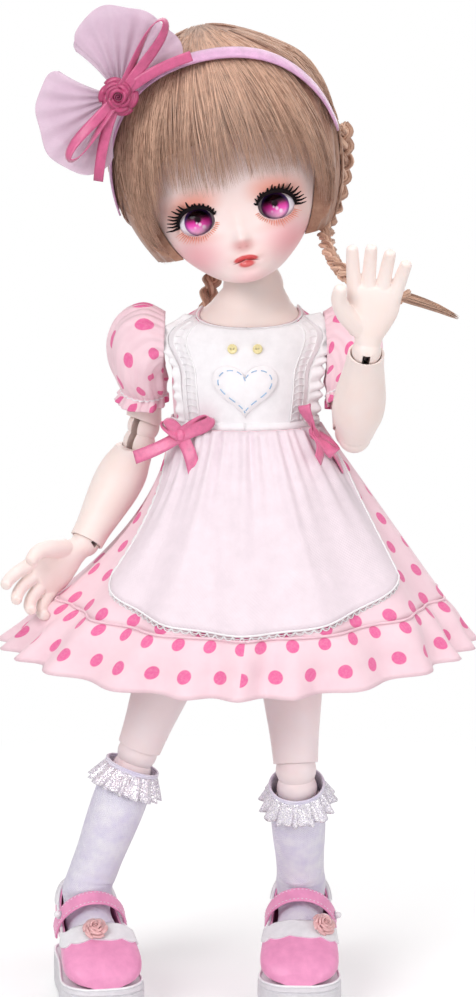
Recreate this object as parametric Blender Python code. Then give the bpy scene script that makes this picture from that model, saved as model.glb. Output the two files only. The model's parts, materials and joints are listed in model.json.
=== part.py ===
"""A ball jointed doll: a resin body strung on elastic, with wig, dress, apron, socks and shoes."""
import math

import bmesh
import bpy
from mathutils import Matrix, Vector

MM = 0.001
DEG = math.pi / 180

# Clearances shared by all pieces
GAP = 0.3 * MM
BALL_GAP = 0.5 * MM
OVERRUN = 3 * MM
FACET = 0.22 * MM

# Body
SOLE_HEIGHT = 10 * MM
ANKLE_RISE = 22 * MM
SHIN_LENGTH = 38 * MM
KNEE_SPACING = 6 * MM
THIGH_LENGTH = 57 * MM
HIP_HALF_SPACING = 12.5 * MM
TORSO_LENGTH = 71.2 * MM
NECK_RISE = 15 * MM
NECK_SIDE = 2.5 * MM
NECK_BACK = 2 * MM
CHEST_HALF_WIDTH = 19.8 * MM
CHEST_HALF_DEPTH = 14 * MM
UPPER_ARM_LENGTH = 28.5 * MM
ELBOW_SPACING = 5 * MM
FOREARM_LENGTH = 34.5 * MM
HAND_LENGTH = 30 * MM
HEAD_HEIGHT = 67.5 * MM

# Balls and limbs
SHOULDER_BALL = 6.4 * MM
ARM_RADIUS = 5.3 * MM
ELBOW_BALL = 4.8 * MM
ELBOW_RIM_RISE = 1.6 * MM
WRIST_BALL = 4.2 * MM
WRIST_RIM_RISE = 0.8 * MM
HIP_BALL = 8.6 * MM
THIGH_RADIUS = 9.6 * MM
KNEE_BALL = 6 * MM
KNEE_RIM_RISE = 1.8 * MM
KNEE_RIM_RADIUS = 6.6 * MM
SHIN_RADIUS = 6.4 * MM
ANKLE_BALL = 5 * MM
ANKLE_RIM_RISE = 1.2 * MM
ANKLE_RIM_RADIUS = 5.7 * MM
NECK_RADIUS = 8.9 * MM
RIM_SLANT = 32 * DEG

# Elastic, hooks and the ways for them
STRAND_RADIUS = 0.7 * MM
HOOK_RADIUS = 0.55 * MM
BAR_RADIUS = 0.6 * MM
LIMB_BORE = 1.6 * MM
HOOK_BORE = 2.4 * MM
BODY_BORE = 3.2 * MM
SLOT_WIDTH = 2.2 * MM
POCKET_RADIUS = 3 * MM

# Cloth
CLOTH = 0.8 * MM
CLOTH_GAP = 0.6 * MM
SOCK_CLOTH = 0.6 * MM
WAIST_RISE = 46.7 * MM
SKIRT_SIDE_SHIFT = 2.1 * MM

# Stance of the figure, in degrees
HEAD_ROLL = 12
HEAD_YAW = 0
ARM_POSES = {
    "right": {"swing": -18, "spread": 2.7, "twist": 36, "flex": 46},
    "left": {"swing": 24, "spread": 4.5, "twist": 7, "flex": 118},
}
HAND_DIRECTIONS = {
    "right": {"fingers": (-0.75, -0.36, -0.55), "palm": (0.1, -0.93, -0.35)},
    "left": {"fingers": (0.12, -0.13, 0.98), "palm": (0.0, -1.0, -0.1)},
}
ANKLES = {
    "right": {"side": 34.9 * MM, "front": 0.0, "yaw": 12},
    "left": {"side": 4.6 * MM, "front": -3.5 * MM, "yaw": -2},
}
SIDES = {"right": -1, "left": 1}


def clear_scene():
    for item in list(bpy.data.objects):
        bpy.data.objects.remove(item, do_unlink=True)


def material(name, colour, roughness, metallic=0.0):
    found = bpy.data.materials.get(name)
    if found:
        return found
    made = bpy.data.materials.new(name)
    made.use_nodes = True
    shader = made.node_tree.nodes["Principled BSDF"]
    shader.inputs["Base Color"].default_value = (*colour, 1)
    shader.inputs["Roughness"].default_value = roughness
    shader.inputs["Metallic"].default_value = metallic
    made.diffuse_color = (*colour, 1)
    return made


def resin():
    return material("porcelain_resin", (0.83, 0.66, 0.62), 0.45)


def elastic():
    return material("white_elastic", (0.8, 0.8, 0.78), 0.8)


def steel():
    return material("hook_steel", (0.62, 0.6, 0.56), 0.3, 1.0)


def eye_glass():
    return material("magenta_eye", (0.42, 0.06, 0.2), 0.1)


def hair():
    return material("light_brown_mohair", (0.5, 0.31, 0.18), 0.7)


def band_satin():
    return material("orchid_satin", (0.72, 0.35, 0.56), 0.4)


def tulle():
    return material("lilac_tulle", (0.86, 0.68, 0.8), 0.6)


def rose_satin():
    return material("rose_satin", (0.54, 0.09, 0.21), 0.35)


def dot_cotton():
    return material("pink_dot_cotton", (0.82, 0.6, 0.66), 0.8)


def apron_cotton():
    return material("white_apron_cotton", (0.86, 0.8, 0.84), 0.8)


def bow_satin():
    return material("pink_satin", (0.84, 0.25, 0.45), 0.4)


def sock_knit():
    return material("white_sock_knit", (0.8, 0.76, 0.86), 0.85)


def sole_rubber():
    return material("pale_sole_rubber", (0.76, 0.74, 0.78), 0.6)


def pink_leather():
    return material("pink_shoe_leather", (0.75, 0.32, 0.56), 0.45)


# Frames: every moving piece hangs from an empty on its joint's axis
def frame(name, parent, place=(0, 0, 0), turn=None):
    empty = bpy.data.objects.new(name, None)
    bpy.context.collection.objects.link(empty)
    empty.empty_display_size = OVERRUN
    empty.parent = parent
    empty.matrix_local = Matrix.Translation(Vector(place)) @ (turn or Matrix()).to_4x4()
    return empty


def turn_about(axis, degrees):
    return Matrix.Rotation(degrees * DEG, 4, Vector(axis))


# Meshes
def add_object(name, points, faces, look, parent=None, sharp=35):
    mesh = bpy.data.meshes.new(name)
    mesh.from_pydata([tuple(point) for point in points], [], faces)
    work = bmesh.new()
    work.from_mesh(mesh)
    bmesh.ops.recalc_face_normals(work, faces=work.faces)
    work.to_mesh(mesh)
    work.free()
    mesh.shade_smooth()
    mesh.set_sharp_from_angle(angle=sharp * DEG)
    item = bpy.data.objects.new(name, mesh)
    bpy.context.collection.objects.link(item)
    if look:
        mesh.materials.append(look)
    item.parent = parent
    return item


def ring_faces(first, second, closed=True):
    count = len(first)
    steps = count if closed else count - 1
    return [(first[k], first[(k + 1) % count], second[(k + 1) % count], second[k]) for k in range(steps)]


def loft(rings):
    """Closed skin over rings of points; a ring of one point is a pole, other end rings are capped."""
    points = []
    rows = []
    for ring in rings:
        rows.append(list(range(len(points), len(points) + len(ring))))
        points.extend(ring)
    faces = []
    for first, second in zip(rows, rows[1:]):
        if len(first) == 1:
            faces.extend((first[0], second[k], second[(k + 1) % len(second)]) for k in range(len(second)))
        elif len(second) == 1:
            faces.extend((second[0], first[(k + 1) % len(first)], first[k]) for k in range(len(first)))
        else:
            faces.extend(ring_faces(first, second))
    for row in (rows[0], rows[-1]):
        if len(row) > 1:
            faces.append(tuple(row))
    return points, faces


def shell(inner, outer, closed=True):
    """Closed skin between two grids of the same size; closed joins each row's ends."""
    rows = len(inner)
    columns = len(inner[0])
    points = [point for grid in (inner, outer) for row in grid for point in row]

    def index(side, row, column):
        return (side * rows + row) * columns + column % columns

    faces = []
    steps = columns if closed else columns - 1
    for row in range(rows - 1):
        for column in range(steps):
            for side in (0, 1):
                corners = [index(side, row, column), index(side, row, column + 1),
                           index(side, row + 1, column + 1), index(side, row + 1, column)]
                faces.append(tuple(corners if side else reversed(corners)))
    for row in (0, rows - 1):
        for column in range(steps):
            faces.append((index(0, row, column), index(0, row, column + 1),
                          index(1, row, column + 1), index(1, row, column)))
    if not closed:
        for column in (0, columns - 1):
            for row in range(rows - 1):
                faces.append((index(0, row, column), index(0, row + 1, column),
                              index(1, row + 1, column), index(1, row, column)))
    return points, faces


def offset_grid(grid, distance, closed, middle):
    """The grid moved along its own normals, outward from the middle point of each row."""
    rows = len(grid)
    columns = len(grid[0])
    moved = []
    for row in range(rows):
        line = []
        for column in range(columns):
            before_column = (column - 1) % columns if closed else max(column - 1, 0)
            after_column = (column + 1) % columns if closed else min(column + 1, columns - 1)
            before = grid[row][before_column]
            after = grid[row][after_column]
            up = grid[max(row - 1, 0)][column]
            down = grid[min(row + 1, rows - 1)][column]
            normal = (after - before).cross(down - up).normalized()
            if normal.dot(grid[row][column] - middle(row)) < 0:
                normal.negate()
            line.append(grid[row][column] + normal * distance)
        moved.append(line)
    return moved


def catmull(table, steps):
    """Rows of a table with smooth rows worked out between them."""
    rows = []
    last = len(table) - 1
    for k in range(last):
        p0, p1, p2, p3 = (table[max(k - 1, 0)], table[k], table[k + 1], table[min(k + 2, last)])
        for step in range(steps):
            t = step / steps
            rows.append(tuple(
                0.5 * (2 * b + (c - a) * t + (2 * a - 5 * b + 4 * c - d) * t * t
                       + (3 * b - a - 3 * c + d) * t ** 3)
                for a, b, c, d in zip(p0, p1, p2, p3)))
    rows.append(tuple(table[last]))
    return rows


def round_sides(radius):
    """Sides enough that a flat strays from the round by no more than a facet."""
    return 2 * max(4, math.ceil(math.pi / math.acos(1 - FACET / radius) / 2))


def ring(z, half_width, half_depth, x=0.0, y=0.0, sides=24):
    angles = [math.tau * k / sides for k in range(sides)]
    return [Vector((x + half_width * math.sin(angle), y - half_depth * math.cos(angle), z))
            for angle in angles]


def ball_rings(radius, start, end, count, centre=(0, 0, 0), sides=24):
    """Rings of a ball between two latitudes in degrees; a pole where a latitude is a right angle."""
    rings = []
    for k in range(count + 1):
        latitude = (start + (end - start) * k / count) * DEG
        height = centre[2] + radius * math.sin(latitude)
        reach = radius * math.cos(latitude)
        if reach < radius * 1e-4:
            rings.append([Vector((centre[0], centre[1], height))])
        else:
            rings.append(ring(height, reach, reach, centre[0], centre[1], sides))
    return rings


def sweep(path, radii, sides=8, flat=1.0):
    """Closed round bar along a path, its rings carried along without twist."""
    path = [Vector(point) for point in path]
    if not isinstance(radii, (list, tuple)):
        radii = [radii] * len(path)
    rings = []
    side = None
    for k, point in enumerate(path):
        along = (path[min(k + 1, len(path) - 1)] - path[max(k - 1, 0)]).normalized()
        if side is None:
            side = along.orthogonal().normalized()
        side = (side - along * side.dot(along)).normalized()
        other = along.cross(side)
        rings.append([point + side * (radii[k] * math.cos(math.tau * n / sides))
                      + other * (radii[k] * flat * math.sin(math.tau * n / sides)) for n in range(sides)])
    return loft(rings)


def smooth_path(points, steps):
    return [Vector(row) for row in catmull([tuple(point) for point in points], steps)]


def arc(centre, radius, start, end, count, across=Vector((0, 1, 0)), up=Vector((0, 0, 1))):
    """Points of an arc in the plane of two directions, angles in degrees from the first one."""
    return [Vector(centre) + across * (radius * math.cos((start + (end - start) * k / count) * DEG))
            + up * (radius * math.sin((start + (end - start) * k / count) * DEG)) for k in range(count + 1)]


def prism(outline, half_width, axis="X"):
    """An outline of pairs pushed out along an axis on both sides of its plane."""
    place = {
        "X": lambda u, v, w: Vector((w, u, v)),
        "Y": lambda u, v, w: Vector((u, w, v)),
    }[axis]
    return loft([[place(u, v, w) for u, v in outline] for w in (-half_width, half_width)])


def moved(shape, turn):
    points, faces = shape
    return [turn @ Vector(point) for point in points], faces


def rod(start, end, radius):
    return sweep([start, end], radius, round_sides(radius))


def ball(radius, centre=(0, 0, 0)):
    sides = round_sides(radius)
    return loft(ball_rings(radius, 90, -90, sides // 2, centre, sides))


def box(low, high):
    return loft([[Vector((x, y, z)) for x, y in ((low[0], low[1]), (high[0], low[1]), (high[0], high[1]),
                                                 (low[0], high[1]))]
                 for z in (low[2], high[2])])


def combine(item, shape, operation="DIFFERENCE", solver="EXACT"):
    """Cuts a shape out of an object, or joins it on; the shape rides in the object's own frame."""
    other = add_object(f"{item.name}_cutter_{len(item.modifiers)}", *shape, None, item.parent)
    other.location = item.location
    other.rotation_euler = item.rotation_euler
    other.hide_render = True
    other.display_type = "WIRE"
    change = item.modifiers.new(f"cutter_{len(item.modifiers)}", "BOOLEAN")
    change.operation = operation
    change.object = other
    change.solver = solver


# Skeleton
def leg_pose(side):
    """Swing, spread, knee flex of a leg whose ankle is given; the knee bends by two equal turns."""
    ankle = ANKLES[side]
    sign = SIDES[side]
    reach = Vector((ankle["side"] * sign, -ankle["front"], SOLE_HEIGHT + ANKLE_RISE - hip_height()))
    total = reach.length
    t, k, s = THIGH_LENGTH, KNEE_SPACING, SHIN_LENGTH
    a = 4 * t * s
    b = 2 * k * (t + s)
    c = t * t + k * k + s * s - 2 * t * s - total * total
    half_cosine = min(1.0, (-b + math.sqrt(b * b - 4 * a * c)) / (2 * a))
    flex = 2 * math.acos(half_cosine)
    forward = math.sin(flex / 2) * k + math.sin(flex) * s
    down = t + math.cos(flex / 2) * k + math.cos(flex) * s
    lean = math.atan2(forward, down)
    spread = math.atan2(reach.x * sign, -reach.z)
    swing = math.atan2(-reach.y, math.hypot(reach.x, reach.z)) + lean
    return {"swing": swing / DEG, "spread": spread / DEG, "flex": flex / DEG}


def hip_height():
    """The straight right leg carries the hips."""
    length = THIGH_LENGTH + KNEE_SPACING + SHIN_LENGTH
    return SOLE_HEIGHT + ANKLE_RISE + math.sqrt(length ** 2 - ANKLES["right"]["side"] ** 2)


def shoulder_half_spacing():
    """The sleeve and the arm clear the bodice on the chest."""
    return CHEST_HALF_WIDTH + 2 * CLOTH + ARM_RADIUS + 4 * CLOTH_GAP - GAP


def against(parent, turn):
    """A turn in the world, as seen from a parent frame."""
    bpy.context.view_layer.update()
    return parent.matrix_world.to_3x3().inverted() @ turn


def hand_turn(wrist, directions):
    """The hand's frame: fingers run down its own Z axis and the palm looks to its front."""
    up = -Vector(directions["fingers"]).normalized()
    back = -Vector(directions["palm"])
    back = (back - up * back.dot(up)).normalized()
    return against(wrist, Matrix((back.cross(up), back, up)).transposed())


def build_frames():
    frames = {}
    root = frame("doll_stance", None, (SKIRT_SIDE_SHIFT, 0, 0))
    frames["root"] = root
    frames["torso"] = frame("torso_frame", root, (0, 0, hip_height()))
    neck = frame("neck_turn", frames["torso"], (NECK_SIDE, NECK_BACK, TORSO_LENGTH + NECK_RISE))
    frames["neck_turn"] = neck
    frames["neck_tilt"] = frame("neck_tilt", neck, (0, 0, 0), turn_about((0, 0, 1), HEAD_YAW))
    frames["head"] = frame("neck_nod", frames["neck_tilt"], (0, 0, 0), turn_about((0, -1, 0), HEAD_ROLL))
    for side, sign in SIDES.items():
        pose = ARM_POSES[side]
        turn = turn_about((-1, 0, 0), pose["swing"])
        shoulder = (sign * shoulder_half_spacing(), 0, TORSO_LENGTH)
        swing = frame(f"{side}_shoulder_swing", frames["torso"], shoulder, turn)
        turn = turn_about((0, -sign, 0), pose["spread"])
        spread = frame(f"{side}_shoulder_spread", swing, (0, 0, 0), turn)
        twist = frame(f"{side}_shoulder_twist", spread, (0, 0, 0), turn_about((0, 0, sign), pose["twist"]))
        turn = turn_about((-1, 0, 0), pose["flex"] / 2)
        upper = frame(f"{side}_elbow_upper", twist, (0, 0, -UPPER_ARM_LENGTH), turn)
        lower = frame(f"{side}_elbow_lower", upper, (0, 0, -ELBOW_SPACING), turn)
        wrist = frame(f"{side}_wrist_twist", lower, (0, 0, -FOREARM_LENGTH))
        hand = frame(f"{side}_wrist_bend", wrist, (0, 0, 0), hand_turn(wrist, HAND_DIRECTIONS[side]))
        frames[side, "arm"] = (swing, spread, twist, upper, lower, wrist, hand)
        pose = leg_pose(side)
        hip = frame(f"{side}_hip_spread", frames["torso"], (sign * HIP_HALF_SPACING, 0, 0),
                    turn_about((0, -sign, 0), pose["spread"]))
        swing = frame(f"{side}_hip_swing", hip, (0, 0, 0), turn_about((-1, 0, 0), pose["swing"]))
        twist = frame(f"{side}_hip_twist", swing)
        turn = turn_about((1, 0, 0), pose["flex"] / 2)
        upper = frame(f"{side}_knee_upper", twist, (0, 0, -THIGH_LENGTH), turn)
        lower = frame(f"{side}_knee_lower", upper, (0, 0, -KNEE_SPACING), turn)
        ankle = frame(f"{side}_ankle_twist", lower, (0, 0, -SHIN_LENGTH))
        level = against(ankle, Matrix.Rotation(ANKLES[side]["yaw"] * DEG, 3, "Z"))
        foot = frame(f"{side}_ankle_bend", ankle, (0, 0, 0), level)
        frames[side, "leg"] = (hip, swing, twist, upper, lower, ankle, foot)
    bpy.context.view_layer.update()
    return frames


# Torso: rows hold the height in shares of the torso length, then shares of the chest's width and depth
TORSO_SHARES = (
    (-0.11, 0.20, 0.42), (-0.03, 0.48, 0.72), (0.06, 0.94, 0.97), (0.17, 1.12, 1.08), (0.36, 1.02, 1.05),
    (0.55, 0.95, 1.00), (0.65, 0.98, 1.00), (0.80, 1.02, 1.05), (0.89, 1.03, 1.00), (1.00, 1.20, 0.86),
    (1.05, 1.14, 0.80), (1.10, 0.84, 0.74), (1.15, 0.60, 0.66),
)
TORSO_SIDES = 16


def torso_row(share):
    """Half width, half depth and how far the row has moved over to the neck."""
    table = TORSO_SHARES
    share = min(max(share, table[0][0]), table[-1][0])
    for k in range(len(table) - 1):
        if share <= table[k + 1][0]:
            break
    t = (share - table[k][0]) / (table[k + 1][0] - table[k][0])
    ends = (table[max(k - 1, 0)], table[k], table[k + 1], table[min(k + 2, len(table) - 1)])
    width, depth = (
        0.5 * (2 * b + (c - a) * t + (2 * a - 5 * b + 4 * c - d) * t * t + (3 * b - a - 3 * c + d) * t ** 3)
        for a, b, c, d in (tuple(row[n] for row in ends) for n in (1, 2)))
    lean = max(0.0, share - 1) / (NECK_RISE / TORSO_LENGTH)
    return width * CHEST_HALF_WIDTH, depth * CHEST_HALF_DEPTH, lean


def torso_point(angle, share):
    """A point of the torso's skin; the angle runs from the front, toward the doll's left."""
    width, depth, lean = torso_row(share)
    return Vector((lean * NECK_SIDE + width * math.sin(angle), lean * NECK_BACK - depth * math.cos(angle),
                   share * TORSO_LENGTH))


def make_torso(frames):
    angles = [math.tau * k / TORSO_SIDES for k in range(TORSO_SIDES)]
    rings = [[torso_point(angle, row[0]) for angle in angles] for row in TORSO_SHARES]
    neck = (NECK_SIDE, NECK_BACK, TORSO_LENGTH + NECK_RISE)
    rings.extend(ball_rings(NECK_RADIUS, 0, 90, 3, neck, TORSO_SIDES))
    torso = add_object("torso", *loft(rings), resin(), frames["torso"])
    hips = HIP_BALL + BALL_GAP
    shoulders = SHOULDER_BALL + BALL_GAP
    for sign in SIDES.values():
        combine(torso, ball(hips, (sign * HIP_HALF_SPACING, 0, 0)))
        combine(torso, ball(shoulders, (sign * shoulder_half_spacing(), 0, TORSO_LENGTH)))
    middle = Vector((0, BODY_STRING_Y, STRING_SPLIT_RISE))
    combine(torso, rod(middle - Vector((0, 0, BODY_BORE)), neck_top() + Vector((0, 0, OVERRUN)), BODY_BORE))
    for sign in SIDES.values():
        combine(torso, rod(middle + Vector((-sign * BODY_BORE / 3, 0, BODY_BORE / 3)),
                           Vector((sign * HIP_HALF_SPACING, 0, 0)), LEG_CHANNEL))
    end = Vector((shoulder_half_spacing(), ARM_STRING_Y, TORSO_LENGTH))
    combine(torso, rod(Vector((-end.x, end.y, end.z)), end, ARM_CHANNEL))
    return torso


def neck_top():
    return Vector((NECK_SIDE, NECK_BACK, TORSO_LENGTH + NECK_RISE + NECK_RADIUS))


# Elastic in the torso
BODY_STRING_Y = -1 * MM
ARM_STRING_Y = -1.5 * MM
STRING_SPLIT_RISE = 17 * MM
LEG_CHANNEL = 2.2 * MM
ARM_CHANNEL = 1.5 * MM
STRING_LOOP_DROP = 6 * MM


def make_strings(frames):
    top = neck_top()
    half = 2 * STRAND_RADIUS
    turn_z = top.z - NECK_RADIUS - STRING_LOOP_DROP
    share = (turn_z - STRING_SPLIT_RISE) / (top.z - STRING_SPLIT_RISE)
    lean = Vector((top.x * share, BODY_STRING_Y + (top.y - BODY_STRING_Y) * share, turn_z))
    path = []
    for sign in (-1, 1):
        hip = Vector((sign * HIP_HALF_SPACING, 0, 0))
        split = Vector((sign * half, BODY_STRING_Y, STRING_SPLIT_RISE))
        out = (split - hip).normalized()
        leg = [hip + out * (HIP_BALL + 2 * GAP), split + (hip - split) / 4, split]
        leg.append(lean + Vector((sign * half, 0, 0)))
        path.append(leg)
    over = arc(lean, half, 150, 30, 4, Vector((1, 0, 0)))
    points = path[0] + over + list(reversed(path[1]))
    add_object("body_string", *sweep(points, STRAND_RADIUS, 6), elastic(), frames["torso"])
    reach = shoulder_half_spacing() - SHOULDER_BALL - GAP
    points = [Vector((x, ARM_STRING_Y, TORSO_LENGTH)) for x in (-reach, 0, reach)]
    add_object("arm_string", *sweep(points, STRAND_RADIUS), elastic(), frames["torso"])


# Neck fittings, in frames whose origin is the middle of the neck's ball
SEAT_WALL = 2.8 * MM
NECK_HOLE = 5.4 * MM
LINK_HALF_WIDTH = 1 * MM
LINK_FOOT_HALF_WIDTH = BODY_BORE - HOOK_RADIUS - 2 * GAP
LINK_FOOT = 0.5 * MM
LINK_TOP = 11 * MM
HOOK_HALF_SPAN = 7 * MM
HOOK_FOOT_SHARE = 0.9
HOOK_EYE_RISE = 3 * MM
HOOK_EYE_HALF = 1.6 * MM


def make_neck_fittings(frames):
    across = Vector((1, 0, 0))
    low = LINK_FOOT + LINK_FOOT_HALF_WIDTH
    high = LINK_TOP - LINK_HALF_WIDTH
    points = arc((0, 0, high), LINK_HALF_WIDTH, -20, 180, 5, across)
    points += arc((0, 0, low), LINK_FOOT_HALF_WIDTH, 180, 300, 4, across)
    points = [point for point in points if point.z >= 0]
    add_object("neck_string", *sweep(points, HOOK_RADIUS, 5), elastic(), frames["neck_turn"])
    seat = NECK_RADIUS + BALL_GAP + SEAT_WALL + GAP
    floor = math.sqrt(seat ** 2 - (NECK_HOLE * HOOK_FOOT_SHARE) ** 2) + HOOK_RADIUS
    half = HOOK_HALF_SPAN
    eye = HOOK_EYE_HALF
    points = [(-half, 0, floor), (-eye * 2, 0, floor), (-eye, 0, floor + HOOK_EYE_RISE / 2),
              (-eye / 2, 0, floor + HOOK_EYE_RISE), (eye / 2, 0, floor + HOOK_EYE_RISE),
              (eye, 0, floor + HOOK_EYE_RISE / 2), (eye * 2, 0, floor), (half, 0, floor)]
    add_object("neck_hook", *sweep(points, HOOK_RADIUS, 8), steel(), frames["neck_tilt"])


# Head: rows hold the front height, back height, half width, front and back as shares of the head's height
HEAD_SHARES = (
    (0.053, 0.133, 0.096, -0.289, 0.133), (0.068, 0.163, 0.170, -0.341, 0.222),
    (0.141, 0.215, 0.252, -0.370, 0.326), (0.237, 0.296, 0.319, -0.373, 0.400),
    (0.356, 0.400, 0.370, -0.364, 0.452), (0.489, 0.519, 0.400, -0.388, 0.481),
    (0.637, 0.652, 0.407, -0.393, 0.481), (0.770, 0.770, 0.378, -0.348, 0.437),
    (0.881, 0.881, 0.304, -0.252, 0.356), (0.963, 0.963, 0.185, -0.133, 0.244),
)
HEAD_POLE_SHARES = (1.0, 0.052)
HEAD_WALL = 3 * MM
FACE_COLUMNS = 16
HEAD_COLUMNS = 9
BACK_COARSENESS = 1.9
FACE_SPAN = 75
EYE_RADIUS = 7 * MM
EYE_SIDE = 11.6 * MM
EYE_RISE = 23.5 * MM
EYE_DEPTH = -11.6 * MM
EYE_OPENING = (5.3 * MM, 4.2 * MM)
EYE_OPENING_SIDES = 12
CAP_POINT_SHARES = (0.5, 0.62)
CAP_SLOPE = 54
# Face relief: side, height, spread across, spread up (mirrored when the side is not zero) and depth
FACE_RELIEF = (
    (0, 16.6 * MM, 2.3 * MM, 2.2 * MM, 2.7 * MM),
    (0, 20.5 * MM, 2.0 * MM, 4.5 * MM, 1.0 * MM),
    (0, 11.4 * MM, 3.6 * MM, 1.0 * MM, 1.0 * MM),
    (0, 9.0 * MM, 2.6 * MM, 1.0 * MM, 0.8 * MM),
    (0, 5.4 * MM, 4.0 * MM, 2.2 * MM, 0.9 * MM),
    (12 * MM, 24.4 * MM, 5.5 * MM, 4.2 * MM, -1.3 * MM),
    (13 * MM, 14 * MM, 6 * MM, 4.5 * MM, 0.8 * MM),
)


def face_angles(columns):
    front = [FACE_SPAN * (2 * k / columns - 1) for k in range(columns + 1)]
    back_span = 360 - 2 * FACE_SPAN
    back_columns = round(columns * back_span / 2 / FACE_SPAN / BACK_COARSENESS)
    back = [FACE_SPAN + back_span * k / back_columns for k in range(1, back_columns)]
    return [angle * DEG for angle in front + back]


def head_rings(shares, pole, offset, relief=(), steps=1, columns=HEAD_COLUMNS):
    """Rings of a head shape grown by an offset, from the chin up to the crown."""
    rings = []
    size = HEAD_HEIGHT
    for front_z, back_z, half, front_y, back_y in catmull(shares, steps):
        half_width = half * size + offset
        middle = (front_y + back_y) / 2 * size
        half_depth = (back_y - front_y) / 2 * size + offset
        line = []
        for angle in face_angles(columns):
            share = (1 - math.cos(angle)) / 2
            x = half_width * math.sin(angle)
            y = middle - half_depth * math.cos(angle)
            z = (front_z + (back_z - front_z) * share) * size
            lift = 0.0
            if abs(angle) < math.pi / 2:
                for side, height, across, up, depth in relief:
                    for place in ({side, -side}):
                        lift += depth * math.exp(-((x - place) / across) ** 2 - ((z - height) / up) ** 2)
            line.append(Vector((x, y - lift, z)))
        rings.append(line)
    bottom = sum(rings[0], Vector()) / len(rings[0])
    rings.insert(0, [bottom - Vector((0, 0, max(offset, 0.0)))])
    rings.append([Vector((0, pole[1] * size, pole[0] * size + offset))])
    return rings


def cap_block(shift):
    """The region behind the head's cut plane, moved back by a shift."""
    point = Vector((0, HEAD_SHARES[6][4] * HEAD_HEIGHT * CAP_POINT_SHARES[0],
                    HEAD_HEIGHT * CAP_POINT_SHARES[1]))
    reach = 2 * HEAD_HEIGHT
    shape = box((-reach, 0, -reach), (reach, reach, reach))
    lean = turn_about((1, 0, 0), 90 - CAP_SLOPE)
    back = lean @ Vector((0, 1, 0))
    return moved(shape, Matrix.Translation(point + back * shift) @ lean)


def make_head(frames):
    parent = frames["head"]
    skin = head_rings(HEAD_SHARES, HEAD_POLE_SHARES, 0, FACE_RELIEF, 2, FACE_COLUMNS)
    head = add_object("head_shell", *loft(skin), resin(), parent, 50)
    cap = add_object("head_cap", *loft(head_rings(HEAD_SHARES, HEAD_POLE_SHARES, 0)), resin(), parent, 50)
    seat = NECK_RADIUS + BALL_GAP
    for item, name in ((head, "head_cavity"), (cap, "cap_cavity")):
        hollow = add_object(name, *loft(head_rings(HEAD_SHARES, HEAD_POLE_SHARES, -HEAD_WALL)), None,
                            parent)
        hollow.hide_render = True
        hollow.display_type = "WIRE"
        combine(hollow, ball(seat + SEAT_WALL, (0, 0, 0)))
        cut = item.modifiers.new("hollow", "BOOLEAN")
        cut.object = hollow
    combine(head, cap_block(0))
    combine(cap, cap_block(GAP), "INTERSECT")
    combine(head, ball(seat, (0, 0, 0)))
    combine(head, rod(Vector(), Vector((0, 0, seat + SEAT_WALL + OVERRUN)), NECK_HOLE))
    for sign in (-1, 1):
        centre = Vector((sign * EYE_SIDE, EYE_DEPTH, EYE_RISE))
        combine(head, ball(EYE_RADIUS + BALL_GAP, centre))
        opening = [(EYE_OPENING[0] * math.cos(math.tau * k / EYE_OPENING_SIDES),
                    EYE_OPENING[1] * math.sin(math.tau * k / EYE_OPENING_SIDES))
                   for k in range(EYE_OPENING_SIDES)]
        prism_shape = prism(opening, EYE_RADIUS, "Y")
        combine(head, moved(prism_shape, Matrix.Translation(centre - Vector((0, EYE_RADIUS, 0)))))
        side = "left" if sign > 0 else "right"
        eye = add_object(f"eye_{side}", *ball(EYE_RADIUS), eye_glass(), parent)
        eye.location = centre


# Wig and hair: rows as the head's, in shares of the head's height
WIG_SHARES = (
    (0.178, 0.148, 0.370, -0.207, 0.356), (0.296, 0.296, 0.437, -0.385, 0.474),
    (0.444, 0.444, 0.481, -0.452, 0.541), (0.622, 0.622, 0.496, -0.467, 0.563),
    (0.800, 0.785, 0.474, -0.430, 0.530), (0.963, 0.933, 0.400, -0.341, 0.444),
    (1.074, 1.037, 0.259, -0.200, 0.304),
)
WIG_POLE_SHARES = (1.145, 0.052)
WIG_HEM_SHARE = 0.19
WIG_CLEARANCE = 1.5 * MM
FACE_WINDOW = (19.5 * MM, 39 * MM)
WINDOW_FRONT = -40 * MM
WINDOW_BACK = -8 * MM
BRAID_RADIUS = 4 * MM
BRAID_TAPER_SHARE = 0.15
BRAID_END_SHARE = 0.6
BRAID_ROUTE_SHARES = (
    (0.385, 0.059, 0.697), (0.393, 0.104, 0.548), (0.369, 0.104, 0.4), (0.313, 0.0, 0.252),
    (0.341, -0.222, 0.134), (0.415, -0.378, 0.074), (0.526, -0.415, 0.03), (0.644, -0.356, -0.007),
    (0.778, -0.267, -0.059), (0.881, -0.207, -0.111),
)
RIGHT_BRAID_ROUTE_SHARES = (
    (-0.156, 0.407, 0.208), (-0.17, 0.363, 0.097), (-0.185, 0.296, -0.007),
    (-0.2, 0.259, -0.118), (-0.182, 0.289, -0.281), (-0.17, 0.304, -0.4),
)
BAND_WIDTH = 3 * MM
BAND_THICKNESS = 0.8 * MM
BAND_LEAN = 0.5
BAND_FRONT_SHARE = 0.21
BAND_CENTRE_SHARE = 0.5
BAND_REACH_SHARE = 1.3
BAND_ANGLES = (-96, 77)


def in_head(frames, points):
    """Points given upright from the neck's ball, in head heights, moved into the head's frame."""
    place = frames["head"].matrix_world.inverted() @ frames["neck_turn"].matrix_world
    return [place @ (Vector(point) * HEAD_HEIGHT) for point in points]


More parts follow.
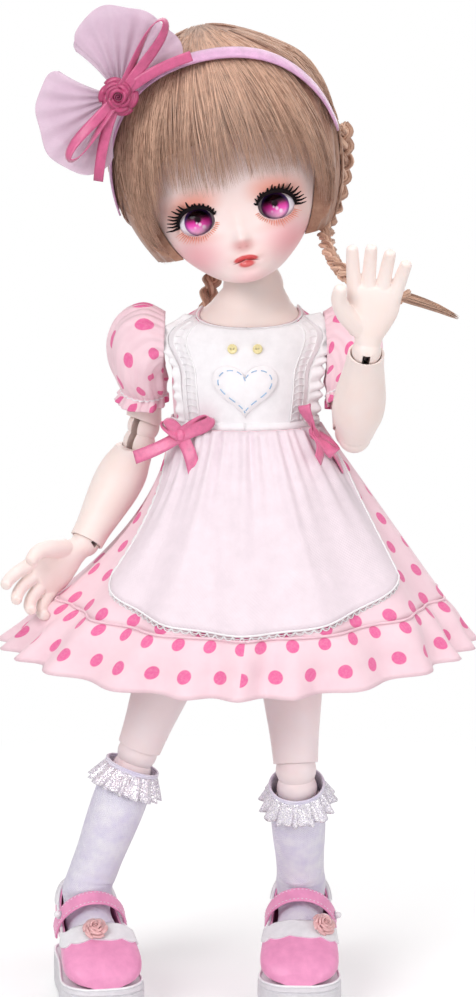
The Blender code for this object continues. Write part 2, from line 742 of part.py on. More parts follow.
def make_wig(frames):
    parent = frames["head"]
    wig = add_object("wig", *loft(head_rings(WIG_SHARES, WIG_POLE_SHARES, 0, steps=2)), hair(), parent, 60)
    inner = add_object("wig_hollow", *loft(head_rings(HEAD_SHARES, HEAD_POLE_SHARES, WIG_CLEARANCE)),
                       None, parent)
    inner.hide_render = True
    inner.display_type = "WIRE"
    cut = wig.modifiers.new("hollow", "BOOLEAN")
    cut.object = inner
    cut.solver = "MANIFOLD"
    hem = (HEAD_HEIGHT, HEAD_HEIGHT, WIG_HEM_SHARE * HEAD_HEIGHT)
    below = box((-HEAD_HEIGHT, -HEAD_HEIGHT, -HEAD_HEIGHT), hem)
    combine(wig, below, solver="MANIFOLD")
    half, top = FACE_WINDOW
    outline = [(-half, 0), (half, 0)]
    outline += [(half * math.cos(math.pi * k / 12), top - half / 3 + half / 3 * math.sin(math.pi * k / 12))
                for k in range(13)]
    depth = (WINDOW_BACK - WINDOW_FRONT) / 2
    window = prism(outline, depth, "Y")
    combine(wig, moved(window, Matrix.Translation((0, (WINDOW_BACK + WINDOW_FRONT) / 2, 0))),
            solver="MANIFOLD")
    for name, route in (("left_braid", BRAID_ROUTE_SHARES), ("right_braid", RIGHT_BRAID_ROUTE_SHARES)):
        path = smooth_path(in_head(frames, route), 2)
        radii = [BRAID_RADIUS * (1 - BRAID_TAPER_SHARE * k / (len(path) - 1)) for k in range(len(path))]
        radii[0] *= BRAID_END_SHARE
        radii[-1] *= BRAID_END_SHARE
        add_object(name, *sweep(path, radii, 8), hair(), parent)
        combine(wig, sweep(path, BRAID_RADIUS + 3 * GAP, 8), solver="MANIFOLD")


def wig_point(side_angle, lift):
    """A point over the wig's skin on the leaning plane of the headband."""
    size = HEAD_HEIGHT
    angle = side_angle * DEG
    front = -BAND_FRONT_SHARE * size
    rows = catmull(WIG_SHARES, 4)
    low, high = 0.0, BAND_REACH_SHARE * size
    direction = (math.sin(angle), math.cos(angle))
    for step in range(30):
        reach = (low + high) / 2
        x = direction[0] * reach
        z = BAND_CENTRE_SHARE * size + direction[1] * reach
        y = front + BAND_LEAN * (size - z)
        inside = False
        for first, second in zip(rows, rows[1:]):
            if first[0] * size <= z < second[0] * size:
                t = (z / size - first[0]) / (second[0] - first[0])
                half = (first[2] + (second[2] - first[2]) * t) * size
                front_y = (first[3] + (second[3] - first[3]) * t) * size
                back_y = (first[4] + (second[4] - first[4]) * t) * size
                depth_share = (y - (front_y + back_y) / 2) / ((back_y - front_y) / 2)
                inside = (x / half) ** 2 + depth_share ** 2 < 1
        if inside or z < rows[0][0] * size:
            low = reach
        else:
            high = reach
    reach = low + lift
    z = BAND_CENTRE_SHARE * size + direction[1] * reach
    return Vector((direction[0] * reach, front + BAND_LEAN * (size - z), z))


def make_headband(frames):
    count = 16
    low = []
    high = []
    across = Vector((0, 1, BAND_LEAN)).normalized() * (BAND_WIDTH / 2)
    for k in range(count + 1):
        angle = BAND_ANGLES[0] + (BAND_ANGLES[1] - BAND_ANGLES[0]) * k / count
        base = wig_point(angle, 3 * GAP)
        top = wig_point(angle, 3 * GAP + BAND_THICKNESS)
        low.append([base - across, base + across])
        high.append([top - across, top + across])
    add_object("headband", *shell(low, high, False), band_satin(), frames["head"])


# Bows: rows hold the place along the bow and its half height and half depth, in shares of its half length
BOW_SHARES = (
    (-1.0, 0.34, 0.20), (-0.8, 0.58, 0.28), (-0.45, 0.46, 0.30), (-0.12, 0.17, 0.20), (0.0, 0.15, 0.19),
    (0.12, 0.17, 0.20), (0.45, 0.46, 0.30), (0.8, 0.58, 0.28), (1.0, 0.34, 0.20),
)
TULLE_HALF = 20 * MM
TULLE_PLACE = Vector((-29.6 * MM, -19.9 * MM, 61.6 * MM))
TULLE_ANGLE = -52
RIBBON_HALF = 13 * MM
RIBBON_PLACE = Vector((-31 * MM, -26.2 * MM, 60 * MM))
RIBBON_ANGLE = 62
BOW_KNOT = 3.6 * MM
SOFT_BOW_DEPTH_SHARE = 0.6
RIBBON_BOW_DEPTH_SHARE = 0.5
WAIST_BOW_HALF = 8 * MM
WAIST_BOW_ANGLES = {"right": (-52, -28), "left": (46, 40)}
WAIST_BOW_SHARE = 0.055


def bow_shape(half, depth_scale, sides=10):
    rings = []
    for along, height, depth in BOW_SHARES:
        rings.append([Vector((along * half, depth * depth_scale * half * math.cos(math.tau * k / sides),
                              height * half * math.sin(math.tau * k / sides))) for k in range(sides)])
    return loft(rings)


def make_head_bows(frames):
    parent = frames["head"]
    item = add_object("tulle_bow", *bow_shape(TULLE_HALF, SOFT_BOW_DEPTH_SHARE, 12), tulle(), parent)
    item.matrix_local = Matrix.Translation(TULLE_PLACE) @ turn_about((0, 1, 0), TULLE_ANGLE)
    item = add_object("ribbon_bow", *bow_shape(RIBBON_HALF, RIBBON_BOW_DEPTH_SHARE), rose_satin(), parent)
    item.matrix_local = Matrix.Translation(RIBBON_PLACE) @ turn_about((0, 1, 0), RIBBON_ANGLE)
    combine(item, ball(BOW_KNOT, (0, 0, 0)), "UNION")


# Arms, each piece hanging down from its joint in its own frame
def rim_cut(rise, radius):
    """Clears the flexing side of a socket's rim; the joint's centre is the origin."""
    reach = 2 * radius
    slope = math.tan(RIM_SLANT)
    outline = [(-reach, rise + reach * slope), (reach, rise - reach * slope), (reach, -2 * reach),
               (-reach, -2 * reach)]
    return prism(outline, reach, "X")


def limb(name, rings, look, parent):
    return add_object(name, *loft(rings), look, parent)


def tapered(rows, sides):
    return [ring(-along, width, depth, 0, 0, sides) for along, width, depth in rows]


FOREARM_WIDTH_SHARES = ((0.046, 1.0, 1.0), (0.14, 1.16, 1.10), (0.28, 1.40, 1.24), (0.45, 1.42, 1.24),
                        (0.64, 1.26, 1.10), (0.84, 1.05, 0.94))
WRIST_SHARES = (0.98, 0.92)
UPPER_ARM_SHARES = ((0.28, 0.94, 0.94), (0.5, 0.98, 0.98), (0.78, 0.97, 0.97))


def make_arm(frames, side):
    twist, upper, lower, wrist, hand = frames[side, "arm"][2:]
    rows = [(along * UPPER_ARM_LENGTH, width * ARM_RADIUS, depth * ARM_RADIUS)
            for along, width, depth in UPPER_ARM_SHARES]
    rows.append((UPPER_ARM_LENGTH - ELBOW_RIM_RISE, ARM_RADIUS, ARM_RADIUS))
    sides = round_sides(SHOULDER_BALL)
    rings = ball_rings(SHOULDER_BALL, 90, -35, 5, sides=sides) + tapered(rows, sides)
    arm = limb(f"{side}_upper_arm", rings, resin(), twist)
    elbow = Vector((0, 0, -UPPER_ARM_LENGTH))
    to_elbow = Matrix.Translation(elbow)
    combine(arm, ball(ELBOW_BALL + BALL_GAP, elbow))
    combine(arm, moved(rim_cut(ELBOW_RIM_RISE, ARM_RADIUS), to_elbow))
    combine(arm, rod(Vector(), elbow, LIMB_BORE))
    open_pocket(arm)
    make_double_ball(f"{side}_elbow_ball", upper, ELBOW_BALL, ELBOW_SPACING, -1)
    rows = [(along * FOREARM_LENGTH, width * ARM_RADIUS, depth * ARM_RADIUS)
            for along, width, depth in FOREARM_WIDTH_SHARES]
    rows.append((FOREARM_LENGTH - WRIST_RIM_RISE, ARM_RADIUS * WRIST_SHARES[0],
                 ARM_RADIUS * WRIST_SHARES[1]))
    forearm = limb(f"{side}_forearm", tapered(rows, sides), resin(), lower)
    combine(forearm, ball(ELBOW_BALL + BALL_GAP))
    combine(forearm, moved(rim_cut(ELBOW_RIM_RISE, ARM_RADIUS), turn_about((0, 1, 0), 180)))
    end = Vector((0, 0, -FOREARM_LENGTH))
    combine(forearm, ball(WRIST_BALL + BALL_GAP, end))
    combine(forearm, rod(Vector(), end, HOOK_BORE))
    make_hook(f"{side}_wrist_hook", wrist, hand, WRIST_BALL)
    make_hand(side, hand)


def open_pocket(item):
    """A round pocket at a ball's centre, open toward the body, where the doubled elastic turns."""
    combine(item, ball(POCKET_RADIUS))


def make_double_ball(name, parent, radius, spacing, flex_y):
    """Two balls grown together, slotted from the flexing side for the elastic."""
    meet = math.asin(spacing / 2 / radius) / DEG
    sides = round_sides(radius)
    rings = ball_rings(radius, 90, -meet, sides // 3, sides=sides)
    rings += ball_rings(radius, meet, -90, sides // 3, (0, 0, -spacing), sides)[1:]
    item = add_object(name, *loft(rings), resin(), parent)
    half = SLOT_WIDTH / 2
    near = flex_y * (radius + OVERRUN)
    far = -flex_y * radius / 3
    low, high = sorted((near, far))
    combine(item, box((-half, low, -spacing - radius - OVERRUN), (half, high, radius + OVERRUN)))
    return item


HOOK_CURL = 1.55 * MM
HOOK_BEND_SHARES = (0.4, 0.8, 2.2, 5, 6)


def make_hook(name, parent, child, ball_radius):
    """An S of wire: it curls round the bar in a ball's slot and climbs the bore of the limb above."""
    bore = Vector((0, 0, 1))
    across = parent.matrix_world.to_3x3().inverted() @ child.matrix_world.to_3x3() @ Vector((1, 0, 0))
    across.normalize()
    shank = (bore - across * bore.dot(across)).normalized()
    fore = across.cross(shank)
    points = arc((0, 0, 0), HOOK_CURL, 200, 360, 5, fore, shank)
    points.append(fore * (HOOK_CURL * HOOK_BEND_SHARES[0]) + shank * (ball_radius * HOOK_BEND_SHARES[1]))
    points.append(bore * (ball_radius + HOOK_BEND_SHARES[2] * HOOK_CURL))
    points.append(bore * (ball_radius + HOOK_BEND_SHARES[3] * HOOK_CURL))
    eye = bore * (ball_radius + HOOK_BEND_SHARES[4] * HOOK_CURL)
    side = Vector((1, 0, 0))
    points += arc(eye + side * (HOOK_CURL / 2), HOOK_CURL / 2, 180, 20, 3, side, bore)
    add_object(name, *sweep(points, HOOK_RADIUS, 6), steel(), parent)


WELL_STEPS = 12


def slot_outline(ball_radius, start, end):
    """The slot's shape in its own plane: a round well at the bar and a fan open to the outside."""
    well = HOOK_CURL + HOOK_RADIUS + 2 * GAP
    reach = ball_radius * 2
    fan = [angle * DEG for angle in (start, (start + end) / 2, end)]
    swing = 360 - (end - start)
    back = [(end + swing * k / WELL_STEPS) * DEG for k in range(1, WELL_STEPS)]
    points = [(reach * math.cos(angle), reach * math.sin(angle)) for angle in fan]
    return points + [(well * math.cos(angle), well * math.sin(angle)) for angle in back]


# Fingers from the index to the little one: place over the palm, length, and bends of the parts in degrees
FINGERS = (
    (0.42, 0.95, (4, 14, 26)), (0.14, 1.02, (6, 20, 34)), (-0.14, 0.97, (10, 26, 44)),
    (-0.42, 0.80, (14, 30, 50)),
)
PALM_SHARES = ((0.10, 0.14, 0.115), (0.20, 0.19, 0.115), (0.34, 0.245, 0.105), (0.50, 0.255, 0.09),
               (0.58, 0.23, 0.075))
FINGER_LENGTH_SHARE = 0.44
FINGER_RADIUS_SHARE = 0.062
FINGER_PART_SHARES = (0.42, 0.32, 0.26)
FINGER_TAPER_SHARES = (1.0, 1.08, 1.0, 0.92, 0.55)
FINGER_CURL = {"right": 1.6, "left": 0.5}
KNUCKLE_SHARES = (0.46, 0.52, 0.06)
PALM_DROP_SHARE = 0.33
THUMB_TAPER_SHARES = (1.5, 1.45, 1.15, 0.7)
THUMB_SHARES = ((0.13, -0.03, 0.20), (0.25, -0.09, 0.31), (0.33, -0.15, 0.45), (0.33, -0.20, 0.57))
HAND_FAN = 24
HAND_SIDES = 12
WRIST_SWEEP = 78


def make_hand(side, parent):
    """Palm, four fingers, thumb and the slotted wrist ball; the palm looks to -Y, fingers hang down."""
    thumb_side = SIDES[side]
    size = HAND_LENGTH
    drop = PALM_DROP_SHARE * WRIST_BALL
    rings = ball_rings(WRIST_BALL, 90, -30, 5, (0, 0, 0), HAND_SIDES)
    for along, half, depth in PALM_SHARES:
        rings.append(ring(-along * size - drop, half * size, depth * size, 0, 0, HAND_SIDES))
    hand = add_object(f"{side}_hand", *loft(rings), resin(), parent, 60)
    spread, fall, root = KNUCKLE_SHARES
    radius = FINGER_RADIUS_SHARE * size
    for place, length, bends in FINGERS:
        start = Vector((thumb_side * place * spread * size, 0, -fall * size - drop))
        lean = thumb_side * place * HAND_FAN * DEG
        points = [start + Vector((0, 0, root * size)), start]
        for part, bend in zip(FINGER_PART_SHARES, bends):
            angle = bend * FINGER_CURL[side] * DEG
            step = length * FINGER_LENGTH_SHARE * size * part
            down = Vector((math.sin(lean) * math.cos(angle), -math.sin(angle),
                           -math.cos(angle) * math.cos(lean)))
            points.append(points[-1] + down * step)
        combine(hand, sweep(points, [radius * share for share in FINGER_TAPER_SHARES], 5), "UNION")
    points = [Vector((thumb_side * x * size, y * size, -z * size - drop)) for x, y, z in THUMB_SHARES]
    combine(hand, sweep(points, [radius * share for share in THUMB_TAPER_SHARES], 7), "UNION")
    start, end = 90 - WRIST_SWEEP, 90 + WRIST_SWEEP
    combine(hand, prism(slot_outline(WRIST_BALL, start, end), SLOT_WIDTH / 2, "X"))
    reach = SLOT_WIDTH
    combine(hand, rod(Vector((-reach, 0, 0)), Vector((reach, 0, 0)), BAR_RADIUS), "UNION")


# Legs
THIGH_SHARES = ((0.17, 0.84, 0.84), (0.33, 1.0, 1.0), (0.55, 0.95, 0.96), (0.82, 0.75, 0.77))
SHIN_SHARES = ((0.13, 1.04, 1.02), (0.32, 1.10, 1.14), (0.55, 1.0, 1.04), (0.78, 0.90, 0.92))
ANKLE_SWEEP = 62


def make_leg(frames, side):
    twist, upper, lower, ankle, foot = frames[side, "leg"][2:]
    rows = [(along * THIGH_LENGTH, width * THIGH_RADIUS, depth * THIGH_RADIUS)
            for along, width, depth in THIGH_SHARES]
    rows.append((THIGH_LENGTH - KNEE_RIM_RISE, KNEE_RIM_RADIUS, KNEE_RIM_RADIUS))
    sides = round_sides(HIP_BALL)
    rings = ball_rings(HIP_BALL, 90, -50, 5, sides=sides) + tapered(rows, sides)
    thigh = limb(f"{side}_thigh", rings, resin(), twist)
    knee = Vector((0, 0, -THIGH_LENGTH))
    combine(thigh, ball(KNEE_BALL + BALL_GAP, knee))
    back = turn_about((0, 0, 1), 180)
    combine(thigh, moved(rim_cut(KNEE_RIM_RISE, KNEE_RIM_RADIUS), Matrix.Translation(knee) @ back))
    combine(thigh, rod(Vector(), knee, LIMB_BORE))
    open_pocket(thigh)
    make_double_ball(f"{side}_knee_ball", upper, KNEE_BALL, KNEE_SPACING, 1)
    rows = [(KNEE_RIM_RISE, KNEE_RIM_RADIUS, KNEE_RIM_RADIUS)]
    rows += [(along * SHIN_LENGTH, width * SHIN_RADIUS, depth * SHIN_RADIUS)
             for along, width, depth in SHIN_SHARES]
    rows.append((SHIN_LENGTH - ANKLE_RIM_RISE, ANKLE_RIM_RADIUS, ANKLE_RIM_RADIUS))
    shin = limb(f"{side}_shin", tapered(rows, round_sides(KNEE_BALL)), resin(), lower)
    combine(shin, ball(KNEE_BALL + BALL_GAP))
    combine(shin, moved(rim_cut(KNEE_RIM_RISE, KNEE_RIM_RADIUS), turn_about((1, 0, 0), 180)))
    end = Vector((0, 0, -SHIN_LENGTH))
    combine(shin, ball(ANKLE_BALL + BALL_GAP, end))
    combine(shin, rod(Vector(), end, HOOK_BORE))
    make_hook(f"{side}_ankle_hook", ankle, foot, ANKLE_BALL)
    make_foot(side, foot)


# Foot rows: instep point and sole point, forward and up, then half width, in shares of the foot's size
FOOT_SHARES = (
    (0.155, -0.02, -0.155, -0.02, 0.155), (0.19, -0.09, -0.27, -0.25, 0.175),
    (0.25, -0.13, -0.35, -0.50, 0.19), (0.31, -0.17, -0.13, -0.63, 0.195),
    (0.42, -0.23, 0.28, -0.63, 0.21), (0.78, -0.45, 0.76, -0.63, 0.25), (1.0, -0.57, 1.0, -0.62, 0.14),
)
SOCK_ANKLE_SHARES = ((0.23, 0.03, -0.27, -0.06, 0.215), (0.24, -0.05, -0.34, -0.28, 0.20))
FOOT_SIZE = 30 * MM


def span_ring(near, far, across, half, grow, sides=10):
    """An oval ring between two points, grown outward, its other axis given."""
    centre = (near + far) / 2
    reach = near - centre
    reach = reach * (1 + grow / reach.length)
    wide = across * (half + grow)
    return [centre + reach * math.sin(math.tau * k / sides) + wide * math.cos(math.tau * k / sides)
            for k in range(sides)]


def foot_ring(row, grow):
    front, top, back, low, half = (share * FOOT_SIZE for share in row)
    return span_ring(Vector((0, -front, top)), Vector((0, -back, low)), Vector((1, 0, 0)), half, grow)


def make_foot(side, parent):
    rings = [foot_ring(row, 0) for row in FOOT_SHARES]
    item = add_object(f"{side}_foot", *loft(rings), resin(), parent, 60)
    combine(item, ball(ANKLE_BALL), "UNION")
    start, end = 90 - ANKLE_SWEEP, 90 + ANKLE_SWEEP
    combine(item, prism(slot_outline(ANKLE_BALL, start, end), SLOT_WIDTH / 2, "X"))
    combine(item, rod(Vector((-SLOT_WIDTH, 0, 0)), Vector((SLOT_WIDTH, 0, 0)), BAR_RADIUS), "UNION")


# Socks and shoes
SOCK_TOP_DROP = 4 * MM
SOCK_GROW = 0.5 * MM
SHOE_WALL = 1.2 * MM
STRAP_WIDTH = 5 * MM


SOCK_SHIN_SHARES = ((0.13, 1.08, 1.08), (0.3, 1.10, 1.13), (0.5, 1.05, 1.08), (0.7, 0.97, 0.99),
                    (0.88, 0.95, 0.96))


def sock_rings(frames, side, grow):
    """Rings down the shin, round the ankle and along the foot, all in the shin's frame."""
    lower, ankle, foot = frames[side, "leg"][4:]
    to_shin = lower.matrix_world.inverted() @ foot.matrix_world
    rings = []
    for along, width, depth in SOCK_SHIN_SHARES:
        z = -along * SHIN_LENGTH
        near = Vector((0, -depth * SHIN_RADIUS, z))
        far = Vector((0, depth * SHIN_RADIUS, z))
        rings.append(span_ring(near, far, Vector((1, 0, 0)), width * SHIN_RADIUS, grow))
    for row in SOCK_ANKLE_SHARES + FOOT_SHARES[2:]:
        rings.append([to_shin @ point for point in foot_ring(row, grow)])
    return rings


def make_sock(frames, side):
    outer = sock_rings(frames, side, SOCK_GROW + SOCK_CLOTH)
    inner = sock_rings(frames, side, SOCK_GROW)
    add_object(f"{side}_sock", *loft(list(reversed(outer)) + inner), sock_knit(), frames[side, "leg"][4],
               60)


def make_sheet(name, grid, low, high, look, parent, closed, middle, sharp=60):
    inner = offset_grid(grid, low, closed, middle)
    outer = offset_grid(grid, high, closed, middle)
    return add_object(name, *shell(inner, outer, closed), look, parent, sharp)


# Dress and apron
SKIRT_WAIST = (22 * MM, 17.5 * MM)
SEAM_HALF = (58 * MM, 46 * MM)
HEM_HALF = (69.5 * MM, 52 * MM)
SEAM_DROP = 56 * MM
SEAM_SIDE_LIFT = 5 * MM
HEM_DROP = 71.9 * MM
HEM_SIDE_LIFT = 6.6 * MM
PULLED_POWER = 1.0
PULLED_SHARE = 0.1
SKIRT_FOLDS = 14
SKIRT_FOLD = 1.3 * MM
HEM_FOLDS = 16
HEM_FOLD = 1.7 * MM
FOLD_COLUMNS = 4
SKIRT_ROWS = 3
NECKLINE_RISE = 80.5 * MM
NECKLINE_SLOPE_SHARES = (0.42, 0.1)
ARMHOLE_RADIUS = 9.2 * MM
BIB_HALF_ANGLE = 62
APRON_HALF_COLUMNS = 11
APRON_END_SHARES = (0.97, 0.80)
APRON_LIFT = 0.6 * MM
BOW_LIFT = 2.2 * MM
SLEEVE_SIDES = 12
SLEEVE_SHARES = (
    (-0.80, 1.30, -0.80, -1.30, 1.30), (0.25, 1.72, -0.92, -1.50, 1.50), (1.28, 1.19, -0.97, -1.69, 1.60),
    (1.72, 0.08, -0.99, -1.91, 1.63), (1.66, -1.17, -0.99, -2.19, 1.56), (1.35, -2.06, -0.99, -2.44, 1.35),
    (1.07, -2.66, -0.99, -2.66, 1.07), (1.38, -3.12, -1.04, -3.12, 1.38),
)


def skirt_point(angle, share):
    """A point of the skirt's cloth: the angle runs from the front, the share from the waist to the seam."""
    side = math.sin(angle)
    front = math.cos(angle)
    pulled = max(0.0, -side) ** 2
    grow = share ** (1 + PULLED_POWER * pulled) * (1 - PULLED_SHARE * pulled)
    fold = SKIRT_FOLD * math.sin(math.pi / 2 * min(1.0, share)) * math.cos(SKIRT_FOLDS * angle)
    half_width = SKIRT_WAIST[0] + (SEAM_HALF[0] - SKIRT_WAIST[0]) * grow + fold
    half_depth = SKIRT_WAIST[1] + (SEAM_HALF[1] - SKIRT_WAIST[1]) * share + fold
    drop = (SEAM_DROP - SEAM_SIDE_LIFT * side * side) * share
    return Vector((half_width * side, -half_depth * front, WAIST_RISE - GAP - drop))


def flounce_point(angle, share):
    """A point of the hem flounce, from the seam down."""
    side = math.sin(angle)
    front = math.cos(angle)
    ripple = HEM_FOLD * share * math.cos(HEM_FOLDS * angle)
    top = skirt_point(angle, 1.0)
    seam = SEAM_HALF[0] - (SEAM_HALF[0] - SKIRT_WAIST[0]) * PULLED_SHARE * max(0.0, -side) ** 2
    half_width = seam + (HEM_HALF[0] - seam) * share + ripple
    half_depth = SEAM_HALF[1] + (HEM_HALF[1] - SEAM_HALF[1]) * share + ripple
    base = SKIRT_FOLD * math.cos(SKIRT_FOLDS * angle) * (1 - share)
    drop_top = WAIST_RISE - GAP - top.z
    drop = drop_top + 2 * GAP + (HEM_DROP - HEM_SIDE_LIFT * side * side - drop_top - 2 * GAP) * share
    return Vector(((half_width + base) * side - SKIRT_SIDE_SHIFT * share, -(half_depth + base) * front,
                   WAIST_RISE - GAP - drop))


def bodice_grid():
    """The torso's own rows from the waist up."""
    low = (WAIST_RISE + GAP) / TORSO_LENGTH
    rows = [low] + [row[0] for row in TORSO_SHARES if row[0] > low + GAP / TORSO_LENGTH]
    return [[torso_point(math.tau * k / TORSO_SIDES, share) for k in range(TORSO_SIDES)] for share in rows]


def row_middle(grid):
    return lambda row: Vector((0, 0, grid[row][0].z))


def cut_rows(grid, flat, low, high):
    """The rows of a grid between two heights of its flat grid, with new rows on the faces at both ends."""
    heights = [row[0].z for row in flat]
    cut = []
    for wanted in [low] + [height for height in heights if low < height < high] + [high]:
        k = max(n for n in range(len(heights) - 1) if heights[n] <= wanted)
        share = (wanted - heights[k]) / (heights[k + 1] - heights[k])
        cut.append([first.lerp(second, share) for first, second in zip(grid[k], grid[k + 1])])
    return cut


def make_dress(frames):
    parent = frames["torso"]
    grid = bodice_grid()
    bodice = make_sheet("dress_bodice", grid, CLOTH_GAP, CLOTH_GAP + CLOTH, dot_cotton(), parent, True,
                        row_middle(grid))
    reach = shoulder_half_spacing()
    for sign in SIDES.values():
        combine(bodice, ball(ARMHOLE_RADIUS, (sign * reach, 0, TORSO_LENGTH)), solver="MANIFOLD")
    wide = 2 * CHEST_HALF_WIDTH
    front, back = NECKLINE_SLOPE_SHARES
    outline = [(-wide, NECKLINE_RISE - wide * front), (0, NECKLINE_RISE),
               (wide, NECKLINE_RISE - wide * back),
               (wide, 2 * NECKLINE_RISE), (-wide, 2 * NECKLINE_RISE)]
    combine(bodice, prism(outline, wide, "X"), solver="MANIFOLD")
    columns = SKIRT_FOLDS * FOLD_COLUMNS
    grid = [[skirt_point(math.tau * k / columns, row / SKIRT_ROWS) for k in range(columns)]
            for row in range(SKIRT_ROWS + 1)]
    make_sheet("dress_skirt", grid, -CLOTH, 0, dot_cotton(), parent, True, row_middle(grid))
    columns = HEM_FOLDS * FOLD_COLUMNS
    hem = [[flounce_point(math.tau * k / columns, row) for k in range(columns)] for row in range(2)]
    make_sheet("dress_flounce", hem, -CLOTH, 0, dot_cotton(), parent, True, row_middle(hem))


def make_apron(frames):
    parent = frames["torso"]
    low = WAIST_RISE + 2 * GAP
    high = NECKLINE_RISE - CHEST_HALF_DEPTH * NECKLINE_SLOPE_SHARES[0] - GAP
    count = round(BIB_HALF_ANGLE * DEG / math.tau * TORSO_SIDES)
    flat = bodice_grid()
    base = CLOTH_GAP + CLOTH + 2 * GAP
    sheets = []
    for distance in (base, base + CLOTH):
        rows = cut_rows(offset_grid(flat, distance, True, row_middle(flat)), flat, low, high)
        sheets.append([row[-count:] + row[:count + 1] for row in rows])
    add_object("apron_bib", *shell(*sheets, False), apron_cotton(), parent, 60)
    column = math.tau / (SKIRT_FOLDS * FOLD_COLUMNS)
    reach = range(-APRON_HALF_COLUMNS, APRON_HALF_COLUMNS + 1)
    sheet = [[skirt_point(k * column, row / SKIRT_ROWS) for k in reach] for row in range(SKIRT_ROWS)]
    hem = []
    for k, above in zip(reach, sheet[-1]):
        side = k / APRON_HALF_COLUMNS
        end = APRON_END_SHARES[0] + (APRON_END_SHARES[1] - APRON_END_SHARES[0]) * side * side
        hem.append(above.lerp(skirt_point(k * column, 1.0), end * SKIRT_ROWS - (SKIRT_ROWS - 1)))
    sheet.append(hem)
    item = make_sheet("apron_skirt", sheet, APRON_LIFT, APRON_LIFT + CLOTH, apron_cotton(), parent, False,
                      row_middle(sheet))
    for side, (angle, roll) in WAIST_BOW_ANGLES.items():
        angle *= DEG
        point = skirt_point(angle, WAIST_BOW_SHARE)
        right = (skirt_point(angle + DEG, WAIST_BOW_SHARE) - point).normalized()
        down = (skirt_point(angle, WAIST_BOW_SHARE * 1.5) - point).normalized()
        out = right.cross(down)
        if out.y > 0:
            out.negate()
        centre = point + out * (APRON_LIFT + CLOTH + BOW_LIFT)
        across = out.cross(down).normalized()
        turn = Matrix((across, -out, -down)).transposed().to_4x4() @ turn_about((0, 1, 0), roll)
        bow = add_object(f"{side}_waist_bow", *bow_shape(WAIST_BOW_HALF, SOFT_BOW_DEPTH_SHARE),
                         bow_satin(), parent)
        bow.matrix_local = Matrix.Translation(centre) @ turn


def make_sleeve(frames, side):
    sign = SIDES[side]
    spread = frames[side, "arm"][1]
    sides = SLEEVE_SIDES
    size = SHOULDER_BALL
    grid = []
    for top_x, top_z, low_x, low_z, depth in SLEEVE_SHARES:
        top = Vector((sign * top_x, 0, top_z)) * size
        low = Vector((sign * low_x, 0, low_z)) * size
        centre = (top + low) / 2
        half = (top - low) / 2
        grid.append([centre + half * math.cos(math.tau * k / sides)
                     + Vector((0, depth * size * math.sin(math.tau * k / sides), 0)) for k in range(sides)])
    make_sheet(f"{side}_sleeve", grid, -CLOTH, 0, dot_cotton(), spread, True,
               lambda row: sum(grid[row], Vector()) / sides)


# Strands of the doubled elastic at the middle of a shoulder or hip ball
STRAND_SIDE = 0.9 * MM
STRAND_HALF_LENGTH = 1.9 * MM


def make_strands(frames, side):
    """Two short lengths of the doubled elastic, each in its own body, at a ball's centre."""
    for kind, chain in (("shoulder", frames[side, "arm"]), ("hip", frames[side, "leg"])):
        for letter, parent, y in (("a", chain[0], -STRAND_SIDE), ("b", chain[1], STRAND_SIDE)):
            end = Vector((STRAND_HALF_LENGTH, y, 0))
            strand = rod(Vector((-end.x, end.y, end.z)), end, STRAND_RADIUS)
            add_object(f"{side}_{kind}_strand_{letter}", *strand, elastic(), parent)


# Shoes: sole outline rows hold the place along the foot and the half width, in shares
SOLE_SHARES = (
    (-0.47, 0.28), (-0.44, 0.52), (-0.34, 0.72), (-0.15, 0.79), (0.15, 0.82), (0.45, 0.90),
    (0.70, 0.98), (0.88, 1.0), (1.02, 0.90), (1.12, 0.68), (1.18, 0.36),
)
SOLE_HALF_WIDTH = 12.4 * MM
SOLE_TAPER_SHARES = ((1.0, 0.96), (0.92, 1.0), (0.08, 1.0), (0.0, 0.98))
# Upper rows: place along the foot, half width and top, in shares of the foot's size
UPPER_SHARES = (
    (-0.445, 0.16, -0.28), (-0.40, 0.25, -0.04), (-0.26, 0.295, 0.03), (-0.02, 0.31, 0.03),
    (0.28, 0.325, -0.06), (0.60, 0.37, -0.23), (0.90, 0.385, -0.40), (1.06, 0.31, -0.51),
    (1.14, 0.18, -0.61),
)
TOPLINE_SHARES = (
    (-0.60, 0.06), (-0.44, 0.02), (-0.28, -0.04), (-0.06, -0.24), (0.22, -0.35), (0.48, -0.35),
    (0.60, -0.30), (0.64, 0.4), (-0.60, 0.4),
)
UPPER_SQUARE = 2.7
STRAP_CENTRE_SHARES = (0.117, -0.40)
STRAP_HALF_WIDTH_SHARE = 0.335
STRAP_RISE_SHARE = 0.433
STRAP_LEAN = 33.5
STRAP_HALF_ANGLE = 97
STRAP_THICKNESS = 0.8 * MM


def sole_outline():
    """Round toe and heel in plan; pairs across and forward."""
    points = [(half * SOLE_HALF_WIDTH, -front * FOOT_SIZE) for front, half in SOLE_SHARES]
    return points + [(-x, y) for x, y in reversed(points)]


def upper_ring(row, grow, sides=12):
    """A squared oval across the shoe, flat at the sole."""
    front, half, top = (share * FOOT_SIZE for share in row)
    floor = -ANKLE_RISE + GAP
    middle = (top + floor) / 2
    half_height = (top - floor) / 2 + grow
    ring_points = []
    for k in range(sides):
        angle = math.tau * k / sides
        u = math.copysign(abs(math.cos(angle)) ** (2 / UPPER_SQUARE), math.cos(angle))
        v = math.copysign(abs(math.sin(angle)) ** (2 / UPPER_SQUARE), math.sin(angle))
        ring_points.append(Vector(((half + grow) * u, -front, middle + half_height * v)))
    return ring_points


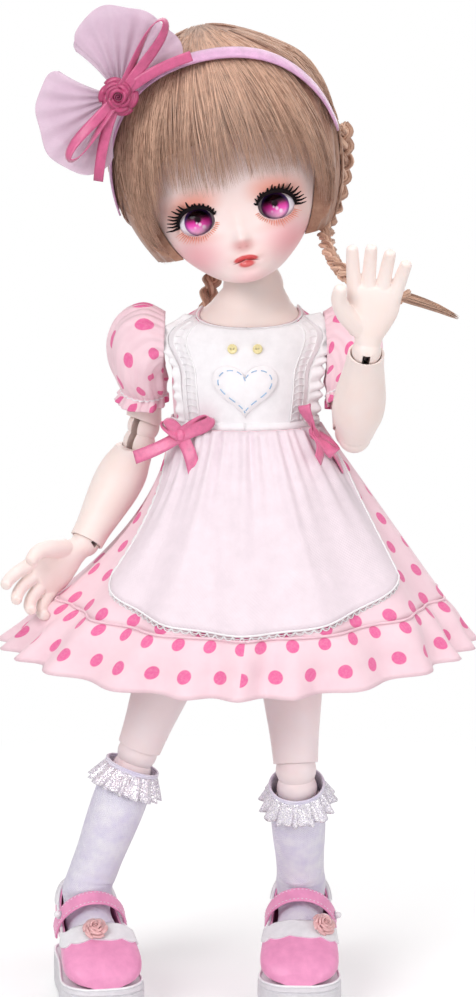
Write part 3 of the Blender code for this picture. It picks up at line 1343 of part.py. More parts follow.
def make_shoe(frames, side):
    foot = frames[side, "leg"][6]
    floor = -ANKLE_RISE
    sole = loft([[Vector((x * scale, y * scale, floor - drop * SOLE_HEIGHT)) for x, y in sole_outline()]
                 for drop, scale in SOLE_TAPER_SHARES])
    add_object(f"{side}_shoe_sole", *sole, sole_rubber(), foot)
    rows = UPPER_SHARES
    upper = add_object(f"{side}_shoe_upper", *loft([upper_ring(row, 0) for row in rows]), pink_leather(),
                       foot, 50)
    inner_rows = rows[1:-1]
    combine(upper, loft([upper_ring(row, -SHOE_WALL) for row in inner_rows]))
    outline = [(-front * FOOT_SIZE, up * FOOT_SIZE) for front, up in TOPLINE_SHARES]
    combine(upper, prism(outline, SOLE_HALF_WIDTH * 2, "X"))
    make_strap(side, foot)


def make_strap(side, foot):
    """A band over the instep whose ends lie outside the shoe's sides."""
    centre = Vector((0, -STRAP_CENTRE_SHARES[0] * FOOT_SIZE, STRAP_CENTRE_SHARES[1] * FOOT_SIZE))
    lean = STRAP_LEAN * DEG
    rise = Vector((0, -math.sin(lean), math.cos(lean)))
    along = Vector((0, math.cos(lean), math.sin(lean))) * (STRAP_WIDTH / 2)
    grids = []
    for grow in (0, STRAP_THICKNESS):
        grid = []
        for k in range(17):
            angle = STRAP_HALF_ANGLE * (2 * k / 16 - 1) * DEG
            point = centre + Vector(((STRAP_HALF_WIDTH_SHARE * FOOT_SIZE + grow) * math.sin(angle), 0, 0))
            point += rise * (STRAP_RISE_SHARE * FOOT_SIZE + grow) * math.cos(angle)
            grid.append([point - along, point + along])
        grids.append(grid)
    add_object(f"{side}_shoe_strap", *shell(*grids, False), pink_leather(), foot)


def main():
    clear_scene()
    frames = build_frames()
    make_torso(frames)
    make_strings(frames)
    make_neck_fittings(frames)
    make_head(frames)
    make_wig(frames)
    make_headband(frames)
    make_head_bows(frames)
    for side in SIDES:
        make_arm(frames, side)
        make_leg(frames, side)
        make_strands(frames, side)
        make_sleeve(frames, side)
        make_sock(frames, side)
        make_shoe(frames, side)
    make_dress(frames)
    make_apron(frames)
    return frames


if __name__ == "__main__":
    main()
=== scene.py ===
"""Models and finishes a strung resin doll, dressed and standing, on its jointed frame."""
import json
import math
import random

import bpy
from bpy.props import FloatProperty, FloatVectorProperty, IntProperty, PointerProperty
from mathutils import Matrix, Vector
from mathutils.bvhtree import BVHTree


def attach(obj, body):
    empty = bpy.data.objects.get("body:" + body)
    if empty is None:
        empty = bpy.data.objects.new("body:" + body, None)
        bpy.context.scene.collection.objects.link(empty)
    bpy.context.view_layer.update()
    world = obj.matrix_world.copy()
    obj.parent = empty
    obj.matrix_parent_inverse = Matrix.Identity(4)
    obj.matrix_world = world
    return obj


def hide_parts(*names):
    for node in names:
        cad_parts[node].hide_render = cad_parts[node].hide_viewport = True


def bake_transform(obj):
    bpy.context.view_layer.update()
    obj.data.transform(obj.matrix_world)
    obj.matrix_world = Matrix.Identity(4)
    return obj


bl_info = {
    "name": "Ball jointed doll",
    "version": (1, 0, 0),
    "blender": (4, 5, 0),
    "location": "3D View > Sidebar > Doll",
    "description": "Resin doll with glass eyes, mohair wig, dotted dress, apron, socks and strap shoes",
    "category": "Add Mesh",
}

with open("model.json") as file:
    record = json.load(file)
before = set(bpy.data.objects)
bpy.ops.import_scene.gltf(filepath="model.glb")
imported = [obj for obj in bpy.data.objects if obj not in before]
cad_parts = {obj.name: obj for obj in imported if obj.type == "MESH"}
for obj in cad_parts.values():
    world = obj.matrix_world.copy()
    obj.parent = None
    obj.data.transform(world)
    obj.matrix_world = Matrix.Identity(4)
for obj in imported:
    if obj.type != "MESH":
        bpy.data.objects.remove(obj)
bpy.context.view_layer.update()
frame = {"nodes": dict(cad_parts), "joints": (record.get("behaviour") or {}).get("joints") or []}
MM = 0.001
SIDES = {"right": -1, "left": 1}
# A ball's rows stop just short of its poles, so that its end faces have an area
BALL_POLE = 89.9
# The direction of each hand's fingers
HAND_FINGERS = {"right": (-0.75, -0.36, -0.55), "left": (0.12, -0.13, 0.98)}


def linear(code):
    """An sRGB hex colour as linear numbers."""
    levels = [int(code[k:k + 2], 16) / 255 for k in (1, 3, 5)]
    return tuple(v / 12.92 if v <= 0.04045 else ((v + 0.055) / 1.055) ** 2.4 for v in levels)


# Sizes and colours that a maker would change
class DollBodySettings(bpy.types.PropertyGroup):
    skin: FloatVectorProperty(
        name="Resin", description="Colour of the cast resin", subtype="COLOR", default=linear("#F2E3DE"))
    blush: FloatVectorProperty(
        name="Blush", description="Pastel rubbed on the cheeks", subtype="COLOR", default=linear("#EB8C9C"))
    lips: FloatVectorProperty(
        name="Lips", description="Paint of the mouth", subtype="COLOR", default=linear("#CE3B3E"))
    iris: FloatVectorProperty(
        name="Iris", description="Bright part of the iris", subtype="COLOR", default=linear("#F555B4"))
    lash_length: FloatProperty(
        name="Upper lashes", description="Length of the longest upper lash", subtype="DISTANCE",
        default=4.2 * MM)


class DollHairSettings(bpy.types.PropertyGroup):
    light: FloatVectorProperty(
        name="Light mohair", description="Lightest locks", subtype="COLOR", default=linear("#DCB49C"))
    dark: FloatVectorProperty(
        name="Dark mohair", description="Darkest locks", subtype="COLOR", default=linear("#9A6F5B"))
    strands: IntProperty(name="Strands", description="Strands over the wig's cap", default=3600, min=200,
                         max=5000)
    strand_width: FloatProperty(
        name="Strand", description="Thickness of one lock of fibres", subtype="DISTANCE", default=0.27 * MM)


class DollDressSettings(bpy.types.PropertyGroup):
    cotton: FloatVectorProperty(
        name="Cotton", description="Ground of the dress cloth", subtype="COLOR", default=linear("#F5D6DE"))
    dots: FloatVectorProperty(
        name="Dots", description="Printed dots", subtype="COLOR", default=linear("#E8689E"))
    dot_width: FloatProperty(name="Dot", description="Width of one dot", subtype="DISTANCE",
                             default=4.2 * MM)
    dot_spacing: FloatProperty(
        name="Dot spacing", description="From dot to dot along a row", subtype="DISTANCE",
        default=10.6 * MM)
    apron: FloatVectorProperty(
        name="Apron", description="White voile of the apron", subtype="COLOR", default=linear("#F6E6EE"))
    satin: FloatVectorProperty(
        name="Waist satin", description="Ribbon of the waist bows", subtype="COLOR",
        default=linear("#EC78A4"))


class DollShoeSettings(bpy.types.PropertyGroup):
    leather: FloatVectorProperty(
        name="Leather", description="Pink of the toe caps and straps", subtype="COLOR",
        default=linear("#E994BE"))
    sole: FloatVectorProperty(
        name="Sole", description="Platform sole", subtype="COLOR", default=linear("#E4E1E6"))
    sock: FloatVectorProperty(name="Sock", description="Knit sock", subtype="COLOR",
                              default=linear("#F0EDF5"))


# Objects
def deselect():
    bpy.ops.object.select_all(action="DESELECT")


def pick(item):
    """Makes one object the selected and active one."""
    deselect()
    item.select_set(True)
    bpy.context.view_layer.objects.active = item


def piece(name, points, faces, look, uvs=None, sharp=None):
    """A new mesh object in metres; uvs hold one pair for each corner of each face."""
    mesh = bpy.data.meshes.new(name)
    mesh.from_pydata([tuple(point) for point in points], [], faces)
    if uvs:
        layer = mesh.uv_layers.new(name="cloth")
        for loop, pair in zip(layer.data, uvs):
            loop.uv = pair
    mesh.materials.append(look)
    item = bpy.data.objects.new(name, mesh)
    bpy.context.collection.objects.link(item)
    pick(item)
    bpy.ops.object.shade_smooth()
    if sharp:
        bpy.ops.object.shade_smooth_by_angle(angle=math.radians(sharp))
    return item


def change(item, kind, **settings):
    """Adds a modifier, sets it and applies it."""
    pick(item)
    bpy.ops.object.modifier_add(type=kind)
    made = item.modifiers[-1]
    for key, value in settings.items():
        setattr(made, key, value)
    if kind == "SUBSURF":
        made.render_levels = made.levels
    bpy.ops.object.modifier_apply(modifier=made.name)
    return item


def outward(item):
    """Turns every face of a closed mesh outward."""
    pick(item)
    bpy.ops.object.mode_set(mode="EDIT")
    bpy.ops.mesh.select_all(action="SELECT")
    bpy.ops.mesh.remove_doubles(threshold=1e-6)
    bpy.ops.mesh.normals_make_consistent(inside=False)
    bpy.ops.object.mode_set(mode="OBJECT")


def cut(item, tool, operation="DIFFERENCE"):
    """Cuts a tool object out of an item, or joins it on, and deletes the tool."""
    change(item, "BOOLEAN", operation=operation, solver="EXACT", object=tool)
    bpy.data.objects.remove(tool, do_unlink=True)
    look = item.data.materials[0]
    item.data.materials.clear()
    item.data.materials.append(look)


def joined(name, items):
    pick(items[0])
    for item in items[1:]:
        item.select_set(True)
    bpy.ops.object.join()
    items[0].name = name
    return items[0]


def place(item, body, *nodes, slot=None):
    """The piece rides on a body and stands for the nodes, which it hides; the slot is not used."""
    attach(item, body)
    if nodes:
        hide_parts(*nodes)
    return item


# Shapes from formulas
def between(near, t):
    """The place at a share t between the middle two of four numbers, on a smooth curve through them."""
    a, b, c, d = near
    return 0.5 * (2 * b + (c - a) * t + (2 * a - 5 * b + 4 * c - d) * t * t + (3 * b - a - 3 * c + d)
                  * t ** 3)


def catmull(table, steps):
    """The rows of a table with smooth rows between them."""
    rows = []
    last = len(table) - 1
    for k in range(last):
        near = (table[max(k - 1, 0)], table[k], table[k + 1], table[min(k + 2, last)])
        for step in range(steps):
            t = step / steps
            rows.append(tuple(between(numbers, t) for numbers in zip(*near)))
    rows.append(tuple(table[last]))
    return rows


def curve_through(points, steps):
    return [Vector(row) for row in catmull([tuple(point) for point in points], steps)]


def ring(z, half_width, half_depth, sides, y=0.0):
    return [Vector((half_width * math.sin(math.tau * k / sides),
                    y - half_depth * math.cos(math.tau * k / sides), z))
            for k in range(sides)]


def ball_rings(radius, start, end, count, sides, z=0.0):
    rings = []
    for k in range(count + 1):
        latitude = math.radians(start + (end - start) * k / count)
        rings.append(ring(z + radius * math.sin(latitude), radius * max(math.cos(latitude), 1e-4),
                          radius * max(math.cos(latitude), 1e-4), sides))
    return rings


def loft(rings):
    """A closed skin over rings with equal numbers of points, capped at both ends."""
    count = len(rings[0])
    points = [point for line in rings for point in line]
    faces = [(r * count + k, r * count + (k + 1) % count, (r + 1) * count + (k + 1) % count,
              (r + 1) * count + k)
             for r in range(len(rings) - 1) for k in range(count)]
    faces.append(tuple(range(count - 1, -1, -1)))
    faces.append(tuple(range(len(points) - count, len(points))))
    return points, faces


def lofted(name, rings, look, turn=Matrix(), sharp=None):
    points, faces = loft(rings)
    item = piece(name, [turn @ point for point in points], faces, look, sharp=sharp)
    outward(item)
    return item


def sheet_piece(name, grid, look, size, closed=False, thickness=0.4 * MM, sharp=None, shift=(0, 0)):
    """A sheet over a grid of points, with a UV map in millimetres of cloth, given a thickness."""
    rows = len(grid)
    columns = len(grid[0])
    steps = columns if closed else columns - 1
    faces = []
    uvs = []
    down = [0.0]
    for first, second in zip(grid, grid[1:]):
        down.append(down[-1] + sum((b - a).length for a, b in zip(first, second)))
    for r in range(rows - 1):
        for c in range(steps):
            for i, j in ((r, c), (r, c + 1), (r + 1, c + 1), (r + 1, c)):
                uvs.append((shift[0] + size[0] * j / steps, shift[1] - size[1] * down[i] / down[-1]))
            faces.append((r * columns + c, r * columns + (c + 1) % columns,
                          (r + 1) * columns + (c + 1) % columns, (r + 1) * columns + c))
    points = [point for line in grid for point in line]
    item = piece(name, points, faces, look, uvs)
    if thickness:
        change(item, "SOLIDIFY", thickness=thickness, offset=0)
    if sharp:
        pick(item)
        bpy.ops.object.shade_smooth_by_angle(angle=math.radians(sharp))
    return item


class Bundle:
    """Many small tubes, ribbons and shapes gathered in one mesh."""

    def __init__(self):
        self.points = []
        self.faces = []
        self.uvs = []

    def add(self, points, faces, uvs):
        start = len(self.points)
        self.points.extend(points)
        self.faces.extend(tuple(start + k for k in face) for face in faces)
        self.uvs.extend(uvs)

    def tube(self, path, radii, sides=3, tone=0.0, flat=1.0):
        """A tube with pointed ends along a path; its UV holds the way along and the tone."""
        rings = []
        side = None
        last = len(path) - 1
        for k, point in enumerate(path):
            along = (path[min(k + 1, last)] - path[max(k - 1, 0)]).normalized()
            side = (along.orthogonal() if side is None else side - along * side.dot(along)).normalized()
            other = along.cross(side)
            radius = radii[k] if isinstance(radii, (list, tuple)) else radii
            rings.append([point + side * (radius * math.cos(math.tau * n / sides))
                          + other * (radius * flat * math.sin(math.tau * n / sides)) for n in range(sides)])
        uvs = []
        for r in range(last):
            here, beyond = (r / last, tone), ((r + 1) / last, tone)
            uvs += [here, here, beyond, beyond] * sides
        self.add(*loft(rings), uvs + [(0.0, tone)] * (2 * sides))

    def solid(self, rings):
        """A closed skin over rings, all of one tone."""
        points, faces = loft(rings)
        self.add(points, faces, [(0.0, 0.0)] * sum(len(face) for face in faces))

    def ribbon(self, path, across, width, curl=0.0):
        """A flat band along a path, cupped a little when curl isn't zero."""
        points = []
        last = len(path) - 1
        for k, point in enumerate(path):
            along = (path[min(k + 1, last)] - path[max(k - 1, 0)]).normalized()
            wide = (across - along * across.dot(along)).normalized()
            lift = along.cross(wide) * (curl * width / 2)
            points += [point - wide * width / 2, point + lift, point + wide * width / 2]
        faces = []
        uvs = []
        for r in range(last):
            for c in range(2):
                faces.append((3 * r + c, 3 * r + c + 1, 3 * r + c + 4, 3 * r + c + 3))
                uvs += [(u / 2, v / last) for u, v in ((c, r), (c + 1, r), (c + 1, r + 1), (c, r + 1))]
        self.add(points, faces, uvs)

    def make(self, name, look, thickness=0.0):
        item = piece(name, self.points, self.faces, look, self.uvs)
        if thickness:
            change(item, "SOLIDIFY", thickness=thickness, offset=0)
        return item


# Frames of the moving pieces, read from the joints
JOINTS = {joint["name"]: joint for joint in frame["joints"]}


def joint_place(name):
    return Vector(JOINTS[name]["pos_m"])


def joint_axis(name, sign=1):
    return Vector(JOINTS[name]["axis"]).normalized() * sign


def axes_frame(origin, x, z):
    """A frame at an origin with its X axis near x and its Z axis along z, in metres."""
    z = z.normalized()
    x = (x - z * x.dot(z)).normalized()
    turn = Matrix((x, z.cross(x), z)).transposed().to_4x4()
    return Matrix.Translation(origin) @ turn


def head_frame():
    x = joint_axis("neck_nod", -1)
    return axes_frame(joint_place("neck_nod"), x, x.cross(joint_axis("neck_tilt", -1)))


def arm_frames(side):
    """Frames of the upper arm, the elbow ball, the forearm and the hand, each hanging down from its joint."""
    sign = SIDES[side]
    upper = axes_frame(joint_place(f"{side}_shoulder_twist"), joint_axis(f"{side}_elbow_upper", -1),
                       joint_axis(f"{side}_shoulder_twist", sign))
    elbow = axes_frame(joint_place(f"{side}_elbow_upper"), joint_axis(f"{side}_elbow_upper", -1),
                       joint_place(f"{side}_elbow_upper") - joint_place(f"{side}_elbow_lower"))
    fore = axes_frame(joint_place(f"{side}_elbow_lower"), joint_axis(f"{side}_elbow_lower", -1),
                      joint_axis(f"{side}_wrist_twist", sign))
    up = -Vector(HAND_FINGERS[side]).normalized()
    hand = axes_frame(joint_place(f"{side}_wrist_bend"), joint_axis(f"{side}_wrist_bend", -1), up)
    return upper, elbow, fore, hand


def leg_frames(side):
    """Frames of the thigh, the knee ball, the shin and the foot."""
    sign = SIDES[side]
    thigh = axes_frame(joint_place(f"{side}_hip_twist"), joint_axis(f"{side}_knee_upper"),
                       joint_axis(f"{side}_hip_twist", sign))
    knee = axes_frame(joint_place(f"{side}_knee_upper"), joint_axis(f"{side}_knee_upper"),
                      joint_place(f"{side}_knee_upper") - joint_place(f"{side}_knee_lower"))
    shin = axes_frame(joint_place(f"{side}_knee_lower"), joint_axis(f"{side}_knee_lower"),
                      joint_axis(f"{side}_ankle_twist", sign))
    foot = axes_frame(joint_place(f"{side}_ankle_bend"), joint_axis(f"{side}_ankle_bend", -1),
                      Vector((0, 0, 1)))
    return thigh, knee, shin, foot


def torso_frame():
    middle = (joint_place("right_hip_spread") + joint_place("left_hip_spread")) / 2
    return Matrix.Translation(middle)


# The least width and length worked out for a sheet of cloth. A sheet is declared at least this
# wide and long, and this much of its flat rectangle is cloth
LEAST_SHEET = 10.1 * MM


def dims(grid, closed=False):
    """Width of the longest row, mean length of the columns and area of a grid of cloth."""
    columns = len(grid[0])
    steps = columns if closed else columns - 1
    width = max(sum((row[(c + 1) % columns] - row[c]).length for c in range(steps)) for row in grid)
    length = sum((second[c] - first[c]).length for first,
                 second in zip(grid, grid[1:]) for c in range(columns))
    length /= columns
    area = 0.0
    for first, second in zip(grid, grid[1:]):
        for c in range(steps):
            d = (c + 1) % columns
            area += (first[d] - first[c]).cross(second[c] - first[c]).length / 2
            area += (second[d] - second[c]).cross(second[d] - first[d]).length / 2
    return width, length, area


def declare(grid, closed=False):
    """Works out a sheet's width and length from its grid; the sizes are not used further."""
    width, length, area = dims(grid, closed)
    width = max(width, LEAST_SHEET)
    length = max(length, LEAST_SHEET, area / width)


# Materials
def node(tree, kind, inputs=None, links=None, **settings):
    """Adds a node, sets its values and links what feeds it."""
    made = tree.nodes.new(f"ShaderNode{kind}")
    for key, value in settings.items():
        setattr(made, key, value)
    for key, value in (inputs or {}).items():
        made.inputs[key].default_value = value
    for key, socket in (links or {}).items():
        tree.links.new(socket, made.inputs[key])
    return made


def math_node(tree, operation, first, second=None, third=None):
    made = node(tree, "Math", operation=operation)
    for slot, value in enumerate((first, second, third)):
        if value is None:
            continue
        if isinstance(value, (int, float)):
            made.inputs[slot].default_value = value
        else:
            tree.links.new(value, made.inputs[slot])
    return made.outputs[0]


def ramp(tree, socket, *stops):
    """A colour ramp; stops hold a place and a grey level or an sRGB hex code."""
    made = node(tree, "ValToRGB", links={"Fac": socket})
    band = made.color_ramp
    while len(band.elements) < len(stops):
        band.elements.new(0.5)
    for element, (place_along, level) in zip(band.elements, stops):
        element.position = place_along
        element.color = (*linear(level), 1) if isinstance(level, str) else (level, level, level, 1)
    return made.outputs["Color"]


def mix(tree, factor, first, second, blend="MIX"):
    made = node(tree, "Mix", data_type="RGBA", blend_type=blend)
    for slot, value in ((0, factor), (6, first), (7, second)):
        if isinstance(value, (int, float)):
            made.inputs[slot].default_value = value
        elif isinstance(value, tuple):
            made.inputs[slot].default_value = (*value[:3], 1)
        else:
            tree.links.new(value, made.inputs[slot])
    return made.outputs[2]


def noise(tree, coords, scale, detail=3.0, roughness=0.6):
    return node(tree, "TexNoise", {"Scale": scale, "Detail": detail, "Roughness": roughness},
                {"Vector": coords}).outputs["Fac"]


def bump(tree, height, strength, distance):
    return node(tree, "Bump", {"Strength": strength, "Distance": distance},
                {"Height": height}).outputs["Normal"]


def material(name):
    """A new material with its shader and coordinates, the object's own in millimetres and the cloth's."""
    made = bpy.data.materials.new(name)
    made.use_nodes = True
    tree = made.node_tree
    shader = tree.nodes["Principled BSDF"]
    texture = node(tree, "TexCoord")
    scaled = node(tree, "Mapping", {"Scale": (1 / MM, 1 / MM, 1 / MM)},
                  {"Vector": texture.outputs["Object"]})
    return made, tree, shader, scaled.outputs["Vector"], texture.outputs["UV"]


def set_shader(shader, **values):
    for key, value in values.items():
        shader.inputs[key.replace("_", " ")].default_value = value


def shade(code):
    """A colour given as an sRGB hex code or as a setting, in linear numbers."""
    return linear(code) if isinstance(code, str) else tuple(code)


def dimmed(colour, share):
    return tuple(v * share for v in colour)


def clouded(tree, shader, cloud, first, second, start=0.3, end=0.75):
    """Colours the shader with a slow cloud between two colours."""
    factor = ramp(tree, cloud, (start, 0.0), (end, 1.0))
    tree.links.new(mix(tree, factor, first, second), shader.inputs["Base Color"])


def in_frame(tree, turn):
    """The object's coordinates seen from a frame, in millimetres."""
    texture = node(tree, "TexCoord")
    values = {"Location": turn.to_translation(), "Rotation": turn.to_euler(), "Scale": (MM, MM, MM)}
    mapped = node(tree, "Mapping", values, {"Vector": texture.outputs["Object"]}, vector_type="TEXTURE")
    return mapped.outputs["Vector"]


def spot(tree, local, centre, radii, turn=0.0, edge=0.5):
    """A soft oval patch of one at a place seen from the front; edge is the share of it that fades."""
    mapped = node(tree, "Mapping", {"Location": (centre[0], 0, centre[1]),
                                    "Rotation": (0, math.radians(turn), 0),
                                    "Scale": (radii[0], 60, radii[1])}, {"Vector": local},
                                    vector_type="TEXTURE")
    reach = node(tree, "VectorMath", links={0: mapped.outputs["Vector"]},
                 operation="LENGTH").outputs["Value"]
    span = node(tree, "MapRange", {"From Min": 1.0 + edge, "From Max": 1.0 - edge}, {"Value": reach},
                interpolation_type="SMOOTHSTEP")
    return span.outputs["Result"]


def dots(tree, cloth, width, spacing):
    """Staggered round dots on cloth coordinates in millimetres."""
    parts = node(tree, "SeparateXYZ", links={"Vector": cloth})
    rows = math_node(tree, "DIVIDE", parts.outputs["Y"], spacing * 0.866)
    row = math_node(tree, "FLOOR", rows)
    odd = math_node(tree, "PINGPONG", row, 1.0)
    along = math_node(tree, "DIVIDE", parts.outputs["X"], spacing)
    along = math_node(tree, "MULTIPLY_ADD", odd, 0.5, along)
    across = math_node(tree, "SUBTRACT", math_node(tree, "FRACT", along), 0.5)
    up = math_node(tree, "MULTIPLY", math_node(tree, "SUBTRACT", math_node(tree, "FRACT", rows), 0.5),
                   0.866)
    squared = math_node(tree, "MULTIPLY_ADD", up, up, math_node(tree, "MULTIPLY", across, across))
    reach = math_node(tree, "MULTIPLY", math_node(tree, "SQRT", squared), spacing)
    span = node(tree, "MapRange", {"From Min": width / 2 + 0.12, "From Max": width / 2 - 0.12},
                {"Value": reach})
    return span.outputs["Result"]


def weave(tree, cloth, threads):
    """Height of a plain weave, so many threads to the millimetre."""
    scaled = node(tree, "Mapping", {"Scale": (threads, threads, threads)}, {"Vector": cloth})
    parts = node(tree, "SeparateXYZ", links={"Vector": scaled.outputs["Vector"]})
    first = math_node(tree, "SINE", math_node(tree, "MULTIPLY", parts.outputs["X"], math.tau))
    second = math_node(tree, "SINE", math_node(tree, "MULTIPLY", parts.outputs["Y"], math.tau))
    return math_node(tree, "MULTIPLY", first, second)


def resin_look(name, tint=None):
    """Cast resin with a matt sealed skin, a little cloudy."""
    settings = bpy.context.scene.doll_body
    made, tree, shader, coords, _ = material(name)
    skin = tuple(settings.skin) if tint is None else linear(tint)
    warm = tuple(a * b for a, b in zip(skin, (1.0, 0.955, 0.94)))
    clouded(tree, shader, noise(tree, coords, 0.09, 2), skin, warm, 0.35, 0.7)
    tree.links.new(ramp(tree, noise(tree, coords, 0.6, 2), (0.3, 0.4), (0.8, 0.52)),
                   shader.inputs["Roughness"])
    tree.links.new(bump(tree, noise(tree, coords, 9, 2), 0.05, 0.05 * MM), shader.inputs["Normal"])
    set_shader(shader, Subsurface_Weight=0.08, Subsurface_Radius=(0.9 * MM, 0.45 * MM, 0.3 * MM),
               Subsurface_Scale=1.0, Specular_IOR_Level=0.4)
    return made


def face_look():
    """The same resin with pastel blush and a painted mouth, placed in the head's own frame."""
    settings = bpy.context.scene.doll_body
    made = resin_look("painted face resin", "#F4E0DE")
    tree = made.node_tree
    shader = tree.nodes["Principled BSDF"]
    local = in_frame(tree, head_frame())
    base = shader.inputs["Base Color"].links[0].from_socket
    blush = tuple(settings.blush)
    lips = tuple(settings.lips)
    patches = [
        ((13.5, 13.8), (6.6, 5.2), 0, 0.85, 0.62, blush), ((-13.5, 13.8), (6.6, 5.2), 0, 0.85, 0.62, blush),
        ((11.8, 28.6), (6.8, 3.6), 8, 0.7, 0.85, linear("#E58C76")),
        ((-11.8, 28.6), (6.8, 3.6), -8, 0.7, 0.85, linear("#E58C76")),
        ((17.2, 24.0), (2.6, 3.2), 20, 0.9, 0.5, linear("#E5907C")),
        ((-17.2, 24.0), (2.6, 3.2), -20, 0.9, 0.5, linear("#E5907C")),
        ((11.8, 19.0), (5.6, 1.4), -6, 0.9, 0.35, linear("#E59A8E")),
        ((-11.8, 19.0), (5.6, 1.4), 6, 0.9, 0.35, linear("#E59A8E")),
        ((0, 15.0), (2.3, 1.3), 0, 0.9, 0.5, linear("#DB8B88")),
        ((0.0, 14.9), (3.2, 1.5), 0, 0.9, 0.5, linear("#E58F8F")),
        ((1.0, 14.4), (0.5, 0.3), 0, 0.9, 0.3, linear("#B8605C")),
        ((-1.0, 14.4), (0.5, 0.3), 0, 0.9, 0.3, linear("#B8605C")),
        ((0, 5.4), (4.4, 2.2), 0, 0.9, 0.35, blush),
        ((0, 10.4), (4.6, 2.5), 0, 0.7, 0.25, lips),
        ((1.55, 11.0), (2.2, 0.86), 14, 0.22, 0.95, lips),
        ((-1.55, 11.0), (2.2, 0.86), -14, 0.22, 0.95, lips),
        ((0, 9.5), (2.5, 1.15), 0, 0.25, 0.95, lips),
        ((0, 9.35), (1.4, 0.5), 0, 0.9, 0.4, linear("#EE8C88")),
        ((1.7, 10.3), (2.0, 0.22), 12, 0.45, 0.95, linear("#7E1C20")),
        ((-1.7, 10.3), (2.0, 0.22), -12, 0.45, 0.95, linear("#7E1C20")),
    ]
    for centre, radii, turn, edge, strength, colour in patches:
        amount = math_node(tree, "MULTIPLY", spot(tree, local, centre, radii, turn, edge), strength)
        base = mix(tree, amount, base, colour)
    tree.links.new(base, shader.inputs["Base Color"])
    lip = spot(tree, local, (0, 10.3), (3.2, 1.6), 0, 0.3)
    rough = shader.inputs["Roughness"].links[0].from_socket
    tree.links.new(mix(tree, lip, rough, (0.24, 0.24, 0.24)), shader.inputs["Roughness"])
    return made


def eye_look(side):
    """Glass eye: a white with a ringed iris, bright at its foot and darker toward its top, darkened further there
    by painted shade of the lid, with painted glints.
    """
    settings = bpy.context.scene.doll_body
    made, tree, shader, *_ = material(f"glass eye {side}")
    centre = head_frame() @ Matrix.Translation((SIDES[side] * EYE_SIDE, EYE_DEPTH, EYE_RISE))
    local = in_frame(tree, centre)
    parts = node(tree, "SeparateXYZ", links={"Vector": local})
    x = math_node(tree, "SUBTRACT", parts.outputs["X"], -SIDES[side] * 0.35)
    z = math_node(tree, "SUBTRACT", parts.outputs["Z"], -0.1)
    reach = math_node(tree, "SQRT", math_node(tree, "MULTIPLY_ADD", x, x,
                                              math_node(tree, "MULTIPLY", z, z)))
    height = node(tree, "MapRange", {"From Min": -3.9, "From Max": 3.5}, {"Value": z}).outputs["Result"]
    angle = math_node(tree, "ARCTAN2", x, z)
    streaks = node(tree, "CombineXYZ", {"Z": 0.0}, {
        "X": math_node(tree, "MULTIPLY", angle, 9.0), "Y": math_node(tree, "MULTIPLY", reach, 0.35)})
    fibre = noise(tree, streaks.outputs["Vector"], 2.2, 3)
    bright = tuple(settings.iris)
    iris = ramp(tree, height, (0.0, "#F8E8F8"), (0.24, "#F9B2E8"), (0.4, "#F45CC4"), (0.54, "#C8248A"),
                (0.68, "#5A1238"), (0.84, "#14040A"))
    iris = mix(tree, math_node(tree, "MULTIPLY", ramp(tree, fibre, (0.35, 0.0), (0.75, 1.0)), 0.35), iris,
               bright)
    # The iris is printed darker toward its top; this darkens its upper part further, as painted shade of the lid
    # and lashes.
    top = node(tree, "MapRange", {"From Min": 0.2, "From Max": 1.8}, {"Value": z}).outputs["Result"]
    iris = mix(tree, top, iris, linear("#12040A"))
    rim = node(tree, "MapRange", {"From Min": 3.1, "From Max": 3.9}, {"Value": reach}).outputs["Result"]
    iris = mix(tree, math_node(tree, "MULTIPLY", rim, 0.75), iris, linear("#4A2F6E"))
    pupil_z = math_node(tree, "SUBTRACT", z, 0.7)
    pupil = math_node(tree, "SQRT", math_node(tree, "MULTIPLY_ADD", x, x,
                                              math_node(tree, "MULTIPLY", pupil_z, pupil_z)))
    pupil = node(tree, "MapRange", {"From Min": 1.3, "From Max": 0.7}, {"Value": pupil}).outputs["Result"]
    iris = mix(tree, pupil, iris, linear("#1C0410"))
    # Painted glints: four pale spots on the iris stand in for highlights of the lamps on the glass.
    for middle, radius, amount in (((0.35, -0.75), 0.42, 0.85), ((-0.5, -0.2), 0.26, 0.7),
                                   ((1.35, -1.75), 0.5, 0.9),
                                   ((-1.2, -1.5), 0.3, 0.5)):
        painted_glint = spot(tree, node(tree, "CombineXYZ", links={"X": x, "Z": z}).outputs["Vector"], middle,
                     (radius, radius * 1.2), 0, 0.6)
        iris = mix(tree, math_node(tree, "MULTIPLY", painted_glint, amount), iris, linear("#FBE9FA"))
    white = mix(tree, ramp(tree, noise(tree, local, 0.5, 3), (0.4, 0.0), (0.8, 0.6)), linear("#EEE8F0"),
                linear("#DCCBDA"))
    edge = node(tree, "MapRange", {"From Min": 3.95, "From Max": 4.15}, {"Value": reach}).outputs["Result"]
    tree.links.new(mix(tree, edge, iris, white), shader.inputs["Base Color"])
    set_shader(shader, Roughness=0.2, Coat_Weight=0.12, Coat_Roughness=0.03, Specular_IOR_Level=0.1)
    return made


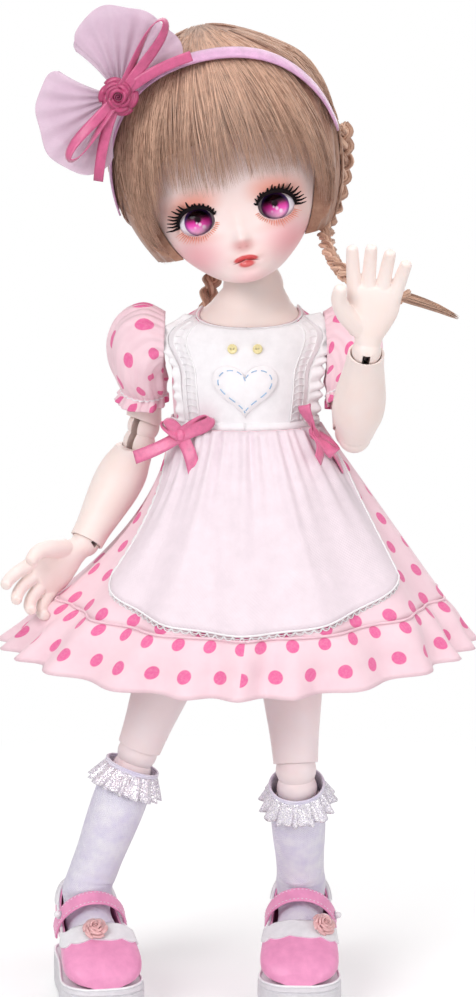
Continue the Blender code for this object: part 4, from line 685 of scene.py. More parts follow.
def hair_look():
    """Brushed mohair: locks of several browns, paler toward the ends, with a silky gloss."""
    settings = bpy.context.scene.doll_hair
    made, tree, shader, coords, cloth = material("mohair")
    parts = node(tree, "SeparateXYZ", links={"Vector": cloth})
    cloud = noise(tree, coords, 0.5, 4)
    tone = math_node(tree, "MULTIPLY_ADD", cloud, 0.5,
                     math_node(tree, "MULTIPLY", parts.outputs["Y"], 0.62))
    colour = mix(tree, ramp(tree, tone, (0.2, 0.0), (0.75, 1.0)), tuple(settings.dark),
                 tuple(settings.light))
    tips = node(tree, "MapRange", {"From Min": 0.6, "From Max": 1.0, "To Max": 0.25},
                {"Value": parts.outputs["X"]})
    tree.links.new(mix(tree, tips.outputs["Result"], colour, tuple(settings.light)),
                   shader.inputs["Base Color"])
    tree.links.new(bump(tree, noise(tree, coords, 5, 3), 0.3, 0.1 * MM), shader.inputs["Normal"])
    set_shader(shader, Roughness=0.5, Specular_IOR_Level=0.35, Sheen_Weight=0.25, Sheen_Roughness=0.5)
    return made


def lash_look(name, code):
    """Fine synthetic lashes."""
    made, tree, shader, coords, _ = material(name)
    base = linear(code)
    tree.links.new(mix(tree, noise(tree, coords, 3, 2), base, tuple(v * 1.7 + 0.004 for v in base)),
                   shader.inputs["Base Color"])
    set_shader(shader, Roughness=0.8, Specular_IOR_Level=0.08)
    return made


def satin_look(name, code):
    """Ribbon satin: fine ribs across it and a broad soft gloss."""
    made, tree, shader, coords, _ = material(name)
    base = shade(code)
    clouded(tree, shader, noise(tree, coords, 0.35, 3), dimmed(base, 0.72), base)
    ribs = node(tree, "TexWave", {"Scale": 2.6, "Distortion": 0.6, "Detail": 2.0}, {"Vector": coords},
                wave_type="BANDS", bands_direction="DIAGONAL")
    tree.links.new(bump(tree, ribs.outputs["Fac"], 0.18, 0.05 * MM), shader.inputs["Normal"])
    tree.links.new(ramp(tree, noise(tree, coords, 2, 2), (0.3, 0.27), (0.8, 0.4)),
                   shader.inputs["Roughness"])
    set_shader(shader, Sheen_Weight=0.4, Sheen_Roughness=0.35, Specular_IOR_Level=0.55, Anisotropic=0.4)
    return made


def voile_look(name, code, thin):
    """Thin woven or knotted cloth that light and colour come through."""
    made, tree, shader, coords, cloth = material(name)
    base = shade(code)
    clouded(tree, shader, noise(tree, coords, 0.25, 4), dimmed(base, 0.96), base)
    tree.links.new(bump(tree, weave(tree, cloth, 1.1), 0.35, 0.06 * MM), shader.inputs["Normal"])
    open_share = ramp(tree, noise(tree, coords, 0.18, 3), (0.3, thin - 0.04), (0.8, min(1.0, thin + 0.05)))
    tree.links.new(open_share, shader.inputs["Alpha"])
    set_shader(shader, Roughness=0.8, Sheen_Weight=0.3, Sheen_Roughness=0.5)
    return made


def dot_cotton_look():
    """Printed dress cotton: rose dots on a pale ground, with a fine weave."""
    settings = bpy.context.scene.doll_dress
    made, tree, shader, coords, cloth = material("dotted cotton")
    ground = tuple(settings.cotton)
    cloud = ramp(tree, noise(tree, coords, 0.12, 3), (0.3, 0.0), (0.75, 1.0))
    base = mix(tree, cloud, tuple(a * b for a, b in zip(ground, (0.95, 0.9, 0.92))), ground)
    worn = math_node(tree, "MULTIPLY", dots(tree, cloth, settings.dot_width / MM,
                                            settings.dot_spacing / MM),
                     ramp(tree, noise(tree, cloth, 1.2, 3), (0.2, 0.78), (0.6, 1.0)))
    tree.links.new(mix(tree, worn, base, tuple(settings.dots)), shader.inputs["Base Color"])
    tree.links.new(bump(tree, weave(tree, cloth, 2.6), 0.25, 0.05 * MM), shader.inputs["Normal"])
    set_shader(shader, Roughness=0.82, Sheen_Weight=0.25, Sheen_Roughness=0.5, Specular_IOR_Level=0.25)
    return made


def cotton_look(name, code, threads=2.2):
    """Plain woven cotton."""
    made, tree, shader, coords, cloth = material(name)
    base = linear(code)
    clouded(tree, shader, noise(tree, coords, 0.3, 3), dimmed(base, 0.93), base)
    tree.links.new(bump(tree, weave(tree, cloth, threads), 0.3, 0.05 * MM), shader.inputs["Normal"])
    set_shader(shader, Roughness=0.85, Sheen_Weight=0.2, Sheen_Roughness=0.5, Specular_IOR_Level=0.25)
    return made


def knit_look():
    """Fine ribbed sock knit with a lavender cast."""
    settings = bpy.context.scene.doll_shoes
    made, tree, shader, coords, cloth = material("sock knit")
    base = tuple(settings.sock)
    clouded(tree, shader, noise(tree, coords, 0.22, 3), linear("#DDD6EC"), base)
    tree.links.new(bump(tree, weave(tree, cloth, 1.3), 0.6, 0.12 * MM), shader.inputs["Normal"])
    set_shader(shader, Roughness=0.9, Sheen_Weight=0.4, Sheen_Roughness=0.5, Specular_IOR_Level=0.2)
    return made


def glitter_look():
    """Openwork lace with metal thread that glints in places."""
    made, tree, shader, coords, _ = material("glitter lace")
    cells = node(tree, "TexVoronoi", {"Scale": 2.2}, {"Vector": coords}, feature="DISTANCE_TO_EDGE")
    sparks = node(tree, "TexVoronoi", {"Scale": 3.4}, {"Vector": coords})
    glint = ramp(tree, sparks.outputs["Color"], (0.5, 0.0), (0.56, 1.0))
    tree.links.new(mix(tree, glint, linear("#E9E3F0"), linear("#F4F0F2")), shader.inputs["Base Color"])
    tree.links.new(mix(tree, glint, (0.0, 0.0, 0.0), (0.8, 0.8, 0.8)), shader.inputs["Metallic"])
    tree.links.new(mix(tree, glint, (0.8, 0.8, 0.8), (0.22, 0.22, 0.22)), shader.inputs["Roughness"])
    tree.links.new(ramp(tree, cells.outputs["Distance"], (0.10, 1.0), (0.2, 0.45)), shader.inputs["Alpha"])
    tree.links.new(bump(tree, cells.outputs["Distance"], 0.6, 0.2 * MM), shader.inputs["Normal"])
    return made


def leather_look(name, code, grain=1.6):
    """Soft finished leather with a fine grain and paler worn spots."""
    made, tree, shader, coords, _ = material(name)
    base = shade(code)
    pale = tuple(min(1.0, v * 1.12 + 0.03) for v in base)
    clouded(tree, shader, noise(tree, coords, 0.3, 4), base, pale, 0.35, 0.8)
    cells = node(tree, "TexVoronoi", {"Scale": grain}, {"Vector": coords}, feature="DISTANCE_TO_EDGE")
    tree.links.new(bump(tree, cells.outputs["Distance"], 0.35, 0.12 * MM), shader.inputs["Normal"])
    tree.links.new(ramp(tree, noise(tree, coords, 1.3, 3), (0.3, 0.34), (0.8, 0.5)),
                   shader.inputs["Roughness"])
    set_shader(shader, Specular_IOR_Level=0.45)
    return made


def plain_look(name, code, roughness, metallic=0.0, coat=0.0, grain=2.0, depth=0.1):
    """A plain finish with a slight cloud in its colour and a fine uneven skin."""
    made, tree, shader, coords, _ = material(name)
    base = shade(code)
    clouded(tree, shader, noise(tree, coords, 0.4, 4), dimmed(base, 0.88), base, 0.3, 0.8)
    tree.links.new(bump(tree, noise(tree, coords, grain, 3), 0.25, depth * MM), shader.inputs["Normal"])
    tree.links.new(ramp(tree, noise(tree, coords, 1.1, 2), (0.3, roughness * 0.85),
                        (0.8, min(1, roughness * 1.15))),
                   shader.inputs["Roughness"])
    set_shader(shader, Metallic=metallic, Coat_Weight=coat)
    return made


# Sizes of the body, as the frame's own pieces have them
HEAD_HEIGHT = 67.5 * MM
HEAD_SHARES = (
    (0.053, 0.133, 0.096, -0.289, 0.133), (0.068, 0.163, 0.170, -0.341, 0.222),
    (0.141, 0.215, 0.252, -0.370, 0.326),
    (0.237, 0.296, 0.319, -0.373, 0.400), (0.356, 0.400, 0.370, -0.364, 0.452),
    (0.489, 0.519, 0.400, -0.388, 0.481),
    (0.637, 0.652, 0.407, -0.393, 0.481), (0.770, 0.770, 0.378, -0.348, 0.437),
    (0.881, 0.881, 0.304, -0.252, 0.356),
    (0.963, 0.963, 0.185, -0.133, 0.244),
)
HEAD_POLE_SHARES = (1.0, 0.052)
HEAD_WALL = 3 * MM
NECK_RADIUS = 8.9 * MM
BALL_GAP = 0.4 * MM
EYE_RADIUS = 7 * MM
EYE_SIDE = 11.6 * MM
EYE_RISE = 23.5 * MM
EYE_DEPTH = -11.6 * MM
EYE_OPENING = (5.3, 4.2)
EYE_DROOP = 8
# Relief of the face in millimetres: side, height, spread across, spread up and depth
FACE_RELIEF = (
    (0, 16.6, 2.1, 2.0, 2.7), (0, 20.5, 2.0, 4.5, 1.0), (0, 14.4, 2.9, 1.0, 0.55),
    (1.7, 11.2, 1.9, 0.75, 0.75), (0, 9.15, 2.3, 0.95, 0.95), (0, 10.3, 3.3, 0.26, -0.55),
    (0, 12.8, 0.65, 1.1, -0.3), (0, 7.4, 2.6, 0.7, -0.35), (4.1, 10.1, 0.8, 0.7, -0.35),
    (0, 5.0, 4.0, 2.2, 0.9), (12, 24.4, 5.5, 4.2, -1.3), (13, 14, 6, 4.5, 0.8), (12, 29.6, 6.5, 1.6, 0.5),
)
TORSO_LENGTH = 71.2 * MM
CHEST = (19.8 * MM, 14 * MM)
NECK_PLACE = Vector((2.5, 2, 86.2)) * MM
HIP_HALF_SPACING = 12.5 * MM
SHOULDER_HALF_SPACING = 28.8 * MM
TORSO_SHARES = (
    (-0.11, 0.20, 0.42), (-0.03, 0.48, 0.72), (0.06, 0.94, 0.97), (0.17, 1.12, 1.08), (0.36, 1.02, 1.05),
    (0.55, 0.95, 1.00), (0.65, 0.98, 1.00), (0.80, 1.02, 1.05), (0.89, 1.03, 1.00), (1.00, 1.20, 0.86),
    (1.05, 1.14, 0.80), (1.10, 0.84, 0.74), (1.15, 0.60, 0.66),
)
SHOULDER_BALL = 6.4 * MM
ARM_RADIUS = 5.3 * MM
UPPER_ARM_LENGTH = 28.5 * MM
ELBOW_BALL = 4.8 * MM
ELBOW_SPACING = 5 * MM
FOREARM_LENGTH = 34.5 * MM
WRIST_BALL = 4.2 * MM
HAND_LENGTH = 30 * MM
HIP_BALL = 8.6 * MM
THIGH_RADIUS = 9.6 * MM
THIGH_LENGTH = 57 * MM
KNEE_BALL = 6 * MM
KNEE_SPACING = 6 * MM
KNEE_RIM_RADIUS = 6.6 * MM
SHIN_RADIUS = 6.4 * MM
SHIN_LENGTH = 38 * MM
ANKLE_BALL = 5 * MM
RIM_SLANT = math.radians(32)
SLOT_WIDTH = 2.2 * MM
HOOK_WELL = 2.7 * MM


def ball_piece(radius, centre=(0, 0, 0), turn=Matrix(), sides=48):
    """A closed smooth ball used as a cutter, in a frame."""
    rings = ball_rings(radius, BALL_POLE, -BALL_POLE, sides // 2, sides)
    return lofted("cutter", rings, None, turn @ Matrix.Translation(Vector(centre)))


def prism_piece(outline, half, turn, axis="X"):
    """An outline pushed out along an axis, used as a cutter."""
    if axis == "X":
        rings = [[Vector((w, u, v)) for u, v in outline] for w in (-half, half)]
    else:
        rings = [[Vector((u, w, v)) for u, v in outline] for w in (-half, half)]
    return lofted("cutter", rings, None, turn)


def rod_piece(start, end, radius, turn=Matrix(), sides=24):
    bundle = Bundle()
    bundle.tube([Vector(start), Vector(end)], radius, sides)
    item = bundle.make("cutter", None)
    item.data.transform(turn)
    outward(item)
    return item


def face_angles(columns):
    return [math.tau * k / columns for k in range(columns)]


def head_rings(shares, pole, offset, relief=(), steps=6, columns=128):
    """Rings of a head shape grown by an offset, from the chin up to the crown."""
    rings = []
    size = HEAD_HEIGHT
    for front_z, back_z, half, front_y, back_y in catmull(shares, steps):
        half_width = half * size + offset
        middle = (front_y + back_y) / 2 * size
        half_depth = (back_y - front_y) / 2 * size + offset
        line = []
        for angle in face_angles(columns):
            share = (1 - math.cos(angle)) / 2
            x = half_width * math.sin(angle)
            y = middle - half_depth * math.cos(angle)
            z = (front_z + (back_z - front_z) * share) * size
            lift = 0.0
            if math.cos(angle) > 0.1:
                for side, height, across, up, depth in relief:
                    for place_across in {side, -side}:
                        lift += depth * math.exp(-((x / MM - place_across) / across) ** 2
                                                 - ((z / MM - height) / up) ** 2)
            line.append(Vector((x, y - lift * MM, z)))
        rings.append(line)
    low = sum(rings[0], Vector()) / columns
    rings.insert(0, [low.lerp(point, 0.02) for point in rings[0]])
    top = Vector((0, pole[1] * size, pole[0] * size + offset))
    rings.append([top.lerp(point, 0.5) + Vector((0, 0, 0.4 * MM)) for point in rings[-1]])
    rings.append([top.lerp(point, 0.02) for point in rings[-1]])
    return rings


def refined_head(turn):
    """The face's skin, hollowed, cut at the cap and opened for eyes and neck."""
    item = lofted("face", head_rings(HEAD_SHARES, HEAD_POLE_SHARES, 0, FACE_RELIEF, 12, 168), None, turn)
    inside = lofted("cutter", head_rings(HEAD_SHARES, HEAD_POLE_SHARES, -HEAD_WALL, (), 3, 64), None, turn)
    cut(inside, ball_piece(NECK_RADIUS + BALL_GAP + 2.8 * MM, turn=turn))
    cut(item, inside)
    point = Vector((0, 0.481 * HEAD_HEIGHT * 0.5, HEAD_HEIGHT * 0.62))
    lean = Matrix.Rotation(math.radians(36), 4, (1, 0, 0))
    reach = 2 * HEAD_HEIGHT
    corners = [(-reach, 0), (reach, 0), (reach, reach), (-reach, reach)]
    rings = [[Vector((x, y, z)) for x, y in corners] for z in (-reach, reach)]
    cut(item, lofted("cutter", rings, None, turn @ Matrix.Translation(point) @ lean))
    cut(item, ball_piece(NECK_RADIUS + BALL_GAP, turn=turn))
    cut(item, rod_piece((0, 0, 0), (0, 0, 16 * MM), 5.4 * MM, turn))
    for sign in (-1, 1):
        centre = Vector((sign * EYE_SIDE, EYE_DEPTH, EYE_RISE))
        cut(item, ball_piece(EYE_RADIUS + 0.2 * MM, centre, turn))
        outline = [(x * MM, z * MM) for x, z in (eye_rim(sign, math.tau * k / 48) for k in range(48))]
        front = Matrix.Translation(centre - Vector((0, EYE_RADIUS, 0)))
        cut(item, prism_piece(outline, EYE_RADIUS, turn @ front, "Y"))
    return item


def eye_rim(sign, angle, grow=1.0):
    """A point round the eye's opening in mm: round above, flatter below, outer corner lower."""
    droop = -sign * math.radians(EYE_DROOP)
    x = EYE_OPENING[0] * grow * math.cos(angle)
    z = EYE_OPENING[1] * grow * (math.sin(angle) if math.sin(angle) > 0 else 0.93 * math.sin(angle))
    return x * math.cos(droop) - z * math.sin(droop), x * math.sin(droop) + z * math.cos(droop)


def finish_item(item, look, sharp=40):
    item.data.materials.clear()
    item.data.materials.append(look)
    pick(item)
    bpy.ops.object.shade_smooth_by_angle(angle=math.radians(sharp))
    return item


def make_face():
    turn = head_frame()
    item = refined_head(turn)
    item.name = "face"
    finish_item(item, face_look(), 45)
    return place(item, "head", "head_shell")


def make_eyes():
    for side, sign in SIDES.items():
        centre = head_frame() @ Matrix.Translation((sign * EYE_SIDE, EYE_DEPTH, EYE_RISE))
        rings = ball_rings(EYE_RADIUS - 0.05 * MM, BALL_POLE, -BALL_POLE, 40, 64)
        for line in rings:
            for point in line:
                reach = math.hypot(point.x, point.z) / MM
                if point.y < 0 and reach < 4.4:
                    point.y -= 0.55 * MM * (1 - (reach / 4.4) ** 2)
        item = lofted(f"glass_eye_{side}", rings, eye_look(side), centre)
        place(item, "head", f"eye_{side}")


def skin_point(tree, x, z):
    """The face's front at a side and height in millimetres, in the head's frame."""
    found = tree.ray_cast(Vector((x * MM, -60 * MM, z * MM)), Vector((0, 1, 0)))[0]
    return found if found else Vector((x * MM, -22 * MM, z * MM))


def make_lashes(face):
    """Upper lashes in pointed clumps on a dark strip, and short fine lower lashes."""
    random.seed(4)
    turn = head_frame()
    back = turn.inverted()
    points = [back @ vertex.co for vertex in face.data.vertices]
    tree = BVHTree.FromPolygons(points, [tuple(polygon.vertices) for polygon in face.data.polygons])
    longest = bpy.context.scene.doll_body.lash_length
    upper = Bundle()
    lower = Bundle()
    for sign in (-1, 1):
        def rim(angle, grow):
            x, z = eye_rim(sign, angle, grow)
            return x + sign * EYE_SIDE / MM, z + EYE_RISE / MM

        start, end = (-6, 172) if sign > 0 else (8, 186)
        line = []
        for k in range(41):
            angle = math.radians(start + (end - start) * k / 40)
            x, z = rim(angle, 1.05)
            line.append(skin_point(tree, x, z) - Vector((0, 0.12 * MM, 0)))
        thick = [0.25 * MM + 0.45 * MM * math.sin(math.pi * k / 40) ** 0.7 for k in range(41)]
        upper.tube(line, thick, 6, 0.2)
        clumps = 17
        for clump in range(clumps):
            share = (clump + 0.5) / clumps
            angle = math.radians(start + (end - start) * share)
            outer = 0.5 + 0.5 * math.cos(angle) * sign
            reach = longest * (0.36 + 0.54 * outer ** 1.2) * random.uniform(0.75, 1.1)
            x, z = rim(angle, 1.04)
            root = skin_point(tree, x, z)
            x2, z2 = rim(angle + 0.16 * sign * math.copysign(1, math.cos(angle) + 0.2) * 0.2, 2.0)
            away = Vector(((x2 - x) * MM, 0, (z2 - z) * MM)).normalized()
            lean = sign * 0.32 * (0.4 + outer) + random.uniform(-0.3, 0.3)
            tip = root + (away + Vector((lean, -0.38, 0.1))).normalized() * reach
            for hair in range(7):
                spread = (hair - 3) / 3
                side_angle = angle + spread * 0.075
                x, z = rim(side_angle, 1.04)
                foot = skin_point(tree, x, z) - Vector((0, 0.1 * MM, 0))
                aim = tip.lerp(foot + (tip - root), 0.28 * abs(spread))
                bend = foot.lerp(aim, 0.5) + Vector((0, -0.4 * MM, -0.22 * MM))
                upper.tube([foot, foot.lerp(bend, 0.6), bend, bend.lerp(aim, 0.55), aim],
                           [0.13 * MM, 0.13 * MM, 0.11 * MM, 0.07 * MM, 0.02 * MM], 4, 0.3)
        for hair in range(22):
            share = (hair + 0.5) / 22
            angle = math.radians(200 + 140 * share)
            x, z = rim(angle, 1.03)
            foot = skin_point(tree, x, z) - Vector((0, 0.25 * MM, 0))
            x2, z2 = rim(angle, 1.5)
            away = Vector(((x2 - x) * MM, -0.3 * MM, (z2 - z) * MM)).normalized()
            tip = foot + (away + Vector((sign * 0.15, 0, 0))) * (2.3 * MM * random.uniform(0.7, 1.1))
            lower.tube([foot, foot.lerp(tip, 0.5) + Vector((0, -0.1 * MM, 0)), tip],
                       [0.15 * MM, 0.12 * MM, 0.03 * MM], 4, 0.5)
    for bundle, name, look in ((upper, "upper_lashes", lash_look("dark lashes", "#120B0D")),
                               (lower, "lower_lashes", lash_look("fine lashes", "#CC7A64"))):
        item = bundle.make(name, look)
        item.data.transform(turn)
        place(item, "head", slot="light_brown_mohair")


def tapered(rows, sides=56, steps=5):
    return [ring(-along, width, depth, sides) for along, width, depth in catmull(rows, steps)]


def rim_wedge(rise, radius, turn):
    """Clears the flexing side of a socket's rim."""
    reach = 2 * radius
    slope = math.tan(RIM_SLANT)
    outline = [(-reach, rise + reach * slope), (reach, rise - reach * slope), (reach, -2 * reach),
               (-reach, -2 * reach)]
    return prism_piece(outline, reach, turn)


def double_ball(name, look, radius, spacing, flex_y, turn):
    meet = math.degrees(math.asin(spacing / 2 / radius))
    rings = ball_rings(radius, BALL_POLE, -meet, 18, 48)
    rings += ball_rings(radius, meet, -BALL_POLE, 18, 48, -spacing)[1:]
    item = lofted(name, rings, look, turn)
    half = SLOT_WIDTH / 2
    near = flex_y * (radius + 3 * MM)
    far = -flex_y * radius / 3
    outline = [(near, -spacing - radius - 3 * MM), (near, radius + 3 * MM), (far, radius + 3 * MM),
               (far, -spacing - radius - 3 * MM)]
    cut(item, prism_piece(outline, half, turn))
    return finish_item(item, look)


def make_arm(side, look):
    upper_frame, elbow_frame, fore_frame, hand = arm_frames(side)
    rows = [(along * UPPER_ARM_LENGTH, width * ARM_RADIUS, width * ARM_RADIUS)
            for along, width in ((0.13, 0.97), (0.28, 0.94), (0.5, 0.98), (0.78, 0.97), (0.944, 1.0))]
    rings = ball_rings(SHOULDER_BALL, BALL_POLE, -35, 16, 56) + tapered(rows)[1:]
    arm = lofted(f"{side}_arm_above", rings, look, upper_frame)
    elbow = Vector((0, 0, -UPPER_ARM_LENGTH))
    cut(arm, ball_piece(ELBOW_BALL + BALL_GAP, elbow, upper_frame))
    cut(arm, rim_wedge(1.6 * MM, ARM_RADIUS, upper_frame @ Matrix.Translation(elbow)))
    cut(arm, rod_piece((0, 0, 0), elbow, 1.6 * MM, upper_frame))
    cut(arm, ball_piece(3 * MM, turn=upper_frame))
    place(finish_item(arm, look), f"{side}_upper_arm", f"{side}_upper_arm")
    item = double_ball(f"{side}_elbow_beads", look, ELBOW_BALL, ELBOW_SPACING, -1, elbow_frame)
    place(item, f"{side}_elbow", f"{side}_elbow_ball")
    rows = [(along * FOREARM_LENGTH, width * ARM_RADIUS, depth * ARM_RADIUS)
            for along, width, depth in ((0.046, 1.0, 1.0), (0.14, 1.16, 1.10), (0.28, 1.40, 1.24),
                                        (0.45, 1.42, 1.24), (0.64, 1.26, 1.10), (0.84, 1.05, 0.94),
                                        (0.977, 0.98, 0.92))]
    fore = lofted(f"{side}_arm_below", tapered(rows), look, fore_frame)
    cut(fore, ball_piece(ELBOW_BALL + BALL_GAP, turn=fore_frame))
    flip = Matrix.Rotation(math.pi, 4, (0, 1, 0))
    cut(fore, rim_wedge(1.6 * MM, ARM_RADIUS, fore_frame @ flip))
    end = Vector((0, 0, -FOREARM_LENGTH))
    cut(fore, ball_piece(WRIST_BALL + BALL_GAP, end, fore_frame))
    cut(fore, rod_piece((0, 0, 0), end, 2.4 * MM, fore_frame))
    place(finish_item(fore, look), f"{side}_forearm", f"{side}_forearm")
    make_hand(side, hand, look)


# Fingers from the index to the little one: place over the palm, length, and the bends of its parts
FINGERS = (
    (0.42, 0.95, (4, 14, 26)), (0.14, 1.02, (6, 20, 34)), (-0.14, 0.97, (10, 26, 44)),
    (-0.42, 0.80, (14, 30, 50)),
)
FINGER_CURL = {"right": 1.6, "left": 0.5}
PALM_SHARES = ((0.02, 0.12, 0.12), (0.10, 0.14, 0.115), (0.20, 0.19, 0.115), (0.34, 0.245, 0.105),
               (0.50, 0.255, 0.09), (0.565, 0.235, 0.078), (0.59, 0.19, 0.05))
THUMB_SHARES = ((0.10, 0.0, 0.14), (0.13, -0.03, 0.20), (0.25, -0.09, 0.31), (0.33, -0.15, 0.45),
                (0.33, -0.20, 0.57))


def make_hand(side, turn, look):
    """Palm, knuckled fingers and thumb grown together, with the slotted wrist ball and its bar."""
    thumb_side = SIDES[side]
    size = HAND_LENGTH
    drop = 0.33 * WRIST_BALL
    radius = 0.062 * size
    bundle = Bundle()
    rows = [(along * size + drop, half * size, depth * size) for along, half, depth in PALM_SHARES]
    bundle.solid(tapered(rows, 32, 4))
    bundle.solid(ball_rings(WRIST_BALL, BALL_POLE, -BALL_POLE, 20, 32))
    for across, length, bends in FINGERS:
        start = Vector((thumb_side * across * 0.46 * size, 0, -0.52 * size - drop))
        lean = math.radians(thumb_side * across * 24)
        path = [start + Vector((0, 0, 0.10 * size)), start]
        for part, bend in zip((0.42, 0.32, 0.26), bends):
            angle = math.radians(bend * FINGER_CURL[side])
            down = Vector((math.sin(lean) * math.cos(angle), -math.sin(angle),
                           -math.cos(angle) * math.cos(lean)))
            path.append(path[-1] + down * (length * 0.44 * size * part))
        tip = path[-1] + (path[-1] - path[-2]).normalized() * radius * 0.35
        smooth = curve_through(path + [tip], 5)
        widths = [row[0] * radius for row in catmull([(0.9,), (1.12,), (1.06,), (1.0,), (0.86,), (0.35,)],
                                                     5)]
        bundle.tube(smooth, widths, 14)
    path = [Vector((thumb_side * x * size, y * size, -z * size - drop)) for x, y, z in THUMB_SHARES]
    path.append(path[-1] + (path[-1] - path[-2]).normalized() * radius * 0.4)
    widths = [row[0] * radius for row in catmull([(1.5,), (1.6,), (1.45,), (1.2,), (0.95,), (0.4,)], 5)]
    bundle.tube(curve_through(path, 5), widths, 16)
    item = bundle.make(f"{side}_resin_hand", look)
    outward(item)
    change(item, "REMESH", mode="VOXEL", voxel_size=0.24 * MM)
    change(item, "SMOOTH", factor=0.5, iterations=5)
    item.data.transform(turn)
    start, end = 12, 168
    reach = WRIST_BALL * 2
    outline = [(reach * math.cos(math.radians(angle)), reach * math.sin(math.radians(angle)))
               for angle in (start, 90, end)]
    swing = 360 - (end - start)
    outline += [(HOOK_WELL * math.cos(math.radians(end + swing * k / 20)),
                 HOOK_WELL * math.sin(math.radians(end + swing * k / 20))) for k in range(1, 20)]
    cut(item, prism_piece(outline, SLOT_WIDTH / 2, turn))
    cut(item, rod_piece((-2.2 * MM, 0, 0), (2.2 * MM, 0, 0), 0.6 * MM, turn), "UNION")
    place(finish_item(item, look, 50), f"{side}_hand", f"{side}_hand")


def make_leg(side, look):
    thigh_frame, knee_frame, shin_frame = leg_frames(side)[:3]
    rows = [(along * THIGH_LENGTH, width * THIGH_RADIUS, width * THIGH_RADIUS)
            for along, width in ((0.10, 0.80), (0.17, 0.84), (0.33, 1.0), (0.55, 0.955), (0.82, 0.76))]
    rows.append((THIGH_LENGTH - 1.8 * MM, KNEE_RIM_RADIUS, KNEE_RIM_RADIUS))
    rings = ball_rings(HIP_BALL, BALL_POLE, -40, 18, 56) + tapered(rows)[1:]
    thigh = lofted(f"{side}_leg_above", rings, look, thigh_frame)
    knee = Vector((0, 0, -THIGH_LENGTH))
    back = Matrix.Rotation(math.pi, 4, (0, 0, 1))
    cut(thigh, ball_piece(KNEE_BALL + BALL_GAP, knee, thigh_frame))
    cut(thigh, rim_wedge(1.8 * MM, KNEE_RIM_RADIUS, thigh_frame @ Matrix.Translation(knee) @ back))
    cut(thigh, rod_piece((0, 0, 0), knee, 1.6 * MM, thigh_frame))
    cut(thigh, ball_piece(3 * MM, turn=thigh_frame))
    place(finish_item(thigh, look), f"{side}_thigh", f"{side}_thigh")
    item = double_ball(f"{side}_knee_beads", look, KNEE_BALL, KNEE_SPACING, 1, knee_frame)
    place(item, f"{side}_knee", f"{side}_knee_ball")
    rows = [(1.8 * MM, KNEE_RIM_RADIUS, KNEE_RIM_RADIUS)]
    rows += [(along * SHIN_LENGTH, width * SHIN_RADIUS, depth * SHIN_RADIUS)
             for along, width, depth in ((0.13, 1.04, 1.02), (0.32, 1.10, 1.14), (0.55, 1.0, 1.04),
                                         (0.78, 0.90, 0.92))]
    rows.append((SHIN_LENGTH - 1.2 * MM, 5.7 * MM, 5.7 * MM))
    shin = lofted(f"{side}_leg_below", tapered(rows), look, shin_frame)
    cut(shin, ball_piece(KNEE_BALL + BALL_GAP, turn=shin_frame))
    cut(shin, rim_wedge(1.8 * MM, KNEE_RIM_RADIUS, shin_frame @ Matrix.Rotation(math.pi, 4, (1, 0, 0))))
    end = Vector((0, 0, -SHIN_LENGTH))
    cut(shin, ball_piece(ANKLE_BALL + BALL_GAP, end, shin_frame))
    cut(shin, rod_piece((0, 0, 0), end, 2.4 * MM, shin_frame))
    place(finish_item(shin, look), f"{side}_shin", f"{side}_shin")


def torso_row(share):
    """Half width, half depth and how far the row has moved over to the neck."""
    table = TORSO_SHARES
    share = min(max(share, table[0][0]), table[-1][0])
    k = max(n for n in range(len(table) - 1) if table[n][0] <= share)
    t = (share - table[k][0]) / (table[k + 1][0] - table[k][0])
    ends = (table[max(k - 1, 0)], table[k], table[k + 1], table[min(k + 2, len(table) - 1)])
    width, depth = (between([row[column] for row in ends], t) for column in (1, 2))
    return width * CHEST[0], depth * CHEST[1], max(0.0, share - 1) / (NECK_PLACE.z / TORSO_LENGTH - 1)


def torso_point(angle, share, grow=0.0):
    """A point over the torso's skin; the angle runs from the front toward the doll's left."""
    width, depth, lean = torso_row(share)
    return Vector((lean * NECK_PLACE.x + (width + grow) * math.sin(angle),
                   lean * NECK_PLACE.y - (depth + grow) * math.cos(angle), share * TORSO_LENGTH))


def make_torso(look):
    turn = torso_frame()
    low, high = TORSO_SHARES[0][0], TORSO_SHARES[-1][0]
    rings = [[torso_point(math.tau * k / 72, low + (high - low) * row
                          / 70) for k in range(72)] for row in range(71)]
    neck = ball_rings(NECK_RADIUS, 0, BALL_POLE, 12, 72)
    rings += [[point + NECK_PLACE for point in line] for line in neck]
    item = lofted("resin_torso", rings, look, turn)
    for sign in (-1, 1):
        cut(item, ball_piece(HIP_BALL + BALL_GAP, (sign * HIP_HALF_SPACING, 0, 0), turn))
        cut(item, ball_piece(SHOULDER_BALL + BALL_GAP, (sign * SHOULDER_HALF_SPACING, 0, TORSO_LENGTH),
                             turn))
    middle = Vector((0, -1, 17)) * MM
    top = NECK_PLACE + Vector((0, 0, NECK_RADIUS + 3 * MM))
    cut(item, rod_piece(middle - Vector((0, 0, 3.2 * MM)), top, 3.2 * MM, turn))
    for sign in (-1, 1):
        start = middle + Vector((-sign, 0, 1)) * MM
        cut(item, rod_piece(start, (sign * HIP_HALF_SPACING, 0, 0), 2.2 * MM, turn))
    cut(item, rod_piece((-SHOULDER_HALF_SPACING, -1.5 * MM, TORSO_LENGTH),
                        (SHOULDER_HALF_SPACING, -1.5 * MM, TORSO_LENGTH), 1.5 * MM, turn))
    place(finish_item(item, look), "torso", "torso")


